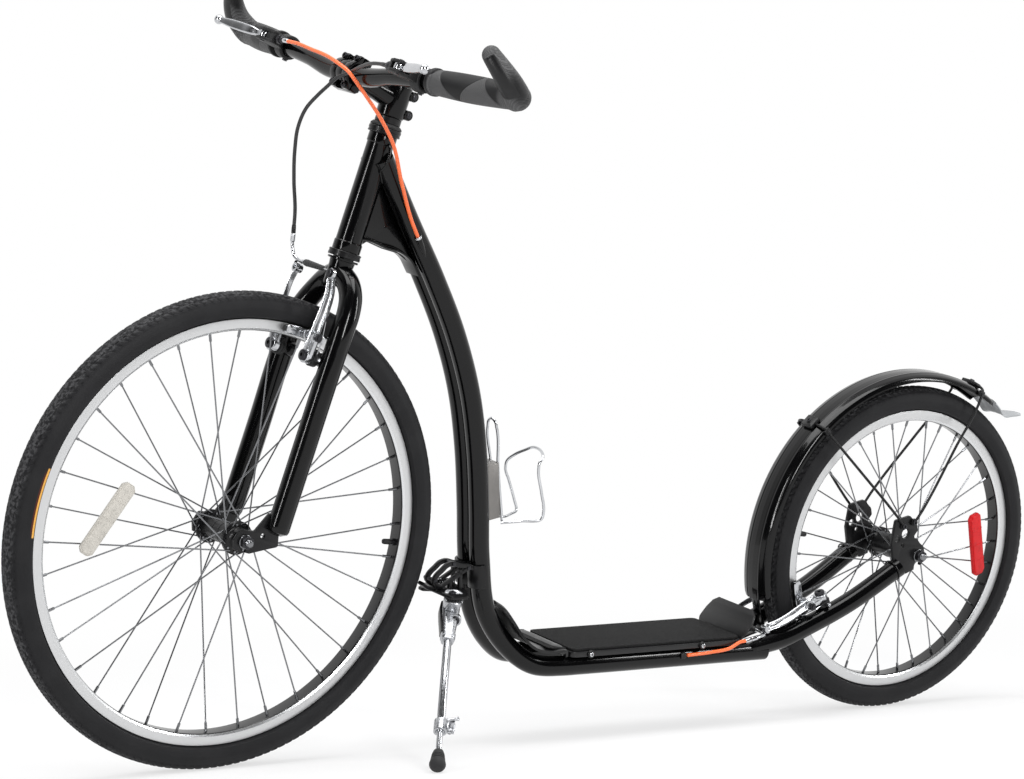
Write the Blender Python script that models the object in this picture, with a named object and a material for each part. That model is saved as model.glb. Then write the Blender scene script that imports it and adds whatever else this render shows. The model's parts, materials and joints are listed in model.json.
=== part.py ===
# All-terrain kick scooter: big spoked wheels, twin-tube frame with a low deck, rim brakes, a side stand.
# Metres, +Z up. It is drawn upright, with the rear tyre's ground contact at the origin, X forward and
# Y to the rider's left, and then leans on its side stand.

import math

import bmesh
import bpy
from mathutils import Matrix, Vector

# Wheels
WHEELBASE = 1.167
FRONT_BEAD_RADIUS = 0.2795
REAR_BEAD_RADIUS = 0.203
TYRE_HEIGHT = 0.0425
TYRE_WIDTH = 0.044
TYRE_WALL = 0.003
RIM_WIDTH = 0.027
RIM_WALL = 0.0017
RIM_HOOK = 0.007
BRAKE_TRACK = 0.012
RIM_DEPTH = 0.024
TUBE_THICKNESS = 0.0155
VALVE_RADIUS = 0.003
VALVE_LENGTH = 0.018
FRONT_VALVE_ANGLE = math.radians(185.6)
REAR_VALVE_ANGLE = math.radians(8.8)
SPOKES = 36
SPOKE_CROSSINGS = 3
SPOKE_RADIUS = 0.0011
SPOKE_STAGGER = 0.0024
SPOKE_CIRCLE = 0.0185
SPOKE_END_GAP = 0.0012
HUB_RADIUS = 0.0120
FLANGE_RADIUS = 0.0225
FLANGE_THICKNESS = 0.005
FLANGE_SPREAD = 0.034
HUB_LIP = 0.009
AXLE_RADIUS = 0.0048
CONE_RADIUS = 0.0082
HUB_WIDTH = 0.100
DROPOUT_THICKNESS = 0.0055
NUT_RADIUS = 0.0092
NUT_HEIGHT = 0.0090
AXLE_STICKOUT = 0.004

# Reflectors on the spokes
FRONT_REFLECTOR_RADIUS = 0.187
FRONT_REFLECTOR_ANGLE = math.radians(9.0)
FRONT_REFLECTOR_LENGTH = 0.108
FRONT_REFLECTOR_TILT = math.radians(24.0)
REAR_REFLECTOR_RADIUS = 0.151
REAR_REFLECTOR_ANGLE = math.radians(180.0)
REAR_REFLECTOR_LENGTH = 0.100
REAR_REFLECTOR_TILT = math.radians(-17.0)
REFLECTOR_WIDTH = 0.020
REFLECTOR_THICKNESS = 0.006

# Frame
TUBE_RADIUS = 0.0143
TUBE_SPREAD = 0.0147
RAIL_HEIGHT = 0.1154
RAIL_SPREAD = 0.0425
RAIL_REAR = 0.266
RAIL_FRONT = 0.600
BEND_FRONT = 0.7633
BEND_TOP = 0.270
HEAD_TILT = math.radians(15.3)
RAKE = 0.047
HEAD_LOW = 0.6945
HEAD_LENGTH = 0.161
HEAD_RADIUS = 0.0180
HEAD_WALL = 0.0016
CUP_RADIUS = 0.0220
CUP_HEIGHT = 0.0090
STEERER_RADIUS = 0.0143
STAY_END_AHEAD = 0.0355
STAY_END_BELOW = 0.0157
STAY_END_SPREAD = 0.0545
STAY_STRAIGHT = ((0.1235, 0.1774), (0.1835, 0.1505))
CROSS_BAR_RADIUS = 0.009

# Fork
LEG_RADIUS = 0.0155
LEG_SPREAD = 0.060
LEG_AHEAD = 0.007
LEG_LOW = 0.380
SHOULDER = 0.085
STEERER_TOP = 0.2285

# Stem and bar, in the steering frame: reach across the steering axis, height along it
STEM_REACH = 0.080
STEM_HEIGHT = 0.2223
STEM_CLAMP_LOW = 0.1856
STEM_CLAMP_RADIUS = 0.0190
STEM_TUBE_RADIUS = 0.0140
BAR_RADIUS = 0.0111
BAR_CLAMP_RADIUS = 0.0127
BAR_HALF_WIDTH = 0.325
GRIP_START = 0.185
GRIP_RADIUS = 0.0170
HORN_LENGTH = 0.064

# Levers
LEVER_OUT = 0.165
LEVER_REACH = 0.041
LEVER_TILT = math.radians(22.8)
LEVER_LENGTH = 0.086

# Rim brakes
POST_SPREAD = 0.042
POST_BELOW_TRACK = 0.0265
POST_RADIUS = 0.008
PIVOT_RADIUS = 0.004
ARM_STAND = 0.029
ARM_LENGTH = 0.105
ARM_THICKNESS = 0.010
TOP_BOSS = 0.0072
PAD_GAP = 0.0015
PAD_LENGTH = 0.062
PAD_HEIGHT = 0.010
NOODLE_RADIUS = 0.0025
CASING_RADIUS = 0.0025

# Deck
DECK_FRONT = 0.621
DECK_REAR = 0.318
DECK_HALF_WIDTH = 0.058
DECK_PLATE = 0.008
DECK_MAT = 0.0036
GUARD_THICKNESS = 0.004
REAR_GUARD_RISE = 0.036
FRONT_BOLT = 0.589
REAR_BOLT = 0.392

# Fender, round the rear axle
FENDER_RADIUS = 0.268
FENDER_SHEET = 0.002
FENDER_HALF_WIDTH = 0.028
FENDER_DEPTH = 0.012
FENDER_START = math.radians(-14.0)
FENDER_END = math.radians(123.0)
FRONT_CLAMP_ANGLE = math.radians(46.0)
REAR_CLAMP_ANGLE = math.radians(115.0)
STAY_WIRE_RADIUS = 0.002
FRONT_EYE = (0.037, 0.0465)
REAR_EYE = (0.0175, 0.0517)

# Bottle cage
BOTTLE_RADIUS = 0.0370
CAGE_WIRE = 0.0025
CAGE_LOW = 0.320
CAGE_HIGH = 0.398
CAGE_STAND = 0.0150

# Side stand
LEAN = math.radians(9.666)
STAND_PIVOT = Vector((0.815, 0.030, 0.203))
FOOT_AHEAD = 0.937
FOOT_OUT = 0.209
FOOT_RADIUS = 0.011
STAND_FOLDED = Vector((-0.95, 0.30, 0.08))
KNUCKLE_RADIUS = 0.014
KNUCKLE_LENGTH = 0.023
LEG_TUBE_RADIUS = 0.0095
INNER_LEG_RADIUS = 0.0066

# Clearance between pieces that touch or run in each other
GAP = 0.0003

# What follows from the sizes above
FRONT_RADIUS = FRONT_BEAD_RADIUS + TYRE_HEIGHT
REAR_RADIUS = REAR_BEAD_RADIUS + TYRE_HEIGHT
FRONT_AXLE = Vector((WHEELBASE, 0, FRONT_RADIUS))
REAR_AXLE = Vector((0, 0, REAR_RADIUS))
AXIS_AHEAD = WHEELBASE - RAKE / math.cos(HEAD_TILT) - (HEAD_LOW - FRONT_RADIUS) * math.tan(HEAD_TILT)
HEAD = Vector((AXIS_AHEAD, 0, HEAD_LOW))
STEERING = Matrix.Translation(HEAD) @ Matrix.Rotation(-HEAD_TILT, 4, "Y")
AXLE_BELOW_HEAD = -(STEERING.inverted() @ FRONT_AXLE).z
RACE_TOP = -CUP_HEIGHT - 0.0013
BAR_CENTRE = STEERING @ Vector((STEM_REACH, 0, STEM_HEIGHT))
DECK_TOP = RAIL_HEIGHT + TUBE_RADIUS + 2 * GAP + DECK_PLATE + DECK_MAT

bodies = {}


# Mesh helpers

def new_object(bm):
    """An unnamed object from a bmesh, with its faces turned outwards."""
    bmesh.ops.recalc_face_normals(bm, faces=bm.faces)
    mesh = bpy.data.meshes.new("shape")
    bm.to_mesh(mesh)
    bm.free()
    obj = bpy.data.objects.new("shape", mesh)
    bpy.context.scene.collection.objects.link(obj)
    return obj


def loft(sections, ring=False):
    """Skin over sections that have equally many points. Its ends are capped, unless it closes into a ring."""
    bm = bmesh.new()
    loops = [[bm.verts.new(point) for point in section] for section in sections]
    pairs = list(zip(loops, loops[1:]))
    if ring:
        pairs.append((loops[-1], loops[0]))
    else:
        bm.faces.new(loops[0])
        bm.faces.new(loops[-1])
    for first, second in pairs:
        for i, corner in enumerate(first):
            j = (i + 1) % len(first)
            bm.faces.new((corner, first[j], second[j], second[i]))
    return new_object(bm)


def aim(origin, direction, up=Vector((0, 1, 0))):
    """The frame at origin whose Z axis points along direction and whose Y axis is as near to up as it can be."""
    z = Vector(direction).normalized()
    x = Vector(up).cross(z)
    if x.length < 1e-6:
        x = Vector((1, 0, 0))
    x.normalize()
    y = z.cross(x)
    frame = Matrix((x, y, z)).transposed().to_4x4()
    return Matrix.Translation(origin) @ frame


def lathe(stations, steps, place=Matrix()):
    """A turned solid: stations are (height, radius) along the Z axis of place."""
    turn = 2 * math.pi / steps
    return loft([
        [place @ Vector((r * math.cos(i * turn), r * math.sin(i * turn), z)) for i in range(steps)]
        for z, r in stations
    ])


def turned_ring(profile, steps, place=Matrix()):
    """A turned ring: profile is a closed line of (radius, height) round the Z axis of place."""
    turn = 2 * math.pi / steps
    return loft([
        [place @ Vector((r * math.cos(i * turn), r * math.sin(i * turn), z)) for r, z in profile]
        for i in range(steps)
    ], ring=True)


def rod(start, end, radius, steps=10):
    start, end = Vector(start), Vector(end)
    return lathe([(0, radius), ((end - start).length, radius)], steps, aim(start, end - start))


def ball(centre, radius, steps=10):
    half = steps // 2
    stations = [
        (-radius * math.cos(math.pi * (i + 0.25) / (half + 0.5)), radius * math.sin(math.pi * (i + 0.25) / (half + 0.5)))
        for i in range(half + 1)
    ]
    return lathe(stations, steps, Matrix.Translation(centre))


def smooth_route(points, step=0.26, least=1):
    """Points on a smooth curve through the given ones. It turns by step at most from one to the next."""
    points = [Vector(point) for point in points]
    ways = []
    for i, point in enumerate(points):
        before = point - points[max(i - 1, 0)]
        after = points[min(i + 1, len(points) - 1)] - point
        behind, ahead = before.length, after.length
        if behind and ahead:
            ways.append((before * (ahead / behind) + after * (behind / ahead)) / (behind + ahead))
        else:
            ways.append((before + after).normalized())
    route = []
    for a, b, leaving, arriving in zip(points, points[1:], ways, ways[1:]):
        span = (b - a).length
        pieces = max(least, math.ceil(leaving.angle(arriving) / step))
        for k in range(pieces):
            t = k / pieces
            route.append((2 * t**3 - 3 * t**2 + 1) * a + (3 * t**2 - 2 * t**3) * b
                         + (t**3 - 2 * t**2 + t) * span * leaving + (t**3 - t**2) * span * arriving)
    return route + [points[-1]]


def even_route(points, spacing):
    """Points about spacing apart on the smooth curve through the given ones."""
    fine = smooth_route(points, least=24)
    lengths = [0.0]
    for a, b in zip(fine, fine[1:]):
        lengths.append(lengths[-1] + (b - a).length)
    count = max(2, round(lengths[-1] / spacing))
    route = []
    k = 0
    for i in range(count + 1):
        want = lengths[-1] * i / count
        while k < len(fine) - 2 and lengths[k + 1] < want:
            k += 1
        span = lengths[k + 1] - lengths[k]
        route.append(fine[k].lerp(fine[k + 1], (want - lengths[k]) / span))
    return route


def sweep(route, radius, steps=12, up=Vector((0, 1, 0))):
    """A round tube along a route. The radius is a number, or a function of the point."""
    sections = []
    side = None
    for i, point in enumerate(route):
        ahead = (route[min(i + 1, len(route) - 1)] - route[max(i - 1, 0)]).normalized()
        if side is None:
            side = Vector(up).cross(ahead)
            if side.length < 0.1:
                side = Vector((1, 0, 0)).cross(ahead)
        side = (side - ahead * side.dot(ahead)).normalized()
        other = ahead.cross(side)
        r = radius(point) if callable(radius) else radius
        sections.append([
            point + side * (r * math.cos(2 * math.pi * (k + 0.5) / steps))
            + other * (r * math.sin(2 * math.pi * (k + 0.5) / steps))
            for k in range(steps)
        ])
    return loft(sections)


def strip(route, widths, thickness, up):
    """A bar of rectangular section along a route: widths across it and across up, thickness along up."""
    sections = []
    for i, point in enumerate(route):
        ahead = (route[min(i + 1, len(route) - 1)] - route[max(i - 1, 0)]).normalized()
        height = (Vector(up) - ahead * Vector(up).dot(ahead)).normalized()
        side = ahead.cross(height)
        half = widths[i] / 2
        sections.append([point + side * a * half + height * b * thickness / 2 for a, b in ((-1, -1), (1, -1), (1, 1), (-1, 1))])
    return loft(sections)


def rounded(corners, radius, steps=3):
    """The outline through the corners with each corner turned into an arc."""
    outline = []
    count = len(corners)
    for i in range(count):
        before, corner, after = (Vector(corners[(i + k) % count]) for k in (-1, 0, 1))
        to_before, to_after = (before - corner), (after - corner)
        angle = to_before.angle(to_after)
        reach = min(radius / math.tan(angle / 2), 0.45 * to_before.length, 0.45 * to_after.length)
        start = corner + to_before.normalized() * reach
        end = corner + to_after.normalized() * reach
        for k in range(steps + 1):
            t = k / steps
            outline.append(start.lerp(corner, t).lerp(corner.lerp(end, t), t))
    return outline


def plate(outline, low, high, place=Matrix()):
    """An outline in the XY plane of place, extruded from low to high along its Z axis."""
    return loft([[place @ Vector((x, y, z)) for x, y in outline] for z in (low, high)])


def box(low, high, place=Matrix(), chamfer=0.0):
    corners = [(low[0], low[1]), (high[0], low[1]), (high[0], high[1]), (low[0], high[1])]
    outline = rounded(corners, chamfer, 2) if chamfer else corners
    return plate(outline, low[2], high[2], place)


def combine(base, tools, operation):
    """Boolean of base with each tool in turn. The result replaces base, and the tools go."""
    for tool in tools:
        modifier = base.modifiers.new("shape", "BOOLEAN")
        modifier.operation = operation
        modifier.solver = "EXACT"
        modifier.object = tool
        graph = bpy.context.evaluated_depsgraph_get()
        mesh = bpy.data.meshes.new_from_object(base.evaluated_get(graph))
        base.modifiers.clear()
        base.data = mesh
        bpy.data.objects.remove(tool)
    return base


def fuse(base, *others):
    return combine(base, others, "UNION")


def cut(base, *tools):
    return combine(base, tools, "DIFFERENCE")


def material(name, colour, roughness, metallic=0.0):
    found = bpy.data.materials.get(name)
    if found:
        return found
    made = bpy.data.materials.new(name)
    made.use_nodes = True
    shader = made.node_tree.nodes["Principled BSDF"]
    shader.inputs["Base Color"].default_value = (*colour, 1.0)
    shader.inputs["Roughness"].default_value = roughness
    shader.inputs["Metallic"].default_value = metallic
    return made


def black_paint():
    return material("black_paint", (0.012, 0.012, 0.013), 0.16)


def black_steel():
    return material("black_steel", (0.03, 0.03, 0.032), 0.4, 0.6)


def black_plastic():
    return material("black_plastic", (0.018, 0.018, 0.019), 0.35)


def tyre_rubber():
    return material("tyre_rubber", (0.035, 0.035, 0.037), 0.75)


def grip_rubber():
    return material("grip_rubber", (0.028, 0.028, 0.03), 0.6)


def silver_alloy():
    return material("silver_alloy", (0.72, 0.73, 0.75), 0.28, 1.0)


def bright_wire():
    return material("bright_wire", (0.8, 0.8, 0.82), 0.2, 1.0)


def deck_mat():
    return material("deck_mat", (0.05, 0.05, 0.05), 0.85)


def finish(obj, name, made_of, body):
    """Names the object, gives it its material and hangs it in its body's frame, origin on the joint axis."""
    obj.name = name
    obj.data.name = name
    obj.data.materials.clear()
    obj.data.materials.append(made_of)
    empty, frame = bodies[body]
    obj.data.transform(frame.inverted())
    obj.parent = empty
    if obj.type == "MESH":
        obj.data.shade_smooth()
        obj.data.set_sharp_from_angle(angle=math.radians(35))
    return obj


def add_body(name, frame, parent):
    """An empty at a joint: its frame is written in the upright scooter's axes."""
    empty = bpy.data.objects.new(name, None)
    empty.empty_display_size = 0.05
    bpy.context.scene.collection.objects.link(empty)
    if parent:
        holder, holder_frame = bodies[parent]
        empty.parent = holder
        empty.matrix_local = holder_frame.inverted() @ frame
    bodies[name] = (empty, frame)


def casing(name, route, made_of, body):
    """A cable casing: a round curve along a smooth route, a point every three diameters."""
    curve = bpy.data.curves.new(name, "CURVE")
    curve.dimensions = "3D"
    curve.bevel_depth = CASING_RADIUS
    curve.bevel_resolution = 2
    curve.use_fill_caps = True
    points = even_route(route, 6 * CASING_RADIUS)
    spline = curve.splines.new("POLY")
    spline.points.add(len(points) - 1)
    for target, point in zip(spline.points, points):
        target.co = (*point, 1)
    obj = bpy.data.objects.new(name, curve)
    bpy.context.scene.collection.objects.link(obj)
    return finish(obj, name, made_of, body)


# Wheels

def wheel_place(axle):
    """The frame of a wheel: Z along the axle to the left, X forward."""
    return Matrix.Translation(axle) @ Matrix.Rotation(math.radians(-90), 4, "X")


def across(place, angle, radius, side=0.0):
    """A point of a wheel, by its angle above the forward direction and its distance from the axle."""
    return place @ Vector((radius * math.cos(angle), -radius * math.sin(angle), side))


def tyre_profile(radius, edge):
    """The casing's closed section as (radius, side): tread and walls outside, then the hollow."""
    half = TYRE_WIDTH / 2
    middle = radius - half
    bead = RIM_WIDTH / 2 - RIM_WALL - GAP
    outer = [math.radians(a) for a in (-116, -78, -39, 0, 39, 78, 116)]
    inner = [math.radians(a) for a in (75, 0, -75)]
    hollow = half - TYRE_WALL
    profile = [(middle + half * math.cos(a), half * math.sin(a)) for a in outer]
    profile += [(edge + 2 * GAP, bead), (edge - RIM_HOOK + GAP, bead)]
    profile += [(edge - RIM_HOOK + GAP, bead - TYRE_WALL)]
    profile += [(middle + hollow * math.cos(a), hollow * math.sin(a)) for a in inner]
    profile += [(edge - RIM_HOOK + GAP, TYRE_WALL - bead)]
    profile += [(edge - RIM_HOOK + GAP, -bead), (edge + 2 * GAP, -bead)]
    return profile


def rim_profile(edge):
    """The rim's closed section: brake tracks, sloping sides, spoke bed and the well for the beads."""
    half = RIM_WIDTH / 2
    inner = half - RIM_WALL
    track = edge - BRAKE_TRACK
    bed = edge - RIM_DEPTH
    well = edge - RIM_HOOK - 2 * GAP
    return [
        (edge, half), (track, half), (bed, 0.55 * half), (bed, -0.55 * half), (track, -half), (edge, -half),
        (edge, -inner), (well, -inner), (well, inner), (edge, inner),
    ]


def hub_with_spokes(place, spread, bed):
    """The hub shell with both flanges, and the crossed spokes laced into it."""
    lip = spread + HUB_LIP
    bore = CONE_RADIUS + GAP
    thick = FLANGE_THICKNESS / 2
    half = [(lip, bore), (lip, HUB_RADIUS + 0.001), (spread + thick, HUB_RADIUS + 0.001)]
    half += [(spread + thick, FLANGE_RADIUS), (spread - thick, FLANGE_RADIUS), (spread - thick, HUB_RADIUS)]
    profile = [(r, z) for z, r in half] + [(r, -z) for z, r in reversed(half)]
    hub = turned_ring(profile, 16, place)
    bm = bmesh.new()
    pitch = 4 * math.pi / SPOKES
    for side in (1, -1):
        for k in range(SPOKES // 2):
            lead = 1 if k % 2 else -1
            hole = k * pitch + (pitch / 2 if side < 0 else 0)
            start = across(place, hole, SPOKE_CIRCLE, side * (spread + lead * SPOKE_STAGGER))
            end = across(place, hole + lead * SPOKE_CROSSINGS * pitch, bed - SPOKE_END_GAP, side * 0.0015)
            frame = aim(start, end - start)
            length = (end - start).length
            corners = [Vector((SPOKE_RADIUS * x, SPOKE_RADIUS * y, 0)) for x, y in ((0, 1.2), (-1.04, -0.6), (1.04, -0.6))]
            ends = [[bm.verts.new(frame @ (c + Vector((0, 0, z)))) for c in corners] for z in (0, length)]
            bm.faces.new(ends[0])
            bm.faces.new(ends[1])
            for i in range(3):
                j = (i + 1) % 3
                bm.faces.new((ends[0][i], ends[0][j], ends[1][j], ends[1][i]))
    return fuse(hub, new_object(bm))


def reflector(place, angle, radius, length, tilt, bed, spread):
    """A reflector bar across the spokes, lying on the left-hand ones and clipped over them."""
    run = bed - SPOKE_CIRCLE / 2
    share = (radius - SPOKE_CIRCLE / 2) / run
    slope = math.atan((spread + SPOKE_STAGGER - 0.0015) / run)
    back = (spread + SPOKE_STAGGER) * (1 - share) + 0.0015 * share + SPOKE_RADIUS
    spot = place @ Matrix.Rotation(-angle, 4, "Z") @ Matrix.Translation((radius, 0, back))
    spot = spot @ Matrix.Rotation(slope, 4, "Y") @ Matrix.Rotation(-tilt, 4, "Z")

    def outline(inset, corner):
        half, wide = length / 2 - inset, REFLECTOR_WIDTH / 2 - inset
        return rounded([(-wide, -half), (wide, -half), (wide, half), (-wide, half)], corner)

    lens = plate(outline(0, 0.007), 0.0, REFLECTOR_THICKNESS, spot)
    return fuse(lens, plate(outline(0.003, 0.005), 0.001, REFLECTOR_THICKNESS + 0.0015, spot))


def axle_with_nuts(place):
    """Threaded axle with cones, lock nuts and the hexagon nuts outside the dropouts."""
    half = HUB_WIDTH / 2
    seat = half + DROPOUT_THICKNESS + GAP
    end = seat + NUT_HEIGHT + AXLE_STICKOUT
    cone = FLANGE_SPREAD + HUB_LIP - 0.012
    stations = [(cone, AXLE_RADIUS), (cone + 0.001, CONE_RADIUS), (half - 0.003, CONE_RADIUS), (half - 0.003, 0.0070)]
    stations += [(half - GAP, 0.0070), (half - GAP, AXLE_RADIUS), (end, AXLE_RADIUS)]
    both = [(-z, r) for z, r in reversed(stations)] + stations
    axle = lathe(both, 8, place)
    for side in (1, -1):
        nut = place @ Matrix.Translation((0, 0, side * (seat + NUT_HEIGHT / 2)))
        axle = fuse(axle, lathe([(-NUT_HEIGHT / 2, NUT_RADIUS), (NUT_HEIGHT / 2, NUT_RADIUS)], 6, nut))
    return axle


def build_wheel(name, axle, bead_radius, steps, valve_angle, holder, mirror):
    """Tyre, inner tube with its valve, rim, hub with spokes, reflector and axle of one wheel."""
    place = wheel_place(axle)
    radius = bead_radius + TYRE_HEIGHT
    edge = bead_radius + RIM_HOOK
    bed = edge - RIM_DEPTH
    body = name + "_wheel"
    quarter = place @ Matrix.Rotation(math.radians(90), 4, "Z")
    finish(turned_ring(tyre_profile(radius, edge), steps, quarter), name + "_tyre", tyre_rubber(), body)

    middle = radius - TYRE_WIDTH / 2
    section = [(middle + TUBE_THICKNESS * math.cos(a), TUBE_THICKNESS * math.sin(a))
               for a in (math.radians(72 * k) for k in range(5))]
    tube = turned_ring(section, 20, quarter)
    valve = rod(across(place, valve_angle, middle - TUBE_THICKNESS / 2),
                across(place, valve_angle, bed - VALVE_LENGTH), VALVE_RADIUS, 8)
    finish(fuse(tube, valve), name + "_inner_tube", grip_rubber(), body)

    rim = turned_ring(rim_profile(edge), steps, quarter)
    hole = rod(across(place, valve_angle, bed - 0.005), across(place, valve_angle, edge), VALVE_RADIUS + 2 * GAP, 10)
    finish(cut(rim, hole), name + "_rim", silver_alloy(), body)

    finish(hub_with_spokes(place, FLANGE_SPREAD, bed), name + "_hub", black_steel(), body)
    angle, where, length, tilt, colour = mirror
    lens = reflector(place, angle, where, length, tilt, bed, FLANGE_SPREAD)
    finish(lens, name + "_reflector", material(name + "_reflector", colour, 0.15), body)
    finish(axle_with_nuts(place), name + "_axle", black_steel(), holder)


# Frame

def main_tube_route(side, least=1):
    """The centre line of one main tube: along the deck, up the bend and on to the head tube."""
    to_head = Vector((-0.0356, 0, 0.1255))
    low = [
        (RAIL_REAR, RAIL_SPREAD, RAIL_HEIGHT),
        (0.430, RAIL_SPREAD, RAIL_HEIGHT),
        (RAIL_FRONT, RAIL_SPREAD, RAIL_HEIGHT),
        (0.6234, 0.0415, RAIL_HEIGHT - 0.0002),
        (0.6735, 0.0360, RAIL_HEIGHT + 0.0046),
        (0.7100, 0.0265, RAIL_HEIGHT + 0.0291),
        (0.7426, 0.0185, 0.1865),
        (BEND_FRONT, TUBE_SPREAD, BEND_TOP),
        (0.7725, TUBE_SPREAD, 0.3400),
        (0.7854, TUBE_SPREAD, 0.4200),
    ]
    high = [(-0.2110, -0.1945), (-0.1786, -0.1145), (-0.1343, -0.0345), (-0.0837, 0.0455)]
    points = [Vector((x, side * y, z)) for x, y, z in low]
    points += [HEAD + Vector((x, side * TUBE_SPREAD, z)) for x, z in high]
    points.append(HEAD + to_head + Vector((0, side * TUBE_SPREAD, 0)))
    return smooth_route(points, 0.35, least)


def twin_line(low, high, least=4):
    """The line midway between the main tubes, from one height to another."""
    return [Vector((p.x, 0, p.z)) for p in main_tube_route(1, least) if p.x > RAIL_FRONT and low <= p.z <= high]


def tube_at(height):
    """The point midway between the main tubes at a height, and the direction up along them there."""
    route = twin_line(height - 0.05, height + 0.05, 12)
    i = min(range(1, len(route)), key=lambda k: abs(route[k].z - height))
    way = (route[i] - route[i - 1]).normalized()
    return route[i] + way * ((height - route[i].z) / way.z), way


def stay_route(side):
    """The centre line of one rear stay, from inside the rail to the dropout."""
    end = REAR_AXLE + Vector((STAY_END_AHEAD, 0, -STAY_END_BELOW))
    (x1, z1), (x2, z2) = STAY_STRAIGHT
    points = [
        (RAIL_REAR + 0.052, RAIL_SPREAD, RAIL_HEIGHT + 0.0006),
        (RAIL_REAR, RAIL_SPREAD, RAIL_HEIGHT + 0.0088),
        (0.235, 0.0440, 0.1305),
        (x2, 0.0465, z2),
        (x1, 0.0495, z1),
        (end.x, STAY_END_SPREAD, end.z),
    ]
    return smooth_route([(x, side * y, z) for x, y, z in points])


def rim_brake(axle, outward, forward, track, offset):
    """A rim brake's frame and sizes: X off the tubes that carry it, Z out from the axle, origin level with the pivots."""
    z = Vector(outward).normalized()
    x = Vector(forward).normalized()
    frame = Matrix((x, z.cross(x), z)).transposed().to_4x4()
    tilt = math.asin((offset + ARM_STAND) / track)
    out = track * math.cos(tilt) - POST_BELOW_TRACK
    return {"frame": Matrix.Translation(axle + x * offset + z * out) @ frame, "track": track, "tilt": tilt}


def front_brake():
    """On the fork legs: X forward, Z up the legs, Y to the left."""
    turn = STEERING.to_3x3()
    track = FRONT_BEAD_RADIUS + RIM_HOOK - BRAKE_TRACK / 2
    return rim_brake(FRONT_AXLE, turn @ Vector((0, 0, 1)), turn @ Vector((1, 0, 0)), track, LEG_AHEAD - RAKE)


def rear_brake():
    """On top of the rear stays: X up off them, Z forward along them, Y to the right."""
    low, high = (Vector((x, 0, z)) for x, z in STAY_STRAIGHT)
    along = (high - low).normalized()
    off = Vector((-along.z, 0, along.x))
    track = REAR_BEAD_RADIUS + RIM_HOOK - BRAKE_TRACK / 2
    return rim_brake(REAR_AXLE, along, off, track, (low - REAR_AXLE).dot(off))


def brake_post(frame, side):
    """The post that a brake arm turns on, with its shoulder, spindle and bolt head."""
    shoulder = ARM_STAND - ARM_THICKNESS / 2 - GAP
    head = ARM_STAND + ARM_THICKNESS / 2 + GAP
    place = frame @ Matrix.Translation((0, side * POST_SPREAD, 0)) @ Matrix.Rotation(math.radians(90), 4, "Y")
    stations = [(0.001, POST_RADIUS + 0.002), (0.010, POST_RADIUS), (shoulder, POST_RADIUS), (shoulder, PIVOT_RADIUS)]
    stations += [(head, PIVOT_RADIUS), (head, 0.0075), (head + 0.003, 0.0070)]
    return lathe(stations, 10, place)


def twin_weld():
    """The weld between the two main tubes where they run side by side."""
    route = twin_line(BEND_TOP, HEAD_LOW + 0.11, 1)
    return strip(route, [0.008] * len(route), 2 * TUBE_SPREAD - TUBE_RADIUS, Vector((0, 1, 0)))


def gusset():
    """The web between the head tube's foot and the main tubes, with the flange that closes it below."""
    web = [(-0.014, 0.004), (-0.030, 0.013), (-0.055, 0.0035), (-0.081, -0.003), (-0.097, -0.014),
           (-0.125, -0.020), (-0.085, 0.050), (-0.040, 0.115), (-0.036, 0.115)]
    side = Matrix.Translation(HEAD) @ Matrix.Rotation(math.radians(90), 4, "X")
    body = plate(web, -0.003, 0.003, side)
    edge = [(-0.004, 0.017), (-0.026, 0.0145), (-0.055, 0.0045), (-0.079, -0.0015), (-0.093, -0.0100), (-0.110, -0.033)]
    route = [HEAD + Vector((x, 0, z + 0.002)) for x, z in edge]
    return fuse(body, strip(route, [0.003] * len(route), 0.030, Vector((0, 1, 0))))


def rear_dropout(side):
    """The plate at a stay's end: it takes the axle in its slot and the fender's stays on its upper tab."""
    outline = [(0.054, 0.020), (0.051, 0.055), (0.024, 0.061), (0.009, 0.048), (0.006, 0.038), (0.013, 0.029),
               (0.004, 0.022), (-0.009, 0.013), (-0.013, 0.000), (-0.009, -0.013), (0.002, -0.020), (0.020, -0.027),
               (0.042, -0.024)]
    inner = HUB_WIDTH / 2
    low, high = (inner, inner + DROPOUT_THICKNESS) if side > 0 else (-inner - DROPOUT_THICKNESS, -inner)
    place = Matrix.Translation(REAR_AXLE) @ Matrix.Rotation(math.radians(90), 4, "X")
    body = plate(rounded(outline, 0.004, 1), -high, -low, place)
    slot = AXLE_RADIUS + 2 * GAP
    round_end = lathe([(-high - 0.002, slot), (-low + 0.002, slot)], 12, place)
    throat = plate([(-slot, 0), (slot, 0), (slot + 0.001, -0.05), (-slot - 0.001, -0.05)], -high - 0.002, -low + 0.002, place)
    window = lathe([(-high - 0.002, 0.005), (-low + 0.002, 0.005)], 8, place @ Matrix.Translation((0.025, 0.036, 0)))
    return cut(body, fuse(round_end, throat), window)


def fender_bracket():
    """The strap from the frame's rear bridge up inside the fender's front end."""
    inside = FENDER_RADIUS - FENDER_SHEET - GAP - 0.0030
    turns = [FENDER_START + math.radians(a) for a in (6, 0, -5, -10)]
    route = [REAR_AXLE + Vector((inside * math.cos(a), 0, inside * math.sin(a))) for a in turns]
    route += [Vector((RAIL_REAR, 0, RAIL_HEIGHT + 0.0125)), Vector((RAIL_REAR + 0.024, 0, RAIL_HEIGHT + 0.005))]
    return strip(route, [0.003] * len(route), 0.016, Vector((0, 1, 0)))


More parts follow.
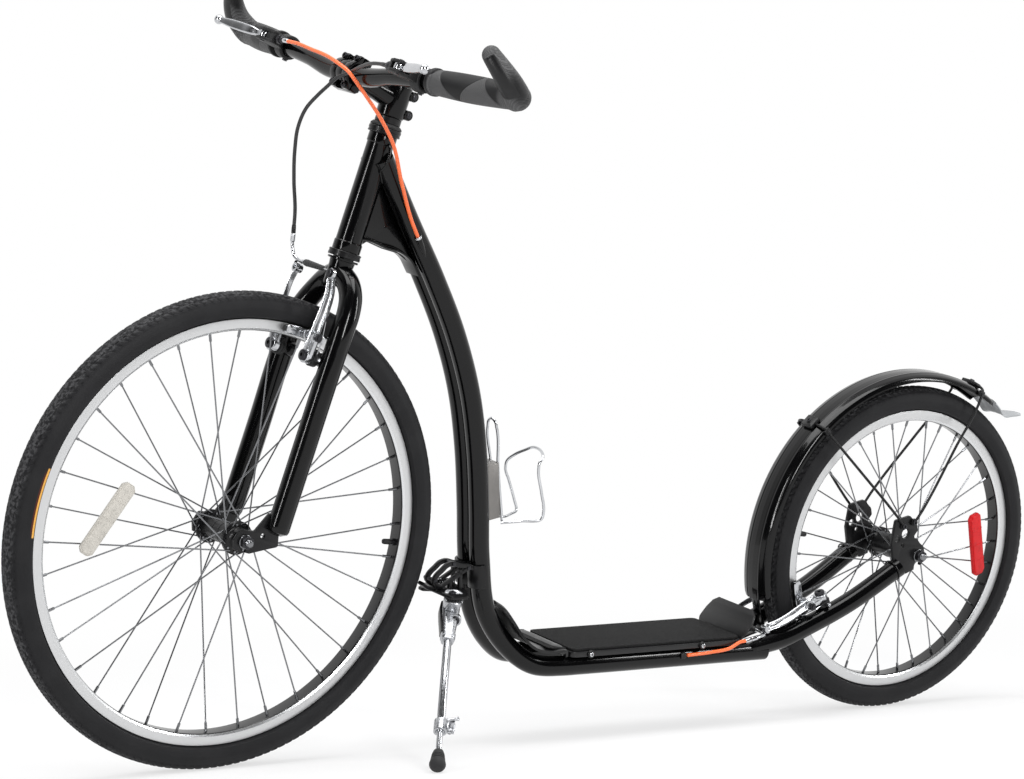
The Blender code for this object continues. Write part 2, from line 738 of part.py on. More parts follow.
def build_frame():
    head = lathe([(0, HEAD_RADIUS), (HEAD_LENGTH, HEAD_RADIUS)], 16, STEERING)
    rails = [sweep(main_tube_route(side), TUBE_RADIUS, 10) for side in (1, -1)]
    stays = [sweep(stay_route(side), lambda p: TUBE_RADIUS - (0.0025 if p.x > RAIL_REAR + 0.03 else 0), 10) for side in (1, -1)]
    bars = [rod((x, -RAIL_SPREAD, RAIL_HEIGHT), (x, RAIL_SPREAD, RAIL_HEIGHT), CROSS_BAR_RADIUS, 10)
            for x in (FRONT_BOLT - 0.02, REAR_BOLT, RAIL_REAR + 0.024)]
    posts = [brake_post(rear_brake()["frame"], side) for side in (1, -1)]
    plates = [rear_dropout(side) for side in (1, -1)]
    mouth, up = port_place()
    port = sweep([mouth - up * 0.034, mouth - up * 0.014, mouth - up * GAP], lambda p: 0.0042 if (p - mouth).length < 0.02 else 0.001, 8)
    frame = fuse(head, *rails, twin_weld(), gusset(), *bars, *stays, *plates, *posts, fender_bracket(), port)
    bore = lathe([(-0.01, HEAD_RADIUS - HEAD_WALL), (HEAD_LENGTH + 0.01, HEAD_RADIUS - HEAD_WALL)], 16, STEERING)
    frame = cut(frame, bore)
    return finish(frame, "frame", black_paint(), "scooter")


def build_headset():
    """Cups pressed into the head tube, the bearings in them, and the cover and spacer above."""
    insert = HEAD_RADIUS - HEAD_WALL - GAP
    neck = STEERER_RADIUS + 0.0007
    seat = CUP_RADIUS - 0.0022
    for name, place in (
        ("upper", STEERING @ Matrix.Translation((0, 0, HEAD_LENGTH + GAP))),
        ("lower", STEERING @ Matrix.Rotation(math.pi, 4, "X") @ Matrix.Translation((0, 0, GAP))),
    ):
        cup = [(neck, -0.012), (insert, -0.012), (insert, 0), (CUP_RADIUS, 0), (CUP_RADIUS, CUP_HEIGHT - GAP),
               (seat, CUP_HEIGHT - GAP), (seat, 0.0022), (neck, 0.0022)]
        finish(turned_ring(cup, 16, place), "headset_" + name + "_cup", black_steel(), "scooter")
        race = [(neck, 0.0022 + GAP), (seat - GAP, 0.0022 + GAP), (seat - GAP, 0.0082), (neck, 0.0082)]
        finish(turned_ring(race, 16, place), "headset_" + name + "_bearing", silver_alloy(), "scooter")
    bore = STEERER_RADIUS + GAP
    low = HEAD_LENGTH + CUP_HEIGHT + 2 * GAP
    top = STEM_CLAMP_LOW - GAP
    cover = [(bore, low), (CUP_RADIUS - 0.0005, low), (CUP_RADIUS - 0.0005, low + 0.003), (0.0185, low + 0.0055), (bore, low + 0.0055)]
    finish(turned_ring(cover, 14, STEERING), "headset_cover", black_plastic(), "steering")
    spacer = [(bore, low + 0.0055 + GAP), (0.0175, low + 0.0055 + GAP), (0.0175, top), (bore, top)]
    finish(turned_ring(spacer, 14, STEERING), "stem_spacer", black_steel(), "steering")


# Fork, stem and bar

def fork_leg(side):
    """A straight leg that turns in to the steerer's foot above the tyre."""
    low = [(LEG_AHEAD, LEG_SPREAD, -LEG_LOW), (LEG_AHEAD, LEG_SPREAD, -0.25), (LEG_AHEAD, LEG_SPREAD, -0.135)]
    bend = [(0.0055, 0.97 * LEG_SPREAD, -SHOULDER - 0.018), (0.0005, 0.86 * LEG_SPREAD, -SHOULDER + 0.008),
            (-0.003, 0.66 * LEG_SPREAD, -SHOULDER + 0.030), (-0.003, 0.42 * LEG_SPREAD, -SHOULDER + 0.045),
            (-0.001, 0.12 * LEG_SPREAD, -SHOULDER + 0.054)]
    route = [Vector((x, side * y, z)) for x, y, z in low] + smooth_route([(x, side * y, z) for x, y, z in bend], 0.3)
    return sweep([STEERING @ point for point in route], LEG_RADIUS, 10)


def fork_dropout(side):
    """The plate from a leg's foot forward to the axle, with the axle's slot."""
    outline = [(-0.052, 0.004), (-0.038, 0.044), (-0.024, 0.044), (-0.010, 0.016), (0.012, 0.014), (0.017, -0.002),
               (0.012, -0.014), (-0.012, -0.014), (-0.038, -0.002)]
    inner = HUB_WIDTH / 2
    low, high = (inner, inner + DROPOUT_THICKNESS) if side > 0 else (-inner - DROPOUT_THICKNESS, -inner)
    place = STEERING @ Matrix.Translation((RAKE, 0, -AXLE_BELOW_HEAD)) @ Matrix.Rotation(math.radians(90), 4, "X")
    body = plate(rounded(outline, 0.004, 1), -high, -low, place)
    slot = AXLE_RADIUS + 2 * GAP
    round_end = lathe([(-high - 0.002, slot), (-low + 0.002, slot)], 12, place)
    throat = plate([(-slot, 0), (slot, 0), (slot + 0.001, -0.03), (-slot - 0.001, -0.03)], -high - 0.002, -low + 0.002, place)
    return cut(body, fuse(round_end, throat))


def build_fork():
    steerer = lathe([(-0.046, 0.0165), (-0.020, 0.0165), (RACE_TOP - 0.003, 0.0170), (RACE_TOP - 0.003, CUP_RADIUS - 0.001),
                     (RACE_TOP, CUP_RADIUS - 0.001), (RACE_TOP, STEERER_RADIUS), (STEERER_TOP, STEERER_RADIUS)], 14, STEERING)
    legs = [fork_leg(side) for side in (1, -1)]
    plates = [fork_dropout(side) for side in (1, -1)]
    posts = [brake_post(front_brake()["frame"], side) for side in (1, -1)]
    finish(fuse(steerer, *legs, *plates, *posts), "fork", black_paint(), "steering")


def bar_route(side, reach=1.0):
    """The bar from its middle outwards: level in the stem, a small rise, then swept back to the grip's end."""
    points = [(0, 0, 0), (0, 0.045, 0), (0, 0.100, 0.008), (-0.007, 0.185, 0.0135), (-0.022, 0.260, 0.0138),
              (-0.022 - 0.018 * reach, 0.260 + (BAR_HALF_WIDTH - 0.260) * reach, 0.0138)]
    return [BAR_CENTRE + Vector((x, side * y, z)) for x, y, z in points]


def whole_bar(extra, reach=1.0, steps=12):
    """The bar's solid, grown by extra where it serves to cut a seat for itself."""
    left = smooth_route(bar_route(1, reach), 0.2)
    right = smooth_route(bar_route(-1, reach), 0.2)

    def radius(point):
        share = min(1.0, max(0.0, (abs(point.y) - 0.045) / 0.055))
        return extra + BAR_CLAMP_RADIUS + (BAR_RADIUS - BAR_CLAMP_RADIUS) * share

    return sweep(right[::-1] + left[1:], radius, steps, up=Vector((0, 0, 1)))


def stem_frame():
    """At the bar's centre: Z from the steerer to the bar, Y to the left."""
    back = STEERING @ Vector((0, 0, STEM_CLAMP_LOW + 0.0215))
    return aim(BAR_CENTRE, BAR_CENTRE - back), back


def build_stem():
    """Steerer clamp with its slit and pinch bolts, the extension, and the bar's rear half clamp."""
    top = STEERER_TOP + 0.0006
    clamp = lathe([(STEM_CLAMP_LOW, STEM_CLAMP_RADIUS - 0.001), (STEM_CLAMP_LOW + 0.002, STEM_CLAMP_RADIUS),
                   (top - 0.002, STEM_CLAMP_RADIUS), (top, STEM_CLAMP_RADIUS - 0.001)], 16, STEERING)
    place, back = stem_frame()
    length = (BAR_CENTRE - back).length
    extension = lathe([(-length + 0.005, STEM_TUBE_RADIUS + 0.001), (-length / 2, STEM_TUBE_RADIUS - 0.001),
                       (-0.008, STEM_TUBE_RADIUS + 0.001)], 16, place)
    shell = BAR_CLAMP_RADIUS + 0.0055
    seat = lathe([(-0.021, shell), (0.021, shell)], 16, place @ Matrix.Rotation(math.radians(-90), 4, "X"))
    ears = [box((-0.0235, y - 0.0055, -0.012), (0.0235, y + 0.0055, 0.006), place) for y in (-0.0145, 0.0145)]
    half_space = box((-0.05, -0.05, 0.0005), (0.05, 0.05, 0.05), place)
    bosses = [rod(STEERING @ Vector((-0.0205, -0.0130, z)), STEERING @ Vector((-0.0205, 0.0130, z)), 0.0068, 8)
              for z in (STEM_CLAMP_LOW + 0.009, STEM_CLAMP_LOW + 0.0345)]
    heads = [rod(STEERING @ Vector((-0.0205, 0.0125, z)), STEERING @ Vector((-0.0205, 0.0170, z)), 0.0042, 6)
             for z in (STEM_CLAMP_LOW + 0.009, STEM_CLAMP_LOW + 0.0345)]
    bore = rod(STEERING @ Vector((0, 0, STEM_CLAMP_LOW - 0.01)), STEERING @ Vector((0, 0, top + 0.01)), STEERER_RADIUS + GAP, 16)
    slit = box((-0.04, -0.0008, STEM_CLAMP_LOW - 0.01), (-0.005, 0.0008, top + 0.01), STEERING)
    body = fuse(clamp, extension, seat, *ears, *bosses)
    body = cut(body, half_space, whole_bar(GAP), bore, slit)
    finish(fuse(body, *heads), "stem", black_paint(), "steering")

    cap = fuse(
        lathe([(-0.0205, shell), (0.0205, shell)], 16, place @ Matrix.Rotation(math.radians(-90), 4, "X")),
        *[box((-0.0235, y - 0.0055, 0.0), (0.0235, y + 0.0055, 0.008), place) for y in (-0.0145, 0.0145)],
    )
    behind = box((-0.05, -0.05, -0.05), (0.05, 0.05, 0.0005 + 4 * GAP), place)
    cap = cut(cap, behind, whole_bar(GAP))
    bolts = [lathe([(0.007, 0.0040), (0.0115, 0.0040)], 6, place @ Matrix.Translation((x, y, 0)))
             for x in (-0.0190, 0.0190) for y in (-0.0145, 0.0145)]
    finish(fuse(cap, *bolts), "stem_faceplate", black_paint(), "steering")

    lid = lathe([(top + GAP, STEM_CLAMP_RADIUS - 0.002), (top + 0.003, STEM_CLAMP_RADIUS - 0.002),
                 (top + 0.005, 0.012), (top + 0.005, 0.0055), (top + 0.0075, 0.0050)], 16, STEERING)
    finish(lid, "steerer_cap", black_steel(), "steering")


def grip(side):
    """A palm grip on the bar that turns forward and up into a horn at its end."""
    route = smooth_route(bar_route(side)[3:], 0.25, 2)
    swell = BAR_HALF_WIDTH - GRIP_START

    def radius(point):
        return GRIP_RADIUS - 0.0012 + 0.0022 * math.sin(math.pi * (abs(point.y) - GRIP_START) / swell)

    palm = sweep(route, radius, 10, up=Vector((0, 0, 1)))
    collar = sweep([route[0], route[0].lerp(route[1], 0.15)], GRIP_RADIUS + 0.0014, 10, up=Vector((0, 0, 1)))
    elbow = route[-1]
    tip_way = Vector((0.037, -0.012 * side, 0.050)).normalized()
    bend = Vector((0.5, 0.55 * side, 0.35)).normalized()
    points = [elbow + Vector((-0.001, -0.004 * side, 0)), elbow + bend * 0.010 + tip_way * 0.012,
              elbow + bend * 0.007 + tip_way * 0.045, elbow + tip_way * HORN_LENGTH]
    horn = sweep(smooth_route(points, 0.3), lambda p: 0.0162 - 0.0040 * (p - elbow).length / HORN_LENGTH, 10, up=Vector((0, 0, 1)))
    body = fuse(palm, collar, ball(elbow, GRIP_RADIUS - 0.0002, 10), horn, ball(points[-1], 0.0121, 10))
    return cut(body, whole_bar(GAP, 0.93))


def build_bar():
    finish(whole_bar(0, 0.9), "handlebar", black_paint(), "steering")
    for side, name in ((1, "left"), (-1, "right")):
        finish(grip(side), name + "_grip", grip_rubber(), "steering")


# Levers

def lever_frame(side):
    """At a lever's pivot: X away from the bar, Y to the left, Z along the pivot pin."""
    route = smooth_route(bar_route(side), least=8)
    near = min(route, key=lambda point: abs(abs(point.y) - LEVER_OUT))
    away = Vector((math.cos(LEVER_TILT), 0, math.sin(LEVER_TILT)))
    pin = away.cross(Vector((0, 1, 0)))
    frame = Matrix((away, Vector((0, 1, 0)), pin)).transposed().to_4x4()
    return Matrix.Translation(Vector((near.x, side * LEVER_OUT, near.z)) + away * LEVER_REACH) @ frame


def lever_housing(side):
    """The clamp round the bar, the arm out to the pivot with its slot and pin, and the cable's adjuster."""
    place = lever_frame(side)
    y = side
    band = rod(place @ Vector((-LEVER_REACH, -0.008, 0)), place @ Vector((-LEVER_REACH, 0.008, 0)), 0.0165, 12)
    outline = rounded([(-0.036, -0.008 * y), (-0.036, 0.008 * y), (-0.010, 0.010 * y), (0.007, 0.009 * y),
                       (0.009, -0.006 * y), (0.001, -0.024 * y), (-0.014, -0.024 * y)], 0.003, 1)
    if side < 0:
        outline.reverse()
    arm = plate(outline, -0.0085, 0.0085, place)
    slot = box((-0.0125, min(-0.0125 * y, 0.05 * y), -0.0046), (0.03, max(-0.0125 * y, 0.05 * y), 0.0046), place)
    pin = rod(place @ Vector((0, 0, -0.0080)), place @ Vector((0, 0, 0.0100)), 0.0025, 8)
    adjuster = lathe([(0.0, 0.0045), (0.004, 0.0045), (0.004, 0.0062), (0.011, 0.0062), (0.011, 0.0045), (0.016, 0.0040)],
                     8, aim(place @ Vector((-0.0070, -0.0225 * y, 0)), place.to_3x3() @ Vector((0, -y, 0))))
    screw = rod(place @ Vector((-LEVER_REACH - 0.004, 0, -0.0150)), place @ Vector((-LEVER_REACH - 0.004, 0, -0.0185)), 0.0035, 8)
    body = cut(fuse(band, arm, screw), slot, whole_bar(GAP))
    return fuse(body, pin, adjuster)


def lever_blade(side):
    """The lever: a hub on the pin, a blade curving outwards and a ball at its end."""
    place = lever_frame(side)
    end = (0.0218, LEVER_LENGTH)
    path = [(-0.001, 0.004), (0.001, 0.014), (0.005, 0.022), (0.010, 0.040), (0.0155, 0.060), end]
    widths = [0.0070, 0.0070, 0.0115, 0.0125, 0.0120, 0.0085]
    points = [Vector((x, side * y, 0)) for x, y in path]
    sections = []
    for i, point in enumerate(points):
        ahead = (points[min(i + 1, len(points) - 1)] - points[max(i - 1, 0)]).normalized()
        out = ahead.cross(Vector((0, 0, side)))
        half, deep = widths[i] / 2, 0.0036
        corners = [(-deep, -half), (deep, -0.7 * half), (deep, 0.7 * half), (-deep, half)]
        sections.append([place @ (point + out * a + Vector((0, 0, b))) for a, b in corners])
    blade = loft(sections)
    hub = rod(place @ Vector((0, 0, -0.0040)), place @ Vector((0, 0, 0.0040)), 0.0070, 10)
    hole = rod(place @ Vector((0, 0, -0.0100)), place @ Vector((0, 0, 0.0100)), 0.0025 + GAP, 8)
    tip = ball(place @ Vector((end[0], side * end[1], 0)), 0.0066, 8)
    return cut(fuse(hub, blade, tip), hole)


def build_levers():
    for side, name in ((1, "left"), (-1, "right")):
        finish(lever_housing(side), name + "_lever_housing", black_plastic(), "steering")
        finish(lever_blade(side), name + "_brake_lever", silver_alloy(), name + "_lever")


# Rim brakes

def arm_path(side):
    """An arm's centre line in its brake's frame: up and out from the pivot, then in again over the tyre."""
    line = [(0.000, 0.000), (0.006, 0.022), (0.009, 0.048), (0.006, 0.076), (0.000, ARM_LENGTH)]
    return [Vector((ARM_STAND, side * (POST_SPREAD + y), z)) for y, z in line]


def brake_arm(frame, side, holds_noodle):
    """A brake arm: barrel on the post, tapering arm with the pad's boss, and the cable's end at the top."""
    points = [frame @ point for point in arm_path(side)]
    arm = strip(points, [ARM_THICKNESS, ARM_THICKNESS, 0.009, 0.008, 0.008], 0.013, frame.to_3x3() @ Vector((0, 1, 0)))
    low, high = ARM_STAND - ARM_THICKNESS / 2, ARM_STAND + ARM_THICKNESS / 2
    barrel = rod(frame @ Vector((low, side * POST_SPREAD, 0)), frame @ Vector((high, side * POST_SPREAD, 0)), 0.0095, 10)
    height = POST_BELOW_TRACK
    inner = pad_back() + 0.002 + GAP
    boss = rod(frame @ Vector((ARM_STAND, side * inner, height)), frame @ Vector((ARM_STAND, side * (POST_SPREAD + 0.017), height)), 0.0055, 8)
    head, foot = (ARM_LENGTH, low) if holds_noodle else (ARM_LENGTH + 0.007, low + 0.004)
    top = rod(frame @ Vector((foot, side * POST_SPREAD, head)), frame @ Vector((high + 0.002, side * POST_SPREAD, head)), TOP_BOSS, 8)
    hole = rod(frame @ Vector((low - 0.01, side * POST_SPREAD, 0)), frame @ Vector((high + 0.01, side * POST_SPREAD, 0)), PIVOT_RADIUS + GAP, 10)
    return cut(fuse(arm, barrel, boss, top), hole)


def pad_back():
    return RIM_WIDTH / 2 + PAD_GAP + 0.010


def brake_pad(brake, side):
    """A pad: its face follows the brake track, its stud ends at the arm."""
    frame, track, tilt = brake["frame"], brake["track"], brake["tilt"]
    face = RIM_WIDTH / 2 + PAD_GAP
    back = pad_back()
    pivot_out = track * math.cos(tilt) - POST_BELOW_TRACK
    sections = []
    for k in range(5):
        turn = tilt + (k / 4 - 0.5) * PAD_LENGTH / track
        taper = 0.0015 if k in (0, 4) else 0.0
        half = PAD_HEIGHT / 2 - taper
        corners = [(face + taper, -half), (back - 0.003, -half), (back, -0.5 * half), (back, 0.5 * half),
                   (back - 0.003, half), (face + taper, half)]
        shift = track * math.sin(tilt) - ARM_STAND
        sections.append([
            frame @ Vector(((track + z) * math.sin(turn) - shift, side * y, (track + z) * math.cos(turn) - pivot_out))
            for y, z in corners
        ])
    stud = rod(frame @ Vector((ARM_STAND, side * (back - 0.002), POST_BELOW_TRACK)),
               frame @ Vector((ARM_STAND, side * (back + 0.002), POST_BELOW_TRACK)), 0.0045, 8)
    return fuse(loft(sections), stud)


def noodle_height():
    return ARM_LENGTH + TOP_BOSS + NOODLE_RADIUS + GAP


def noodle_route(side):
    """The bent guide from an arm's end out sideways and round to the cable casing."""
    start = POST_SPREAD - 0.012
    height = noodle_height()
    return [(ARM_STAND, side * start, height), (ARM_STAND, side * (POST_SPREAD + 0.004), height),
            (ARM_STAND + 0.002, side * (POST_SPREAD + 0.014), height + 0.004),
            (ARM_STAND + 0.006, side * (POST_SPREAD + 0.019), height + 0.015),
            (ARM_STAND + 0.010, side * (POST_SPREAD + 0.020), height + 0.031)]


def build_brake(name, brake, noodle_side):
    """Both arms with their pads, the noodle on one arm and the rubber boot between the arms."""
    frame = brake["frame"]
    left = 1 if name == "front" else -1
    for side, which in ((left, "left"), (-left, "right")):
        body = name + "_" + which + "_arm"
        finish(brake_arm(frame, side, side == noodle_side), name + "_brake_arm_" + which, silver_alloy(), body)
        finish(brake_pad(brake, side), name + "_brake_pad_" + which, grip_rubber(), body)
    holder = "left" if noodle_side == left else "right"
    route = [frame @ Vector(point) for point in noodle_route(noodle_side)]
    noodle = sweep(smooth_route(route, 0.3), NOODLE_RADIUS, 8)
    finish(noodle, name + "_brake_noodle", bright_wire(), name + "_" + holder + "_arm")
    reach = POST_SPREAD - 0.012 - GAP
    far = reach + POST_SPREAD - TOP_BOSS - GAP
    stations = [(0, 0.0030), (0.003, 0.0048), (0.012, 0.0042), (0.034, 0.0036), (far - 0.020, 0.0034), (far - 0.018, 0.0012), (far, 0.0012)]
    boot = lathe(stations, 8, aim(frame @ Vector((ARM_STAND, noodle_side * reach, noodle_height())), frame.to_3x3() @ Vector((0, -noodle_side, 0))))
    finish(boot, name + "_brake_boot", grip_rubber(), "steering" if name == "front" else "scooter")


# Deck

def build_deck():
    """Deck plate with its bolts on the rails, grip mat, and the guards at both ends."""
    low = RAIL_HEIGHT + TUBE_RADIUS + GAP
    corners = [(DECK_REAR, -DECK_HALF_WIDTH), (DECK_FRONT, -DECK_HALF_WIDTH), (DECK_FRONT, DECK_HALF_WIDTH), (DECK_REAR, DECK_HALF_WIDTH)]
    body = plate(rounded(corners, 0.012, 2), low, low + DECK_PLATE)
    bolts = [ball((x, side * (DECK_HALF_WIDTH - 0.001), low + DECK_PLATE / 2), 0.0038, 6)
             for x in (REAR_BOLT, FRONT_BOLT) for side in (1, -1)]
    finish(fuse(body, *bolts), "deck_plate", black_plastic(), "scooter")
    inset = 0.003
    corners = [(DECK_REAR + inset, -DECK_HALF_WIDTH + inset), (DECK_FRONT - inset, -DECK_HALF_WIDTH + inset),
               (DECK_FRONT - inset, DECK_HALF_WIDTH - inset), (DECK_REAR + inset, DECK_HALF_WIDTH - inset)]
    mat = plate(rounded(corners, 0.010), low + DECK_PLATE + GAP, low + DECK_PLATE + GAP + DECK_MAT)
    finish(mat, "deck_mat", deck_mat(), "scooter")


def front_guard():
    """The panel that slopes from the deck's front edge up to the main tubes, narrowing upwards."""
    line = [(DECK_FRONT + 0.0024, 0.1320, 0.054), (DECK_FRONT + 0.0050, 0.1400, 0.056), (0.6550, 0.1425, 0.056),
            (0.6820, 0.1500, 0.0555), (0.7000, 0.1655, 0.051), (0.7110, 0.1850, 0.040), (0.7185, 0.1985, 0.028),
            (0.7288, 0.2056, 0.018)]
    points = [Vector((x, 0, z)) for x, z, _ in line]
    sections = []
    for i, (point, (_, _, half)) in enumerate(zip(points, line)):
        ahead = (points[min(i + 1, len(points) - 1)] - points[max(i - 1, 0)]).normalized()
        up = Vector((-ahead.z, 0, ahead.x))
        thick = GUARD_THICKNESS / 2
        section = [(-half, -0.003), (-0.6 * half, 0), (0.6 * half, 0), (half, -0.003)]
        sections.append([point + up * (z + thick) + Vector((0, y, 0)) for y, z in section]
                        + [point + up * (z - thick) + Vector((0, y, 0)) for y, z in reversed(section)])
    return loft(sections)


def rear_guard():
    """The flap across the deck's rear end, turned up and back."""
    top = DECK_TOP - DECK_MAT
    foot = DECK_REAR - GAP
    slope = 0.62
    line = [(foot + 0.0, top - 0.006), (foot - 0.004, top + 0.004), (foot - 0.005 - slope * 0.020, top + 0.022),
            (foot - 0.004 - slope * REAR_GUARD_RISE, top + REAR_GUARD_RISE)]
    halves = [DECK_HALF_WIDTH - 0.010, DECK_HALF_WIDTH - 0.004, DECK_HALF_WIDTH - 0.005, DECK_HALF_WIDTH - 0.016]
    sections = []
    for (x, z), half in zip(line, halves):
        sections.append([Vector((x - GUARD_THICKNESS, -half, z)), Vector((x, -half, z)), Vector((x, half, z)),
                         Vector((x - GUARD_THICKNESS, half, z))])
    return loft(sections)


# Bottle cage

def build_cage():
    """A bent-wire bottle cage: back rods on a plate, a foot under the bottle and arms round it."""
    low, way = tube_at(CAGE_LOW)
    high, _ = tube_at(CAGE_HIGH)
    up = (high - low).normalized()
    back = Vector((-up.z, 0, up.x))
    height = (high - low).length
    root = low + back * (TUBE_RADIUS + 2 * GAP)
    place = Matrix.Translation(root) @ Matrix((back, Vector((0, 1, 0)), up)).transposed().to_4x4()

    def wire(points, turn):
        return sweep(smooth_route([place @ Vector(point) for point in points], turn), CAGE_WIRE, 5, up=Vector((1, 0, 0)))

    plane = CAGE_STAND
    middle = plane + CAGE_WIRE + BOTTLE_RADIUS
    ring = BOTTLE_RADIUS + CAGE_WIRE
    seat = plate(rounded([(0, 0.016), (0, -0.016), (plane, -0.012), (plane, 0.012)], 0.002, 1), 0.0, height, place)
    rods = []
    for side in (1, -1):
        line = [(plane, 0.009, 0.012), (plane, 0.009, 0.001), (plane + 0.009, 0.0105, -0.006), (middle, 0.020, -0.007),
                (middle + 0.019, 0.030, -0.005), (middle + 0.0225, 0.0325, 0.004), (middle + 0.0205, 0.0340, 0.040),
                (middle + 0.0170, 0.0355, height - 0.006), (middle + 0.0195, 0.0345, height + 0.005),
                (middle + 0.0300, 0.0260, height + 0.011), (middle + ring, -0.0020, height + 0.013)]
        rods.append(wire([(x, side * y, z) for x, y, z in line], 0.5))
    hoop = [(plane, 0.009, height - 0.020), (plane, 0.009, height + 0.045), (plane - 0.002, 0.007, height + 0.058),
            (plane - 0.004, 0.000, height + 0.063), (plane - 0.002, -0.007, height + 0.058), (plane, -0.009, height + 0.045),
            (plane, -0.009, height - 0.020)]
    rods.append(wire(hoop, 0.6))
    finish(fuse(seat, *rods), "bottle_cage", bright_wire(), "scooter")


# Fender

def fender_section(angle, half, depth, sheet, lift=0.0):
    """The fender's section at an angle round the axle: crown, rounded shoulders and turned-down edges."""
    line = [(0.0, 0.0), (0.55 * half, 0.0012), (0.86 * half, 0.0050), (half, depth)]
    outer = [(-y, -drop) for y, drop in reversed(line)] + [(y, -drop) for y, drop in line[1:]]
    inner = [(y * (half - sheet) / half, max(drop - sheet, -depth)) for y, drop in reversed(outer)]
    turn = Vector((math.cos(angle), 0, math.sin(angle)))
    return [REAR_AXLE + turn * (FENDER_RADIUS + lift + drop) + Vector((0, y, 0)) for y, drop in outer + inner]


def build_fender():
    steps = 19
    turns = [FENDER_START + (FENDER_END - FENDER_START) * i / steps for i in range(steps + 1)]
    finish(loft([fender_section(a, FENDER_HALF_WIDTH, FENDER_DEPTH, FENDER_SHEET) for a in turns]), "rear_fender", black_paint(), "scooter")

    end = REAR_AXLE + Vector((math.cos(FENDER_END), 0, math.sin(FENDER_END))) * FENDER_RADIUS
    back = Vector((-math.sin(FENDER_END), 0, math.cos(FENDER_END)))
    start = end + back * (GAP + 0.0001)
    kink = start + Vector((-0.022, 0, -0.022))
    tip = kink + Vector((-0.046, 0, -0.003))
    sections = []
    for point, half, drop in ((start, 0.026, 0.004), (kink, 0.024, 0.003), (tip, 0.017, 0.0005)):
        sections.append([point + Vector((0, y, z)) for y, z in (
            (-half, -drop), (-0.6 * half, 0), (0.6 * half, 0), (half, -drop),
            (half, -drop - 0.002), (0.6 * half, -0.0025), (-0.6 * half, -0.0025), (-half, -drop - 0.002))])
    finish(loft(sections), "fender_flap", black_plastic(), "scooter")


def fender_stay(angle, eye):
    """A clamp over the fender's crown, and the wire from it down to the eyes at both dropouts."""
    turn = Vector((math.cos(angle), 0, math.sin(angle)))
    tab = REAR_AXLE + Vector((eye[0], 0, eye[1]))
    out = HUB_WIDTH / 2 + DROPOUT_THICKNESS + STAY_WIRE_RADIUS + 0.0015
    crown = REAR_AXLE + turn * (FENDER_RADIUS + STAY_WIRE_RADIUS + GAP)
    shoulder = REAR_AXLE + turn * (FENDER_RADIUS - 0.003)
    edge = REAR_AXLE + turn * (FENDER_RADIUS - FENDER_DEPTH - 0.004)
    wide = FENDER_HALF_WIDTH + STAY_WIRE_RADIUS + 0.0006
    half = [crown + Vector((0, 0.010, 0)), crown + Vector((0, 0.75 * wide, -0.001)), shoulder + Vector((0, wide + 0.0005, 0)),
            edge + Vector((0, wide + 0.003, 0))]
    leg = [edge.lerp(tab, t) + Vector((0, wide + 0.003 + (out - wide - 0.003) * min(1, t / 0.86), 0)) for t in (0.4, 0.8, 0.9, 1.0)]
    left = half + leg
    right = [Vector((p.x, -p.y, p.z)) for p in reversed(left)]
    wire = sweep(smooth_route(right + left, 0.6), STAY_WIRE_RADIUS, 5, up=Vector((1, 0, 0)))
    clamp_frame = aim(crown, turn)
    clamp = box((-0.010, -0.012, -STAY_WIRE_RADIUS), (0.010, 0.012, 0.006), clamp_frame, 0.002)
    eyes = [rod(tab + Vector((0, side * (out - STAY_WIRE_RADIUS - 0.0015 + GAP), 0)), tab + Vector((0, side * (out + 0.0035), 0)), 0.0055, 8)
            for side in (1, -1)]
    return fuse(clamp, wire, *eyes)


# Side stand

def stand_axes():
    """Where the stand's leg points when down and folded, its hinge axis and the leg's length to the foot's centre."""
    ground = Vector((0, -math.sin(LEAN), math.cos(LEAN)))
    foot = Vector((FOOT_AHEAD, FOOT_OUT, 0))
    foot.z = (FOOT_RADIUS - ground.y * foot.y) / ground.z
    down = foot - STAND_PIVOT
    folded = STAND_FOLDED.normalized()
    return down.normalized(), folded, down.normalized().cross(folded).normalized(), down.length


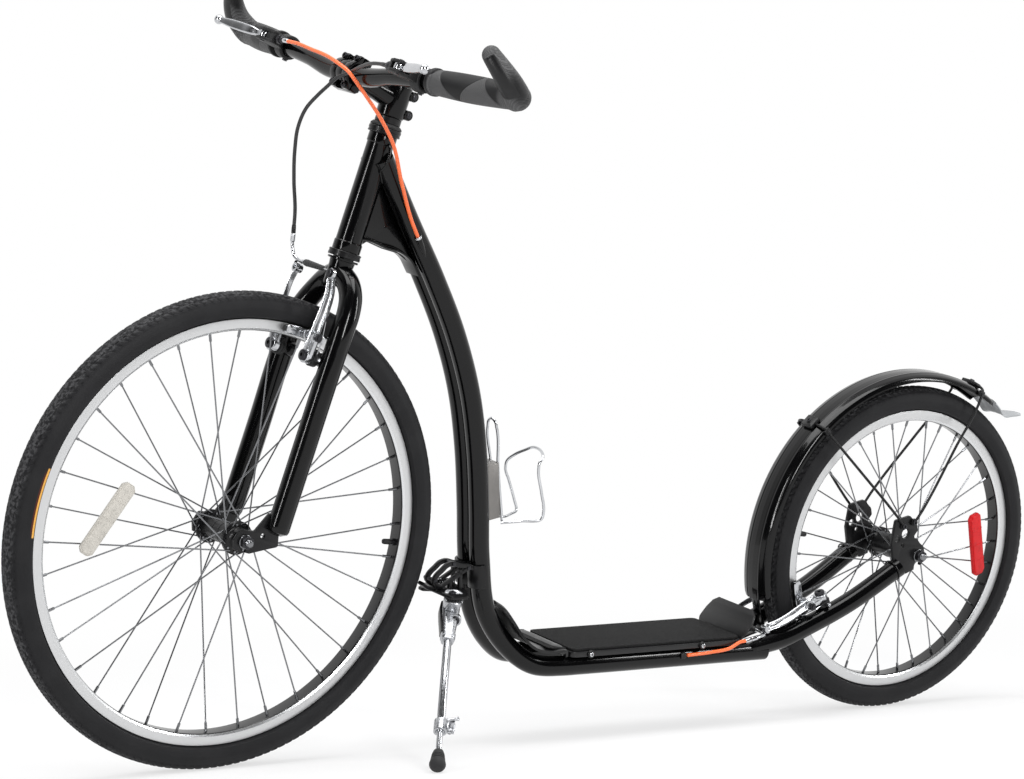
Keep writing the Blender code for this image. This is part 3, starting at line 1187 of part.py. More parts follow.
def build_stand():
    down, folded, hinge, length = stand_axes()
    leg = aim(STAND_PIVOT, down)
    knuckle_half = KNUCKLE_LENGTH / 2
    axis = aim(STAND_PIVOT, hinge)

    front, _ = tube_at(0.244)
    side_view = [(front.x, 0.2285), (front.x + 0.070, 0.2285), (front.x + 0.066, 0.2350), (front.x + 0.040, 0.2590), (front.x, 0.2660)]
    upright = Matrix.Rotation(math.radians(90), 4, "X")
    saddle = plate(side_view, -0.025, 0.025, upright)
    tubes = [sweep(main_tube_route(side), TUBE_RADIUS + GAP, 10) for side in (1, -1)]
    middle = box((front.x - 0.03, -0.030, 0.20), (front.x + TUBE_RADIUS * 0.4, 0.030, 0.30))
    saddle = cut(saddle, *tubes, middle)
    shelf = plate(rounded([(front.x + 0.022, -0.022), (front.x + 0.070, -0.022), (front.x + 0.074, -0.008), (front.x + 0.088, -0.006),
                           (front.x + 0.088, 0.006), (front.x + 0.076, 0.010), (front.x + 0.076, 0.060), (front.x + 0.050, 0.062),
                           (front.x + 0.030, 0.030)], 0.004, 2), 0.2255, 0.2300)
    rise = 0.2270 - STAND_PIVOT.z
    boss = lathe([(knuckle_half + GAP, 0.0105), (rise / hinge.z, 0.0120)], 12, axis)
    pin = lathe([(-knuckle_half - GAP - 0.004, 0.0072), (-knuckle_half - GAP, 0.0075), (-knuckle_half - GAP, 0.0042),
                 (knuckle_half + 0.004, 0.0042)], 12, axis)
    finish(fuse(saddle, shelf, boss, pin), "stand_bracket", black_steel(), "scooter")

    tube_end = 0.80 * length
    knuckle = lathe([(-knuckle_half, KNUCKLE_RADIUS - 0.001), (-knuckle_half + 0.002, KNUCKLE_RADIUS),
                     (knuckle_half - 0.002, KNUCKLE_RADIUS), (knuckle_half, KNUCKLE_RADIUS - 0.001)], 12, axis)
    socket = lathe([(0.004, 0.0105), (0.030, 0.0112), (0.050, 0.0118), (0.052, 0.0118)], 12, leg)
    shaft = lathe([(0.040, LEG_TUBE_RADIUS), (tube_end, LEG_TUBE_RADIUS)], 12, leg)
    hole = lathe([(-knuckle_half - 0.01, 0.0042 + GAP), (knuckle_half + 0.01, 0.0042 + GAP)], 12, axis)
    bore = lathe([(0.30 * length, INNER_LEG_RADIUS + GAP), (tube_end + 0.01, INNER_LEG_RADIUS + GAP)], 12, leg)
    finish(cut(fuse(knuckle, socket, shaft), hole, bore), "stand_leg", silver_alloy(), "stand")

    ring = lathe([(tube_end - 0.020, LEG_TUBE_RADIUS + 0.0035), (tube_end - 0.001, LEG_TUBE_RADIUS + 0.0035)], 12, leg)
    inside = lathe([(tube_end - 0.03, LEG_TUBE_RADIUS + GAP), (tube_end + 0.01, LEG_TUBE_RADIUS + GAP)], 12, leg)
    ears = box((0.009, -0.005, tube_end - 0.018), (0.024, 0.005, tube_end - 0.003), leg, 0.002)
    wing = rod(leg @ Vector((0.018, -0.020, tube_end - 0.0105)), leg @ Vector((0.018, 0.009, tube_end - 0.0105)), 0.0028, 8)
    paddle = box((0.010, -0.021, tube_end - 0.0135), (0.026, -0.017, tube_end - 0.0075), leg, 0.002)
    finish(fuse(cut(fuse(ring, ears), inside), wing, paddle), "stand_clamp", silver_alloy(), "stand")

    foot_start = length - 0.016
    inner = lathe([(0.45 * length, INNER_LEG_RADIUS), (length - 0.004, INNER_LEG_RADIUS)], 12, leg)
    finish(inner, "stand_inner_leg", silver_alloy(), "stand_slide")
    turns = [math.radians(a) for a in (0, 40, 80)]
    shape = [(foot_start, FOOT_RADIUS - 0.002), (foot_start + 0.002, FOOT_RADIUS)]
    shape += [(length + FOOT_RADIUS * math.sin(a), FOOT_RADIUS * math.cos(a)) for a in turns]
    foot = cut(lathe(shape, 12, leg), lathe([(foot_start - 0.01, INNER_LEG_RADIUS + GAP), (length - 0.004 + GAP, INNER_LEG_RADIUS + GAP)], 12, leg))
    finish(foot, "stand_foot", grip_rubber(), "stand_slide")


# Cables

def adjuster_end(side):
    """Where a casing meets its lever's adjuster, and the way it leaves."""
    place = lever_frame(side)
    start = place @ Vector((-0.0070, -(0.0385 + GAP) * side, 0))
    return start, place.to_3x3() @ Vector((0, -side, 0))


def noodle_end(frame, side):
    route = [frame @ Vector(point) for point in noodle_route(side)]
    way = (route[-1] - route[-2]).normalized()
    return route[-1] + way * (GAP + 0.0002), way


def build_cables():
    orange = material("orange_casing", (0.83, 0.24, 0.08), 0.35)
    start, way = adjuster_end(1)
    end, lift = noodle_end(front_brake()["frame"], -1)
    route = [start, start + way * 0.012, (1.0615, 0.0900, 0.9535), (1.0580, 0.0620, 0.9460), (1.0545, 0.0300, 0.9340),
             (1.0600, 0.0060, 0.9225), (1.0625, -0.0060, 0.9120), (1.0660, -0.0220, 0.8980), (1.0740, -0.0360, 0.8780),
             (1.0770, -0.0470, 0.8520), (1.0740, -0.0550, 0.8200), (1.0680, -0.0600, 0.7780), end + lift * 0.030, end]
    casing("front_brake_cable", route, black_plastic(), "steering")

    start, way = adjuster_end(-1)
    port, up = port_place()
    route = [start, start + way * 0.012, (1.0620, -0.0900, 0.9560), (1.0620, -0.0550, 0.9530), (1.0620, -0.0200, 0.9500),
             (1.0620, 0.0130, 0.9435), (1.0590, 0.0380, 0.9340), (1.0500, 0.0470, 0.9200), (1.0360, 0.0490, 0.9040),
             (1.0130, 0.0490, 0.8780), (0.9890, 0.0470, 0.8450), (0.9640, 0.0400, 0.7900), port + up * 0.024, port]
    casing("rear_brake_cable_front", route, orange, "steering")

    end, lift = noodle_end(rear_brake()["frame"], -1)
    wall = RAIL_SPREAD + TUBE_RADIUS + CASING_RADIUS + GAP
    route = [(0.418, wall, RAIL_HEIGHT + 0.006), (0.375, wall + 0.0008, RAIL_HEIGHT + 0.0080), (0.345, wall + 0.0028, RAIL_HEIGHT + 0.0120),
             (0.322, wall + 0.0025, RAIL_HEIGHT + 0.0210), end + lift * 0.010, end]
    casing("rear_brake_cable_rear", route, orange, "scooter")


def port_place():
    """Where the casing meets the port on the left main tube, and the way it leaves."""
    middle, way = tube_at(0.7225)
    front = Vector((way.z, 0, -way.x))
    reach = TUBE_RADIUS + CASING_RADIUS + 0.0010
    mouth = middle + Vector((0, TUBE_SPREAD + 0.95 * reach, 0)) + front * 0.30 * reach
    return mouth, (way + Vector((0, 0.10, 0))).normalized()


# The scooter

def build_bodies():
    down, _, hinge, _ = stand_axes()
    add_body("ground", Matrix(), None)
    add_body("scooter", Matrix(), "ground")
    add_body("steering", STEERING, "scooter")
    add_body("front_wheel", wheel_place(FRONT_AXLE), "steering")
    add_body("rear_wheel", wheel_place(REAR_AXLE), "scooter")
    for side, name in ((1, "left"), (-1, "right")):
        add_body(name + "_lever", lever_frame(side), "steering")
        for brake, frame, holder in (("front", front_brake(), "steering"), ("rear", rear_brake(), "scooter")):
            y = side if brake == "front" else -side
            place = frame["frame"] @ Matrix.Translation((0, y * POST_SPREAD, 0))
            add_body(brake + "_" + name + "_arm", place, holder)
    add_body("stand", aim(STAND_PIVOT, hinge), "scooter")
    add_body("stand_slide", aim(STAND_PIVOT, down), "stand")


def stand_on_ground():
    """Leans the scooter on its stand and puts the middle of its footprint at the origin."""
    bodies["scooter"][0].rotation_euler.x = -LEAN
    bpy.context.view_layer.update()
    graph = bpy.context.evaluated_depsgraph_get()
    points = []
    for obj in bpy.data.objects:
        if obj.type in ("MESH", "CURVE"):
            solid = obj.evaluated_get(graph)
            mesh = solid.to_mesh()
            points += [obj.matrix_world @ vertex.co for vertex in mesh.vertices]
            solid.to_mesh_clear()
    low = [min(point[i] for point in points) for i in range(3)]
    high = [max(point[i] for point in points) for i in range(3)]
    bodies["ground"][0].location = (-(low[0] + high[0]) / 2, -(low[1] + high[1]) / 2, -low[2])
    bpy.context.view_layer.update()


def build():
    for item in list(bpy.data.objects):
        bpy.data.objects.remove(item, do_unlink=True)
    build_bodies()
    build_frame()
    build_headset()
    build_fork()
    build_stem()
    build_bar()
    build_levers()
    build_brake("front", front_brake(), -1)
    build_brake("rear", rear_brake(), -1)
    clear = (FRONT_REFLECTOR_ANGLE, FRONT_REFLECTOR_RADIUS, FRONT_REFLECTOR_LENGTH, FRONT_REFLECTOR_TILT, (0.8, 0.8, 0.78))
    build_wheel("front", FRONT_AXLE, FRONT_BEAD_RADIUS, 38, FRONT_VALVE_ANGLE, "steering", clear)
    red = (REAR_REFLECTOR_ANGLE, REAR_REFLECTOR_RADIUS, REAR_REFLECTOR_LENGTH, REAR_REFLECTOR_TILT, (0.75, 0.03, 0.03))
    build_wheel("rear", REAR_AXLE, REAR_BEAD_RADIUS, 32, REAR_VALVE_ANGLE, "scooter", red)
    build_deck()
    finish(front_guard(), "deck_front_guard", black_plastic(), "scooter")
    finish(rear_guard(), "deck_rear_guard", black_plastic(), "scooter")
    build_cage()
    build_fender()
    finish(fender_stay(FRONT_CLAMP_ANGLE, FRONT_EYE), "fender_stay_front", black_steel(), "scooter")
    finish(fender_stay(REAR_CLAMP_ANGLE, REAR_EYE), "fender_stay_rear", black_steel(), "scooter")
    build_stand()
    build_cables()
    stand_on_ground()


build()
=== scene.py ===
import json
import math

import bpy
import numpy as np
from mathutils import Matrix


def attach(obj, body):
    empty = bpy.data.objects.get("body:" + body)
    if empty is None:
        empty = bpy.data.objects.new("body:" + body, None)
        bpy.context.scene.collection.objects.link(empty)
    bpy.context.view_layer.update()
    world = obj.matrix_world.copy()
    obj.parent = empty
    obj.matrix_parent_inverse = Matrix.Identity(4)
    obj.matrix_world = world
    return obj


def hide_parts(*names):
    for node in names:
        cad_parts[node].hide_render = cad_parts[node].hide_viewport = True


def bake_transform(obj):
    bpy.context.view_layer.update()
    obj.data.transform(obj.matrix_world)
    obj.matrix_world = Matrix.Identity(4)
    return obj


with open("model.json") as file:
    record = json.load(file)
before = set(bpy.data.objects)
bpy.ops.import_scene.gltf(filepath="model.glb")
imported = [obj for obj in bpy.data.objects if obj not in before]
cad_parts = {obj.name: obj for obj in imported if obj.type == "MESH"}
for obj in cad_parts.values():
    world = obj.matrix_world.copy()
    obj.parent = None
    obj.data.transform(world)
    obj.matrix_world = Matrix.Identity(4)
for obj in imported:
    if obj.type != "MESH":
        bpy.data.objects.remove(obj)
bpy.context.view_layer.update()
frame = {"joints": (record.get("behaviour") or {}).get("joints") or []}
joints = {joint["name"]: joint for joint in frame["joints"]}
print("frame loaded")


# Places. Every place is a 4 x 4 matrix, and at() carries a grid of points through it.

def placeOf(origin, x, y, z):
    matrix = np.eye(4)
    matrix[:3, 0], matrix[:3, 1], matrix[:3, 2], matrix[:3, 3] = x, y, z, origin
    return matrix


def at(place, points):
    points = np.asarray(points, float)
    return points @ place[:3, :3].T + place[:3, 3]


def unit(vectors):
    vectors = np.asarray(vectors, float)
    return vectors / np.maximum(np.linalg.norm(vectors, axis=-1, keepdims=True), 1e-12)


def shift(x, y, z):
    return placeOf((x, y, z), (1, 0, 0), (0, 1, 0), (0, 0, 1))


def turn(axis, degrees):
    # rotation about one of the place's own axes: cos and sin in the plane of the other two
    c, s = math.cos(math.radians(degrees)), math.sin(math.radians(degrees))
    return {"x": placeOf((0, 0, 0), (1, 0, 0), (0, c, s), (0, -s, c)),
            "y": placeOf((0, 0, 0), (c, 0, -s), (0, 1, 0), (s, 0, c)),
            "z": placeOf((0, 0, 0), (c, s, 0), (-s, c, 0), (0, 0, 1))}[axis]


def aim(origin, direction, up=(0, 1, 0)):
    z = unit(direction)
    x = np.cross(up, z)
    if np.linalg.norm(x) < 1e-6:
        x = np.array((1.0, 0, 0))
    x = unit(x)
    return placeOf(origin, x, np.cross(z, x), z)


across = unit(joints["rear_wheel_spin"]["axis"])           # to the rider's left
forward = np.array((1.0, 0, 0))
upright = np.cross(forward, across)
wheelSizes = {"rearRadius": 0.2455, "frontRadius": 0.322, "tyreWidth": 0.044, "rimWidth": 0.027}
rearAxle = np.array(joints["rear_wheel_spin"]["pos_m"])
frontAxle = np.array(joints["front_wheel_spin"]["pos_m"])
scooter = placeOf(rearAxle - upright * wheelSizes["rearRadius"], forward, across, upright)
headAxis = unit(joints["steering"]["axis"])
steering = placeOf(joints["steering"]["pos_m"], np.cross(across, headAxis), across, headAxis)
rearWheel = placeOf(rearAxle, forward, np.cross(across, forward), across)      # Z along the axle to the left, Y down
frontWheel = placeOf(frontAxle, forward, np.cross(across, forward), across)


# Shapes. A skin is a grid of points (rows, columns, xyz) with the quads between them.

def skin(grid, loopAlong=False, caps=True):
    # every row is a closed loop; the signed volume of all faces says whether they point outwards
    grid = np.asarray(grid, float)
    rows, columns = grid.shape[:2]
    index = np.arange(rows * columns).reshape(rows, columns)
    i, j = np.arange(rows if loopAlong else rows - 1), np.arange(columns)
    here, ahead = index[i], index[(i + 1) % rows]
    quads = np.stack([here, np.roll(here, -1, 1), np.roll(ahead, -1, 1), ahead], -1).reshape(-1, 4)
    u = np.concatenate([[0], np.cumsum(np.linalg.norm(np.roll(grid, -1, 0) - grid, axis=2).mean(1))])
    v = np.concatenate([[0], np.cumsum(np.linalg.norm(np.roll(grid, -1, 1) - grid, axis=2).mean(0))])
    ii, jj = np.meshgrid(i, j, indexing="ij")
    corners = [np.stack([u[ii + p], v[jj + q]], -1) for p, q in ((0, 0), (0, 1), (1, 1), (1, 0))]
    uv = np.stack(corners, 2).reshape(-1, 2)
    ends = [index[0][::-1].tolist(), index[-1].tolist()] if caps and not loopAlong else []
    points = grid.reshape(-1, 3)
    p = points - points.mean(0)
    volume = sum(np.einsum("ij,ij->i", p[quads[:, 0]], np.cross(p[quads[:, k]], p[quads[:, k + 1]])).sum()
                 for k in (1, 2))
    for end in ends:
        q = p[end]
        volume += np.einsum("ij,ij->i", np.broadcast_to(q[0], q[1:-1].shape), np.cross(q[1:-1], q[2:])).sum()
    if volume < 0:
        quads = quads[:, ::-1]
        uv = uv.reshape(-1, 4, 2)[:, ::-1].reshape(-1, 2)
        ends = [end[::-1] for end in ends]
    return {"points": points, "quads": quads, "ends": ends, "uv": uv}


def makePiece(name, parts, body, nodes, slot, sharp=38):
    # parts are (skin, material) pairs that become one mesh; edges sharper than so many degrees stay crisp
    points, faces, uvs, slots, materials = [], [], [], [], []
    base = 0
    for part, material in parts:
        if material not in materials:
            materials.append(material)
        faces += (part["quads"] + base).tolist() + [[k + base for k in end] for end in part["ends"]]
        slots += [materials.index(material)] * (len(part["quads"]) + len(part["ends"]))
        uvs.append(part["uv"])
        uvs += [np.zeros((len(end), 2)) for end in part["ends"]]
        points.append(part["points"])
        base += len(part["points"])
    mesh = bpy.data.meshes.new(name)
    mesh.from_pydata(np.concatenate(points).tolist(), [], faces)
    layer = mesh.uv_layers.new(name="UVMap")
    layer.data.foreach_set("uv", np.concatenate(uvs).ravel())
    for material in materials:
        mesh.materials.append(material)
    mesh.polygons.foreach_set("material_index", slots)
    mesh.shade_smooth()
    mesh.set_sharp_from_angle(angle=math.radians(sharp))
    piece = bpy.data.objects.new(name, mesh)
    bpy.context.scene.collection.objects.link(piece)
    if isinstance(body, tuple):
        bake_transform(piece)
    else:
        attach(piece, body)
    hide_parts(*nodes)


def smoothPath(points, spacing=0.004):
    # a cubic Hermite curve; the slope at each point is the mean of its two spans', weighted by their lengths
    p = np.asarray(points, float)
    spans = np.linalg.norm(np.diff(p, axis=0), axis=1)
    slopes = np.diff(p, axis=0) / spans[:, None]
    ways = np.empty_like(p)
    ways[0], ways[-1] = slopes[0], slopes[-1]
    share = (spans[1:] / (spans[1:] + spans[:-1]))[:, None]
    ways[1:-1] = slopes[:-1] * share + slopes[1:] * (1 - share)
    reach = np.concatenate([[0], np.cumsum(spans)])
    t = np.linspace(0, reach[-1], max(8, int(reach[-1] / spacing) + 1))
    k = np.clip(np.searchsorted(reach, t, "right") - 1, 0, len(spans) - 1)
    s = ((t - reach[k]) / spans[k])[:, None]
    h = spans[k][:, None]
    return ((2 * s**3 - 3 * s**2 + 1) * p[k] + (3 * s**2 - 2 * s**3) * p[k + 1]
            + (s**3 - 2 * s**2 + s) * h * ways[k] + (s**3 - s**2) * h * ways[k + 1])


def lengthAlong(path):
    return np.concatenate([[0], np.cumsum(np.linalg.norm(np.diff(path, axis=0), axis=1))])


def mirrored(points, x=-1, y=1):
    # the mirror image, in reverse order
    return [(x * a, y * b) for a, b in points[::-1]]


def turnsOf(sides):
    # angles of so many points on a circle
    return 2 * math.pi * np.arange(sides) / sides


def ring(sides):
    a = turnsOf(sides)
    return np.stack([np.cos(a), np.sin(a)], -1)


def carry(path, outline, up=(0, 1, 0), place=None, scale=1.0):
    # an outline (columns, 2) or one for each row (rows, columns, 2), carried along a path; its x lies across up
    path, outline = np.asarray(path, float), np.asarray(outline, float)
    ahead = unit(np.gradient(path, axis=0))
    side = unit(np.cross(np.broadcast_to(np.asarray(up, float), ahead.shape), ahead))
    over = np.cross(ahead, side)
    if outline.ndim == 2:
        outline = np.broadcast_to(outline, (len(path),) + outline.shape)
    outline = outline * np.reshape(scale, (-1, 1, 1))
    grid = path[:, None] + side[:, None] * outline[..., :1] + over[:, None] * outline[..., 1:]
    return grid if place is None else at(place, grid)


def tube(path, radius, sides=24, up=(0, 1, 0), place=None):
    # a round tube: centre plus radius times cosine and sine across the path
    return skin(carry(path, ring(sides), up, place, radius))


def hexagon(a):
    # the radius of a hexagon at an angle, as a share of its corners' radius
    return math.cos(math.pi / 6) / np.cos((a + math.pi / 6) % (math.pi / 3) - math.pi / 6)


def lathe(profile, sides, place, closed=False, cut=hexagon):
    # a turned piece: each (height, radius) becomes a circle round Z; a third number, 0 to 1, draws it towards the cut
    profile = np.asarray(profile, float)
    a = turnsOf(sides)
    radius = np.repeat(profile[:, 1:2], sides, 1)
    if profile.shape[1] > 2:
        radius = radius * (1 + profile[:, 2:3] * (cut(a)[None] - 1))
    grid = np.stack([radius * np.cos(a), radius * np.sin(a), np.repeat(profile[:, :1], sides, 1)], -1)
    return skin(at(place, grid), loopAlong=closed)


def fillet(corners, radius, steps=4, closed=False):
    # each corner becomes an arc-like curve: a quadratic curve from a point before it to a point after it
    p = np.asarray(corners, float)
    before, after = np.roll(p, 1, 0), np.roll(p, -1, 0)
    inLength = np.linalg.norm(before - p, axis=1)
    outLength = np.linalg.norm(after - p, axis=1)
    angle = np.arccos(np.clip(np.einsum("ij,ij->i", unit(before - p), unit(after - p)), -0.999, 0.9999))
    reach = np.minimum(np.minimum(radius / np.tan(angle / 2), 0.46 * inLength), 0.46 * outLength)[:, None]
    start, end = p + unit(before - p) * reach, p + unit(after - p) * reach
    t = np.linspace(0, 1, steps + 1)[None, :, None]
    curve = (1 - t) ** 2 * start[:, None] + 2 * t * (1 - t) * p[:, None] + t**2 * end[:, None]
    if closed:
        return curve.reshape(-1, p.shape[1])
    return np.concatenate([p[:1], curve[1:-1].reshape(-1, p.shape[1]), p[-1:]])


def inset(outline, distance):
    # the outline moved inwards: each point goes along the mean of its two edges' normals
    edge = unit(np.roll(outline, -1, 0) - outline)
    normal = np.stack([-edge[:, 1], edge[:, 0]], -1)
    area = 0.5 * (outline[:, 0] * np.roll(outline[:, 1], -1) - np.roll(outline[:, 0], -1) * outline[:, 1]).sum()
    both = normal + np.roll(normal, 1, 0)
    return outline + both / np.maximum((both**2).sum(1, keepdims=True), 0.6) * 2 * distance * (1 if area > 0 else -1)


def plate(outline, low, high, place=np.eye(4), bevel=0.0008, crown=0.0):
    # a flat piece with softened edges: the outline at four heights, drawn in at both faces
    outline = np.asarray(outline, float)
    levels = [(low, bevel), (low + 0.3 * bevel, 0.3 * bevel), (low + bevel, 0), (high - bevel, 0),
              (high - 0.3 * bevel, 0.3 * bevel), (high, bevel)]
    if crown:
        levels += [(high + 0.6 * crown, bevel + 1.2 * crown), (high + crown, bevel + 3 * crown)]
    grid = [np.column_stack([inset(outline, d) if d else outline, np.full(len(outline), z)]) for z, d in levels]
    return skin(at(place, np.array(grid)))


def block(low, high, place, bevel):
    (x0, y0, z0), (x1, y1, z1) = low, high
    outline = fillet([(x0, y0), (x1, y0), (x1, y1), (x0, y1)], bevel, 3, True)
    return plate(outline, z0, z1, place, min(bevel, 0.4 * (z1 - z0)))


def screwHead(place, radius, height, drive=0.5):
    # a screw's head from below upwards; the drive is the share of it that a hexagonal recess takes
    e = 0.12 * radius
    profile = [(-0.001, radius * 0.96, 0), (0, radius, 0), (height - e, radius, 0),
               (height - 0.3 * e, radius - 0.3 * e, 0), (height, radius - e, 0)]
    if drive:
        profile += [(height, drive * radius, 1), (height - 0.05 * radius, drive * radius * 0.97, 1),
                    (height * 0.35, drive * radius * 0.97, 1)]
    return lathe(profile, 24, place)


def ball(centre, radius, sides):
    a = np.linspace(-1.48, 1.48, sides // 2)
    return lathe(np.stack([radius * np.sin(a), radius * np.cos(a)], -1), sides,
                 placeOf(centre, (1, 0, 0), (0, 1, 0), (0, 0, 1)))


def weldBead(path, size, up=(0, 1, 0)):
    # a weld seam: a low tube whose radius swells and shrinks along its path, like laid scales
    pitch, swell = 0.0035, 0.16
    return tube(path, size * (1 + swell * np.abs(np.sin(math.pi * lengthAlong(path) / pitch))), 10, up)


def roundPath(radius, place):
    # once round the place's Z
    a = np.radians(np.linspace(0, 360, 50))
    return at(place, np.stack([radius * np.cos(a), radius * np.sin(a), 0 * a], -1))


# Shader words. A wire is one socket; sums and products of wires add Math nodes.

class Wire:
    def __init__(self, book, socket):
        self.book, self.socket = book, socket

    def math(self, operation, *others):
        return self.book.node("ShaderNodeMath", {"operation": operation}, dict(enumerate((self,) + others)))

    def __add__(self, other): return self.math("ADD", other)
    def __radd__(self, other): return self.math("ADD", other)
    def __sub__(self, other): return self.math("SUBTRACT", other)
    def __rsub__(self, other): return self.book.node("ShaderNodeMath", {"operation": "SUBTRACT"}, {0: other, 1: self})
    def __mul__(self, other): return self.math("MULTIPLY", other)
    def __rmul__(self, other): return self.math("MULTIPLY", other)

    def step(self, low, high):
        # smooth rise from 0 at low to 1 at high
        return self.book.node("ShaderNodeMapRange", {"interpolation_type": "SMOOTHSTEP"},
                              {0: self, 1: low, 2: high, 3: 0.0, 4: 1.0})


class Book:
    # one material's node tree; spot is the place on the object
    def __init__(self, name, **fixed):
        self.material = bpy.data.materials.new(name)
        self.material.use_nodes = True
        self.nodes, self.links = self.material.node_tree.nodes, self.material.node_tree.links
        self.shader = self.nodes["Principled BSDF"]
        for socket, value in fixed.items():
            self.put(self.shader.inputs[socket.replace("_", " ")], value)
        self.spot = self.node("ShaderNodeTexCoord", {}, {}, "Object")

    def put(self, socket, value):
        if isinstance(value, Wire):
            self.links.new(value.socket, socket)
        elif socket.type == "RGBA":
            socket.default_value = (*value[:3], 1.0)
        else:
            socket.default_value = value

    def node(self, kind, settings, inputs, output=0):
        made = self.nodes.new(kind)
        for key, value in settings.items():
            setattr(made, key, value)
        for key, value in inputs.items():
            self.put(made.inputs[key], value)
        return Wire(self, made.outputs[output])

    def noise(self, scale, detail, where=None):
        return self.node("ShaderNodeTexNoise", {},
                         {"Vector": where or self.spot, "Scale": scale, "Detail": detail, "Roughness": 0.55})

    def cells(self, scale, feature="F1"):
        return self.node("ShaderNodeTexVoronoi", {"feature": feature}, {"Vector": self.spot, "Scale": scale},
                         "Distance")

    def stretch(self, scale):
        return self.node("ShaderNodeMapping", {}, {"Vector": self.spot, "Scale": scale})

    def along(self, axis, centre=(0, 0, 0)):
        # how far a point lies along a direction from a centre
        moved = self.node("ShaderNodeVectorMath", {"operation": "SUBTRACT"}, {0: self.spot, 1: tuple(centre)})
        return self.node("ShaderNodeVectorMath", {"operation": "DOT_PRODUCT"}, {0: moved, 1: tuple(axis)}, "Value")

    def blend(self, share, first, second):
        return self.node("ShaderNodeMix", {"data_type": "RGBA"}, {"Factor": share, 6: first, 7: second}, 2)

    def bump(self, height, distance, strength):
        return self.node("ShaderNodeBump", {}, {"Height": height, "Distance": distance, "Strength": strength})

    def drive(self, **wires):
        for socket, wire in wires.items():
            self.put(self.shader.inputs[socket.replace("_", " ")], wire)
        return self.material


# Finishes

def paint(name, colour, roughness=0.16, level=0.22, coat=0.25):
    # sprayed and lacquered: a faint ripple in the lacquer, dust and wiping marks in the gloss
    book = Book(name, Specular_IOR_Level=level, Coat_Weight=coat, Coat_Roughness=0.03, IOR=1.45)
    ripple = book.noise(90, 2)
    cloud = book.noise(9, 4)
    wipe = book.noise(60, 3, where=book.stretch((1, 1, 9)))
    dust = book.noise(900, 2).step(0.66, 0.8) * cloud.step(0.4, 0.7)
    base = book.blend(dust * 0.35, colour, [min(1, c * 2.2 + 0.005) for c in colour])
    rough = roughness + (cloud - 0.5) * 0.14 + wipe.step(0.5, 0.8) * 0.06 + dust * 0.2
    return book.drive(Base_Color=base, Roughness=rough, Normal=book.bump(ripple, 0.00006, 0.35))


def steel(name, colour, roughness, metallic=1.0, grain=260, brush=(1, 1, 14)):
    # drawn or forged metal: fine streaks one way, soft blotches, a few darker specks
    book = Book(name)
    streak = book.noise(grain, 3, where=book.stretch(brush))
    blotch = book.noise(28, 4)
    speck = book.noise(700, 2).step(0.68, 0.78)
    tone = book.blend(blotch.step(0.3, 0.75), [c * 0.86 for c in colour], colour)
    tone = book.blend(speck * 0.5, tone, [c * 0.35 for c in colour])
    return book.drive(Base_Color=tone, Metallic=metallic - speck * 0.3,
                      Roughness=roughness + (streak - 0.5) * 0.18 + speck * 0.2,
                      Normal=book.bump(streak, 0.00004, 0.5))


def moulded(name, colour, roughness=0.5, grain=1600, depth=0.00006):
    # moulded plastic: fine pebbled skin with slightly glossier worn patches
    book = Book(name, Specular_IOR_Level=0.4)
    pebble = book.cells(grain)
    wear = book.noise(45, 4).step(0.5, 0.75)
    tone = book.blend(wear, colour, [c * 1.5 + 0.004 for c in colour])
    return book.drive(Base_Color=tone, Roughness=roughness - wear * 0.12 + pebble * 0.12,
                      Normal=book.bump(pebble, depth, 0.7))


def rubber(name, colour, roughness=0.62):
    # cured rubber: matt with a fine grain, a pale bloom in the hollows
    book = Book(name, Specular_IOR_Level=0.35, Sheen_Weight=0.06, Sheen_Roughness=0.5)
    fine = book.noise(1200, 3)
    bloom = book.noise(18, 5).step(0.4, 0.8)
    tone = book.blend(bloom * 0.6, colour, [c * 1.35 + 0.006 for c in colour])
    return book.drive(Base_Color=tone, Roughness=roughness + (fine - 0.5) * 0.2 + bloom * 0.08,
                      Normal=book.bump(fine, 0.00007, 0.6))


def tyreRubber(name, wheel, radius, stripe):
    # darker tread, a sidewall with fine moulded rings, and at one place a thin printed line
    book = Book(name, Specular_IOR_Level=0.16, Sheen_Weight=0.02, Sheen_Roughness=0.5)
    x, y = book.along(wheel[:3, 0], wheel[:3, 3]), book.along(wheel[:3, 1], wheel[:3, 3])
    reach = (x * x + y * y).math("SQRT")
    fine = book.noise(1500, 3)
    dirt = book.noise(26, 5)
    rings = (reach * 2600).math("SINE")
    wall = 1 - reach.step(radius - 0.012, radius - 0.008)
    tone = book.blend(dirt.step(0.35, 0.8) * 0.7, (0.008, 0.008, 0.009), (0.019, 0.019, 0.02))
    tone = book.blend(wall * 0.45, tone, (0.014, 0.014, 0.015))
    worn = reach.step(radius - 0.0075, radius - 0.003) * book.noise(210, 3).step(0.42, 0.62)
    tone = book.blend(worn * 0.7, tone, (0.066, 0.066, 0.069))
    if stripe:
        angle = y.math("ARCTAN2", x) * (180 / math.pi)
        low, high, inner, outer = stripe
        band = angle.step(low, low + 0.4) * (1 - angle.step(high - 0.4, high))
        band = band * reach.step(inner - 0.0004, inner) * (1 - reach.step(outer, outer + 0.0004))
        glow = angle.step(low, low + 3) * (1 - angle.step(high - 3, high))
        glow = glow * reach.step(outer - 0.0004, outer) * (1 - reach.step(outer + 0.0024, outer + 0.0036))
        tone = book.blend(glow * 0.8, tone, (0.085, 0.016, 0.008))
        tone = book.blend(band, tone, (0.66, 0.34, 0.07))
    height = fine * 0.6 + rings * wall * 0.5
    return book.drive(Base_Color=tone, Roughness=0.62 + (fine - 0.5) * 0.2 - wall * 0.1 + dirt * 0.1,
                      Normal=book.bump(height, 0.00009, 0.55))


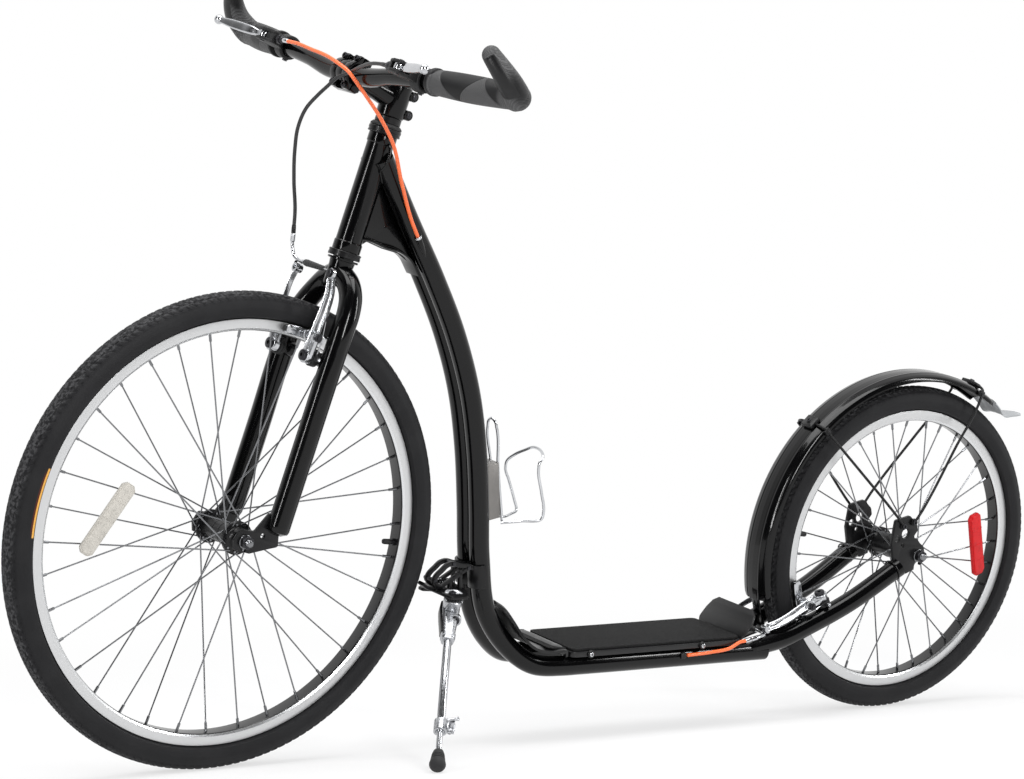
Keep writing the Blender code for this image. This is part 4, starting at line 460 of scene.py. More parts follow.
def rimAlloy(name, wheel, edge, track):
    # brushed alloy with a black bed; the brake tracks are machined with fine rings and rubbed darker by the pads
    book = Book(name)
    x, y = book.along(wheel[:3, 0], wheel[:3, 3]), book.along(wheel[:3, 1], wheel[:3, 3])
    reach = (x * x + y * y).math("SQRT")
    onTrack = reach.step(edge - track - 0.0004, edge - track + 0.0004)
    rings = book.noise(1.0, 2, where=book.node("ShaderNodeCombineXYZ", {}, {0: reach * 5200}))
    smear = book.noise(30, 4)
    speck = book.noise(600, 2).step(0.67, 0.78)
    tone = book.blend(onTrack, (0.7, 0.71, 0.72), (0.66, 0.665, 0.67))
    tone = book.blend(rings.step(0.5, 0.75) * onTrack * 0.5, tone, (0.46, 0.47, 0.48))
    tone = book.blend(speck * 0.15, tone, (0.4, 0.4, 0.4))
    bed = 1 - reach.step(edge - wheelForm["rimDepth"] + 0.0009, edge - wheelForm["rimDepth"] + 0.0013)
    tone = book.blend(bed, tone, (0.006, 0.006, 0.0065))
    return book.drive(Base_Color=tone, Metallic=(0.94 - speck * 0.1) * (1 - bed),
                      Roughness=0.27 + onTrack * 0.07 + (smear - 0.5) * 0.15 + rings * onTrack * 0.1 - bed * 0.1,
                      Normal=book.bump(rings * onTrack, 0.00002, 0.3))


def lens(name, colour):
    # reflector plastic: rows of small prisms under a glossy face
    book = Book(name, Specular_IOR_Level=0.2, Coat_Weight=0.12, Coat_Roughness=0.08)
    prism = book.cells(340)
    edge = book.cells(340, "DISTANCE_TO_EDGE")
    streak = book.noise(70, 3).step(0.48, 0.68)
    tone = book.blend(edge.step(0.02, 0.16), [c * 0.8 for c in colour], colour)
    tone = book.blend(streak * 0.5, tone, [c * 0.62 for c in colour])
    tone = book.blend(prism.step(0.2, 0.6) * 0.4, tone, [min(1, c * 1.15 + 0.01) for c in colour])
    return book.drive(Base_Color=tone, Roughness=0.3 + prism * 0.2, Normal=book.bump(prism, 0.00012, 0.4))


def gritMat(name):
    # grip sheet: sharp mineral grains in black resin; the grains carry a painted glint that makes them paler,
    # stronger in scuffed patches
    book = Book(name, Specular_IOR_Level=0.15)
    grain = book.cells(1500)
    big = book.noise(420, 3)
    scuffAndGlint = book.noise(13, 5).step(0.45, 0.8)
    glint = grain.step(0.0, 0.18)
    tone = book.blend(big.step(0.4, 0.65), (0.007, 0.007, 0.0073), (0.018, 0.018, 0.018))
    # painted glint: the grains are coloured paler, partly real scuffing where the patches are stronger
    tone = book.blend((1 - glint) * 0.5 * (0.5 + scuffAndGlint * 0.5), tone, (0.05, 0.049, 0.047))
    return book.drive(Base_Color=tone, Roughness=0.82 - (1 - glint) * 0.3,
                      Normal=book.bump(big * 0.7 - grain * 0.6, 0.0005, 0.8))


def casingSkin(name, colour):
    # extruded plastic over a wound wire: faint rings along its length
    book = Book(name, Specular_IOR_Level=0.5, Coat_Weight=0.15, Coat_Roughness=0.2)
    uv = book.node("ShaderNodeUVMap", {"uv_map": "UVMap"}, {})
    u = book.node("ShaderNodeSeparateXYZ", {}, {0: uv})
    wound = (u * 3600).math("SINE")
    dust = book.noise(120, 4).step(0.45, 0.75)
    tone = book.blend(dust * 0.35, colour, [c * 0.8 + 0.01 for c in colour])
    return book.drive(Base_Color=tone, Roughness=0.36 + dust * 0.14, Normal=book.bump(wound, 0.00005, 0.35))


finishes = {
    "black": paint("glossBlackPaint", (0.0012, 0.0012, 0.0014)),
    "satin": paint("satinBlackMetal", (0.005, 0.005, 0.0055), 0.34, 0.3, 0.1),
    "darkSteel": steel("darkSteel", (0.055, 0.055, 0.06), 0.36),
    "plastic": moulded("blackPlastic", (0.007, 0.007, 0.0075)),
    "rubber": rubber("padRubber", (0.014, 0.014, 0.015)),
    "boot": rubber("bootRubber", (0.018, 0.018, 0.019), 0.5),
    "alloy": steel("forgedAlloy", (0.6, 0.61, 0.63), 0.2, 1.0, 120, (1, 1, 6)),
    "cast": steel("castAlloy", (0.52, 0.53, 0.55), 0.28, 0.95, 220, (1, 1, 1)),
    "wire": steel("brightWire", (0.66, 0.67, 0.69), 0.1, 1.0, 200, (1, 1, 3)),
    "spoke": steel("spokeWire", (0.24, 0.245, 0.255), 0.28, 1.0, 300, (1, 1, 1)),
    "orange": casingSkin("orangeCasing", (0.8, 0.14, 0.035)),
    "blackCasing": casingSkin("blackCasing", (0.01, 0.01, 0.011)),
    "grit": gritMat("deckGrit"),
    "flap": moulded("greyPlastic", (0.3, 0.31, 0.32), 0.42),
}
print("finishes made")


# Wheels

wheels = {
    "front": {"place": frontWheel, "body": "front_wheel", "bead": 0.2795, "hub": 0.0148, "valve": 185.6,
              "pitches": 168, "stripe": (-20.0, -1.8, 0.2912, 0.2942),
              "reflector": {"angle": 9.0, "radius": 0.187, "length": 0.108, "tilt": 24.0, "wide": 0.0105,
                            "colour": (0.46, 0.44, 0.4)}},
    "rear": {"place": rearWheel, "body": "rear_wheel", "bead": 0.203, "hub": 0.0172, "valve": 8.8, "pitches": 128,
             "stripe": None,
             "reflector": {"angle": 180.0, "radius": 0.151, "length": 0.1, "tilt": -17.0, "wide": 0.0125,
                           "colour": (0.52, 0.004, 0.007)}},
}
wheelForm = {"tyreHeight": 0.0425, "hook": 0.007, "rimDepth": 0.0158, "brakeTrack": 0.012, "treadAngle": 52.0,
             "treadDepth": 0.0013, "spokes": 36, "crossings": 3, "spokeRadius": 0.00105, "spokeCircle": 0.0185,
             "flangeSpread": 0.034, "flangeRadius": 0.0225, "stagger": 0.0024, "hubHalf": 0.05, "dropout": 0.0055}


def wheelPoint(place, degrees, radius, side=0.0):
    a = math.radians(degrees)
    return at(place, (radius * math.cos(a), -radius * math.sin(a), side))


def revolve(place, section, rows):
    # a closed section (radius, side), the same all round or one for each row, carried round the axle
    section = np.broadcast_to(section, (rows,) + np.shape(section)[-2:])
    t = turnsOf(rows)[:, None]
    grid = np.stack([section[..., 0] * np.cos(t), section[..., 0] * np.sin(t), section[..., 1]], -1)
    return skin(at(place, grid), loopAlong=True)


def tyreSkin(place, bead, pitches):
    # a round section carried round the axle; its radius drops in the tread's slanted grooves and two rings
    form = wheelForm
    half = wheelSizes["tyreWidth"] / 2
    radius = bead + form["tyreHeight"]
    edge = bead + form["hook"]
    crown = np.radians(np.linspace(-form["treadAngle"], form["treadAngle"], 41))
    wall = np.radians(np.linspace(form["treadAngle"] + 4, 117, 9))
    a = np.concatenate([-wall[::-1], crown, wall])
    rows = pitches * 7
    w = np.clip(np.abs(np.degrees(a)) / form["treadAngle"], 0, 1.3)[None]          # 0 mid-tread, 1 at its shoulders
    u = np.arange(rows)[:, None] / rows * pitches
    mirror = np.where(a > 0, 0.5, 0.0)[None]

    def dip(value, width):
        # 1 in the middle of a groove, falling to 0 at its edges
        return np.clip(1.6 * (1 - np.abs(value) / width), 0, 1)

    slant = (u + 1.3 * w + mirror) % 1.0 - 0.5
    fine = (2 * u - 1.2 * w + mirror) % 1.0 - 0.5
    depth = dip(slant, 0.17) * (w > 0.14) * (w < 0.96)
    depth = np.maximum(depth, 0.6 * dip(fine, 0.2) * (w < 0.5))
    depth = np.maximum(depth, dip(w - 0.56, 0.06))
    depth = np.maximum(depth, 0.7 * dip(w - 0.1, 0.05))
    shoulder = 0.0006 * (w > 0.96) * (w < 1.05) * ((u % 1.0) > 0.35)
    lip = 0.0005 * np.exp(-((np.abs(np.degrees(a))[None] - 86) / 3.0) ** 2)
    grown = half - 0.0002 - form["treadDepth"] * depth * (w <= 1.0) + shoulder + lip
    squash = 1 - 0.035 * np.cos(a)[None] ** 8
    section = np.stack([radius - half + grown * squash * np.cos(a)[None], grown * np.sin(a)[None]], -1)
    foot = wheelSizes["rimWidth"] / 2 - 0.0021
    ends = np.array([(edge + 0.0012, foot), (edge - 0.003, foot - 0.0006), (edge - 0.003, 0.0006 - foot),
                     (edge + 0.0012, -foot)])
    return revolve(place, np.concatenate([section, np.broadcast_to(ends, (rows, 4, 2))], 1), rows)


def rimSkin(place, bead):
    # the rim's closed section, its corners rounded, carried round the axle
    form = wheelForm
    edge = bead + form["hook"]
    half = wheelSizes["rimWidth"] / 2
    track, bed, wallIn = edge - form["brakeTrack"], edge - form["rimDepth"], half - 0.0016
    outside = [(edge, half), (track, half), (track - 0.0006, half - 0.0004), (bed + 0.001, half - 0.0016),
               (bed, half - 0.0036)]
    inside = [(edge, -wallIn), (edge - 0.0075, -wallIn)]
    corners = outside + mirrored(outside, 1, -1) + inside + mirrored(inside, 1, -1)
    return revolve(place, fillet(corners, 0.0006, 2, True), 288)


def hubParts(place, h):
    # the shell with its two flanges, turned round the axle
    form = wheelForm
    s, f = form["flangeSpread"], form["flangeRadius"]
    half = [(0, h), (0.006, h), (0.0064, h + 0.0004), (0.0084, h + 0.0004), (0.0088, h), (s - 0.01, h),
            (s - 0.004, h + 0.001), (s - 0.0025, h + 0.0018), (s - 0.0025, f - 0.0006), (s - 0.0018, f),
            (s + 0.0018, f), (s + 0.0025, f - 0.0006), (s + 0.0025, 0.0165), (s + 0.004, 0.0145),
            (s + 0.0088, 0.0126), (s + 0.0092, 0.0118), (s + 0.0092, 0.0086)]
    return [(lathe(mirrored(half[1:]) + half, 64, place), finishes["satin"])]


def spokeParts(place, bead):
    # each spoke: a head behind its flange, an elbow, the straight wire, and a nipple that swells at the rim
    form = wheelForm
    bed = bead + form["hook"] - form["rimDepth"]
    pitch, wire = 720 / form["spokes"], form["spokeRadius"]
    parts = []
    for side in (1, -1):
        for k in range(form["spokes"] // 2):
            lead = 1 if k % 2 else -1
            hole = k * pitch + (pitch / 2 if side < 0 else 0)
            z = side * (form["flangeSpread"] + lead * form["stagger"])
            start = wheelPoint(place, hole, form["spokeCircle"], z)
            end = wheelPoint(place, hole + lead * form["crossings"] * pitch, bed + 0.0004, side * 0.0015)
            way = unit(end - start)
            outwards = place[:3, 2] * side * lead
            path = [start - outwards * d for d in (0.0062, 0.0048, 0.0047, 0.0012)]
            path += [start + way * d for d in (0.0012, 0.006)]
            path += [end - way * d for d in (0.0125, 0.0122, 0.0115, 0.003, 0)]
            radius = [0.0016, 0.0018, 0.001, 0.001, 0.001, wire, wire, 0.0012, 0.0019, 0.0019, 0.0023]
            up = place[:3, 2] * 0.3 + place[:3, 0] * 0.1 + np.cross(way, place[:3, 2])
            parts.append((tube(path, radius, 8, up), finishes["spoke"]))
    return parts


def valveParts(place, bead, degrees):
    # the valve stem through the rim, its collar nut and its cap, turned round the line to the axle
    foot = wheelPoint(place, degrees, bead + wheelForm["hook"] - wheelForm["rimDepth"])
    spot = aim(foot, place[:3, 3] - foot, place[:3, 2])
    stem = [(-0.02, 0.0029), (0.0, 0.0029), (0.0, 0.0048), (0.0028, 0.0048), (0.0032, 0.0041), (0.0032, 0.003),
            (0.0055, 0.0029), (0.006, 0.0036)]
    cap = [(0.006, 0.0036), (0.0064, 0.004), (0.015, 0.0038), (0.0172, 0.0034), (0.0178, 0.0026)]
    return [(lathe(stem, 20, spot), finishes["darkSteel"]), (lathe(cap, 20, spot), finishes["plastic"])]


def innerTube(place, bead):
    middle, radius = bead + wheelForm["tyreHeight"] - wheelSizes["tyreWidth"] / 2, 0.015
    return revolve(place, radius * ring(24) + (middle, 0), 120)


def reflectorParts(name, place, bead, form):
    # a long lens with three ribs across its raised face, lying along the cone of the left-hand spokes
    bed = bead + wheelForm["hook"] - wheelForm["rimDepth"]
    circle, spread = wheelForm["spokeCircle"] / 2, wheelForm["flangeSpread"] + wheelForm["stagger"]
    share = (form["radius"] - circle) / (bed - circle)
    back = spread * (1 - share) + 0.0015 * share + 0.0013
    slope = math.degrees(math.atan((spread - 0.0015) / (bed - circle)))
    spot = place @ turn("z", -form["angle"]) @ shift(form["radius"], 0, back)
    spot = spot @ turn("y", slope) @ turn("z", -form["tilt"])
    half, wide = form["length"] / 2, form["wide"]

    def outline(cut):
        w, h, chamfer = wide - cut, half - cut, 0.0055
        corner = [(-w, -h + chamfer), (-w + chamfer, -h)]
        edge = corner + mirrored(corner)
        return fillet(edge + mirrored(edge, 1, -1), 0.002, 3, True)

    face = lens(name + "ReflectorLens", form["colour"])
    parts = [(plate(outline(0), 0, 0.0056, spot, 0.0008), face),
             (plate(outline(0.0014), 0.005, 0.0068, spot, 0.0006, 0.0004), face)]
    for y in (-0.5 * half, 0.0, 0.5 * half):
        parts.append((block((-wide + 0.0015, y - 0.0007, 0.0062), (wide - 0.0015, y + 0.0007, 0.0076), spot, 0.0004),
                      face))
    return parts


def axleParts(place):
    # threaded axle, cones and lock nuts inside the dropouts, and a washer and a flanged hexagon nut outside each
    half, thick = wheelForm["hubHalf"], wheelForm["dropout"]
    heights = np.linspace(half - 0.001, half + thick + 0.0142, 60)
    thread = [(z, 0.0047 - 0.00022 * (k % 2)) for k, z in enumerate(heights)] + [(heights[-1] + 0.0006, 0.0036)]
    parts = [(lathe(mirrored(thread) + thread, 20, place), finishes["spoke"])]
    for side in (1, -1):
        spot = place @ (np.eye(4) if side > 0 else turn("x", 180))
        cone = [(0.0325, 0.005), (0.0335, 0.008), (0.045, 0.008), (0.0456, 0.0074), (0.0456, 0.0084),
                (0.0492, 0.0084), (0.0496, 0.0078)]
        parts.append((lathe(cone, 36, spot), finishes["darkSteel"]))
        seat = half + thick + 0.0004
        washer = [(seat, 0.005), (seat, 0.0092), (seat + 0.0003, 0.0096), (seat + 0.0015, 0.0096),
                  (seat + 0.0018, 0.0092), (seat + 0.0018, 0.005)]
        parts.append((lathe(washer, 36, spot), finishes["spoke"]))
        low = seat + 0.0019
        nut = [(low, 0.0078, 0), (low, 0.009, 0.4), (low + 0.0008, 0.0094, 1), (low + 0.0062, 0.0094, 1),
               (low + 0.007, 0.0088, 0.6), (low + 0.0074, 0.0078, 0), (low + 0.0074, 0.0052, 0),
               (low + 0.0066, 0.0048, 0)]
        parts.append((lathe(nut, 48, spot), finishes["darkSteel"]))
    return parts


for name, wheel in wheels.items():
    place, bead, body = wheel["place"], wheel["bead"], wheel["body"]
    tyreFinish = tyreRubber(name + "TyreRubber", place, bead + wheelForm["tyreHeight"], wheel["stripe"])
    makePiece(name + "Tyre", [(tyreSkin(place, bead, wheel["pitches"]), tyreFinish)], body, [name + "_tyre"],
              "tyre_rubber", 50)
    rimFinish = rimAlloy(name + "RimAlloy", place, bead + wheelForm["hook"], wheelForm["brakeTrack"])
    makePiece(name + "Rim", [(rimSkin(place, bead), rimFinish)], body, [name + "_rim"], "silver_alloy", 32)
    makePiece(name + "Hub", hubParts(place, wheel["hub"]) + spokeParts(place, bead), body, [name + "_hub"],
              "black_steel")
    makePiece(name + "InnerTube", [(innerTube(place, bead), finishes["rubber"])]
              + valveParts(place, bead, wheel["valve"]), body, [name + "_inner_tube"], "grip_rubber")
    makePiece(name + "Reflector", reflectorParts(name, place, bead, wheel["reflector"]), body,
              [name + "_reflector"], name + "_reflector")
    makePiece(name + "Axle", axleParts(place), "steering" if name == "front" else "scooter", [name + "_axle"],
              "black_steel")
print("wheels made")


# Upright coordinates: X forward, Y to the left, Z up from the ground under the rear axle

steer = np.linalg.inv(scooter) @ steering        # the steering frame in them
headFoot = steer[:3, 3]
axles = {"rear": np.array((0, 0, wheelSizes["rearRadius"])), "front": np.array((1.167, 0, wheelSizes["frontRadius"]))}
gap = 0.0003


def build(name, parts, body, nodes, slot, sharp=38):
    # a piece drawn in upright coordinates
    placed = [({**part, "points": at(scooter, part["points"])}, material) for part, material in parts]
    makePiece(name, placed, body, nodes, slot, sharp)


def facing(origin):
    # a place for flat pieces that stand along the scooter: X forward, Y up, Z to the right
    return placeOf(origin, (1, 0, 0), (0, 0, 1), (0, -1, 0))


def polar(degrees, radius, y=0.0):
    # a point round the rear axle
    a = math.radians(degrees)
    return axles["rear"] + np.array((radius * math.cos(a), y, radius * math.sin(a)))


def circle(x, y, radius, sides=24, turnFrom=0.0, turnTo=360.0):
    a = np.radians(np.linspace(turnFrom, turnTo, sides, endpoint=turnTo - turnFrom < 360))
    return np.stack([x + radius * np.cos(a), y + radius * np.sin(a)], -1)


def flat(loops, low, high, place):
    # a flat piece with holes: a filled curve with bevelled edges; the first loop is its outline, the others are holes
    bevel = 0.0006
    curve = bpy.data.curves.new("flat", "CURVE")
    curve.dimensions, curve.fill_mode = "2D", "BOTH"
    curve.extrude, curve.offset = (high - low) / 2 - bevel, -bevel
    curve.bevel_depth, curve.bevel_resolution = bevel, 1
    for loop in loops:
        spline = curve.splines.new("POLY")
        spline.points.add(len(loop) - 1)
        spline.points.foreach_set("co", np.column_stack([loop, np.zeros(len(loop)), np.ones(len(loop))]).ravel())
        spline.use_cyclic_u = True
    holder = bpy.data.objects.new("flat", curve)
    mesh = bpy.data.meshes.new_from_object(holder)
    points = np.empty(len(mesh.vertices) * 3)
    mesh.vertices.foreach_get("co", points)
    mesh.calc_loop_triangles()
    corners = np.empty(len(mesh.loop_triangles) * 3, int)
    mesh.loop_triangles.foreach_get("vertices", corners)
    bpy.data.objects.remove(holder)
    bpy.data.curves.remove(curve)
    bpy.data.meshes.remove(mesh)
    points, index = np.unique(np.round(points.reshape(-1, 3), 6), axis=0, return_inverse=True)
    faces = index.ravel()[corners].reshape(-1, 3)
    faces = faces[(faces != np.roll(faces, 1, 1)).all(1)]
    if np.einsum("ij,ij->i", points[faces[:, 0]], np.cross(points[faces[:, 1]], points[faces[:, 2]])).sum() < 0:
        faces = faces[:, ::-1]
    points[:, 2] += (low + high) / 2
    return {"points": at(place, points), "quads": faces, "ends": [], "uv": np.zeros((len(faces) * 3, 2))}


def rod(start, end, radius, sides=24, bevel=0.0006):
    # a round bar with softened ends
    length = np.linalg.norm(np.subtract(end, start))
    profile = [(0, radius - bevel), (0.3 * bevel, radius - 0.3 * bevel), (bevel, radius), (length - bevel, radius),
               (length - 0.3 * bevel, radius - 0.3 * bevel), (length, radius - bevel)]
    return lathe(profile, sides, aim(start, np.subtract(end, start), (0.3, 0.9, 0.1)))


def strap(path, thick, wide, up=(0, 1, 0), place=None, corner=0.0008):
    # a flat bar along a path: thick across it, wide along up; both may change from row to row
    path = np.asarray(path, float)
    thick, wide = (np.broadcast_to(np.asarray(v, float), (len(path),)) for v in (thick, wide))
    outlines = [fillet([(-t, -w), (t, -w), (t, w), (-t, w)], corner, 2, True) for t, w in zip(thick / 2, wide / 2)]
    return skin(carry(path, np.array(outlines), up, place))


def seam(start, way, radius, axisPoint, axisWay, bigRadius):
    # where a tube meets a bigger one: along each line of its wall, the distance to the big wall solves a quadratic
    sides = 56
    w, axisWay = unit(way), unit(axisWay)
    rim = at(aim(start, w, (0.2, 0.95, 0.1)), np.column_stack([radius * ring(sides), np.zeros(sides)]))
    d = w - (w @ axisWay) * axisWay
    p = rim - np.asarray(axisPoint)
    p = p - (p @ axisWay)[:, None] * axisWay
    b = p @ d
    root = np.maximum(b * b - (d @ d) * ((p * p).sum(1) - bigRadius**2), 0)
    loop = rim + ((-b - np.sqrt(root)) / (d @ d))[:, None] * w
    return np.concatenate([loop, loop[:1]])


# Frame

frameForm = {"tube": 0.0143, "spread": 0.0147, "railSpread": 0.0425, "rail": 0.1154, "rear": 0.266, "front": 0.6,
             "head": 0.018, "headLength": 0.161, "headWall": 0.0016, "dropout": wheelForm["dropout"],
             "hubHalf": wheelForm["hubHalf"], "bars": (0.569, 0.392, 0.29), "bar": 0.009, "port": 0.7225,
             "casing": 0.0025}


def mainTube(side, spacing=0.006):
    f = frameForm
    low = [(f["rear"], f["railSpread"], f["rail"]), (0.43, f["railSpread"], f["rail"]),
           (f["front"], f["railSpread"], f["rail"]), (0.6234, 0.0415, f["rail"] - 0.0002),
           (0.6735, 0.036, f["rail"] + 0.0046), (0.71, 0.0265, f["rail"] + 0.0291), (0.7426, 0.0185, 0.1865),
           (0.7633, f["spread"], 0.27), (0.7725, f["spread"], 0.34), (0.7854, f["spread"], 0.42)]
    high = [(-0.211, -0.1945), (-0.1786, -0.1145), (-0.1343, -0.0345), (-0.0837, 0.0455), (-0.0356, 0.1255)]
    points = low + [(headFoot[0] + x, f["spread"], headFoot[2] + z) for x, z in high]
    return smoothPath(np.array(points) * (1, side, 1), spacing)


def stayPath(side):
    points = [(0.318, 0.0425, 0.116), (0.266, 0.0425, 0.1242), (0.235, 0.044, 0.1305), (0.1835, 0.0465, 0.1505),
              (0.1235, 0.0495, 0.1774), (0.0355, 0.0545, 0.2298)]
    return smoothPath(np.array(points) * (1, side, 1), 0.006)


def tubeAt(height):
    # the point midway between the main tubes at a height, and the way up along them
    path = mainTube(1, 0.003) * (1, 0, 1)
    path = path[path[:, 0] > frameForm["front"]]
    k = np.searchsorted(path[:, 2], height)
    way = unit(path[k] - path[k - 1])
    return path[k - 1] + way * (height - path[k - 1][2]) / way[2], way


def cablePort():
    middle, way = tubeAt(frameForm["port"])
    ahead = np.array((way[2], 0, -way[0]))
    reach = frameForm["tube"] + frameForm["casing"] + 0.001
    spot = middle + (0, frameForm["spread"] + 0.95 * reach, 0) + ahead * 0.3 * reach
    return spot, unit(way + (0, 0.1, 0))


def brakePost(place, side):
    # shoulder, spindle and the bolt whose head holds the arm on
    spot = place @ shift(0, side * brakeForm["spread"], 0) @ turn("y", 90)
    stand, half = brakeForm["stand"], brakeForm["thick"] / 2
    profile = [(0.0, 0.01), (0.004, 0.0102), (0.009, 0.0088), (0.011, 0.008), (stand - half - 0.0034, 0.008),
               (stand - half - 0.003, 0.0088), (stand - half - 0.001, 0.0088), (stand - half - gap, 0.0082),
               (stand - half - gap, 0.004), (stand + half + gap, 0.004)]
    head = screwHead(spot @ shift(0, 0, stand + half + gap), 0.0074, 0.0034, 0.42)
    return [(lathe(profile, 32, spot), finishes["black"]), (head, finishes["darkSteel"])]


def dropoutPlate(loops, side, place):
    # one of the two plates beside a hub
    low = -frameForm["hubHalf"] - frameForm["dropout"] if side > 0 else frameForm["hubHalf"]
    return flat(loops, low, low + frameForm["dropout"], place), finishes["satin"]


def brakePlace(axle, out, ahead, track, offset):
    # the brake's own place: Z out from the axle, X ahead; the arms stand on posts and tilt towards the rim's track
    z, x = unit(out), unit(ahead)
    tilt = math.asin((offset + brakeForm["stand"]) / track)
    rise = track * math.cos(tilt) - brakeForm["below"]
    return {"place": placeOf(axle + x * offset + z * rise, x, np.cross(z, x), z), "track": track, "tilt": tilt,
            "rise": rise}


brakeForm = {"spread": 0.042, "below": 0.0265, "stand": 0.029, "length": 0.105, "thick": 0.01, "topBoss": 0.0072,
             "padGap": 0.0015, "padLength": 0.062, "padHeight": 0.01, "padThick": 0.01, "noodle": 0.0025,
             "noodleStart": 0.012}
stayWay = unit(np.array((0.1835 - 0.1235, 0, 0.1505 - 0.1774)))
stayOff = np.array((-stayWay[2], 0, stayWay[0]))
brakes = {
    "front": brakePlace(axles["front"], steer[:3, 2], steer[:3, 0], 0.2805, -0.04),
    "rear": brakePlace(axles["rear"], stayWay, stayOff, 0.204,
                       float((np.array((0.1235, 0, 0.1774)) - axles["rear"]) @ stayOff)),
}

rearPlate = [(0.02, -0.027), (0.042, -0.024), (0.054, 0.02), (0.051, 0.055), (0.024, 0.061), (0.009, 0.048),
             (0.006, 0.038), (0.013, 0.029), (0.004, 0.022), (-0.009, 0.013), (-0.013, 0.0), (-0.009, -0.013),
             (-0.0056, -0.0152)]
slotRadius = 0.0054


def frameParts():
    f = frameForm
    black = finishes["black"]
    parts = []
    for side in (1, -1):
        tubePath = mainTube(side)
        parts.append((tube(tubePath, f["tube"], 36), black))
        stay = stayPath(side)
        slim = np.where(stay[:, 0] > f["rear"] + 0.03, f["tube"] - 0.0025, f["tube"])
        parts.append((tube(stay, slim, 36), black))
        parts += brakePost(brakes["rear"]["place"], side)
        outline = np.concatenate([fillet(rearPlate, 0.004, 4), circle(0, 0, slotRadius, 14, 180, 0),
                                  [(slotRadius, -0.0214)]])
        holes = [circle(0.0292, 0.0343, 0.0072), circle(0.044, 0.027, 0.005), circle(0.033, 0.0165, 0.0032)]
        parts.append(dropoutPlate([outline] + holes, side, facing(axles["rear"])))
        for bar in f["bars"]:
            start = np.array((bar, side * 0.02, f["rail"]))
            parts.append((weldBead(seam(start, (0, side, 0), f["bar"], (bar, side * f["railSpread"], f["rail"]),
                                        (1, 0, 0), f["tube"]), 0.0013), black))
        foot = np.array((0.0355, side * 0.0545, 0.2298))
        wrap = roundPath(f["tube"] + 0.0006, aim(foot + stayWay * 0.012, stayWay, (0.1, 0.99, 0)))
        parts.append((weldBead(wrap, 0.0012, stayWay), black))
    for bar in f["bars"]:
        parts.append((rod((bar, -f["railSpread"], f["rail"]), (bar, f["railSpread"], f["rail"]), f["bar"], 28),
                      black))
    wall = f["head"] - f["headWall"]
    ringSize, long = 0.0012, f["headLength"]
    headProfile = fillet([(0.0, wall), (0.0, f["head"] + ringSize), (0.012, f["head"] + ringSize),
                          (0.0135, f["head"]), (long - 0.0135, f["head"]), (long - 0.012, f["head"] + ringSize),
                          (long, f["head"] + ringSize), (long, wall)], 0.0006, 2, True)
    parts.append((lathe(headProfile, 56, steer, True), black))
    path = mainTube(1) * (1, 0, 1)
    twin = path[(path[:, 0] > f["front"]) & (path[:, 2] > 0.27) & (path[:, 2] < headFoot[2] + 0.11)]
    parts.append((strap(twin, 0.008, 2 * f["spread"] - f["tube"]), black))
    top = headFoot + np.array((-0.0356, 0, 0.1255))
    way = unit(mainTube(1)[-1] - mainTube(1)[-3])
    for side in (1, -1):
        start = top + np.array((0, side * f["spread"], 0)) - way * 0.12
        parts.append((weldBead(seam(start, way, f["tube"] * 0.98, headFoot, steer[:3, 2], f["head"]), 0.0016, way),
                      black))
    web = [(-0.014, 0.004), (-0.03, 0.013), (-0.055, 0.0035), (-0.081, -0.003), (-0.097, -0.014), (-0.125, -0.02),
           (-0.085, 0.05), (-0.04, 0.115), (-0.036, 0.115)]
    parts.append((plate(fillet(web, 0.004, 3, True), -0.003, 0.003, facing(headFoot), 0.0008), black))
    edge = [(-0.004, 0.017), (-0.026, 0.0145), (-0.055, 0.0045), (-0.079, -0.0015), (-0.093, -0.01), (-0.11, -0.033)]
    edgePath = smoothPath([headFoot + np.array((x, 0, z + 0.002)) for x, z in edge], 0.003)
    parts.append((strap(edgePath, 0.003, 0.03), black))
    for side in (1, -1):
        parts.append((weldBead(edgePath + np.array((0, side * 0.0042, 0.0026)), 0.0013), black))
    # the fender's front bracket lies under its end and runs to the rails
    bracket = [polar(degrees, 0.2627) for degrees in (-8, -14, -19, -24)]
    bracket += [(f["rear"], 0, f["rail"] + 0.0125), (f["rear"] + 0.024, 0, f["rail"] + 0.005)]
    parts.append((strap(smoothPath(bracket, 0.003), 0.003, 0.016), black))
    mouth, up = cablePort()
    boss = [(0.0, 0.0006), (0.004, 0.0018), (0.012, 0.0034), (0.02, 0.0042), (0.033, 0.0043), (0.0337, 0.004),
            (0.0337, 0.0027), (0.029, 0.0027)]
    parts.append((lathe(boss, 32, aim(mouth - up * 0.034, up)), black))
    ferrule = [(0.0, 0.0027), (0.0, 0.0047), (0.0006, 0.005), (0.003, 0.005), (0.0034, 0.0047), (0.0034, 0.0027)]
    parts.append((lathe(ferrule, 32, aim(mouth - up * 0.0036, up), True), finishes["wire"]))
    exitSpot = np.array((0.4215, f["railSpread"] + f["tube"] - 0.001, f["rail"] + 0.0048))
    parts.append((lathe([(-0.004, 0.0052), (0.0002, 0.005), (0.0026, 0.004), (0.0032, 0.0034)], 28,
                        aim(exitSpot, (-0.9, 0.45, 0.08))), finishes["plastic"]))
    return parts


build("frameWeldment", frameParts(), "scooter", ["frame"], "black_paint")

cupForm = {"radius": 0.022, "height": 0.009, "steerer": 0.0143}


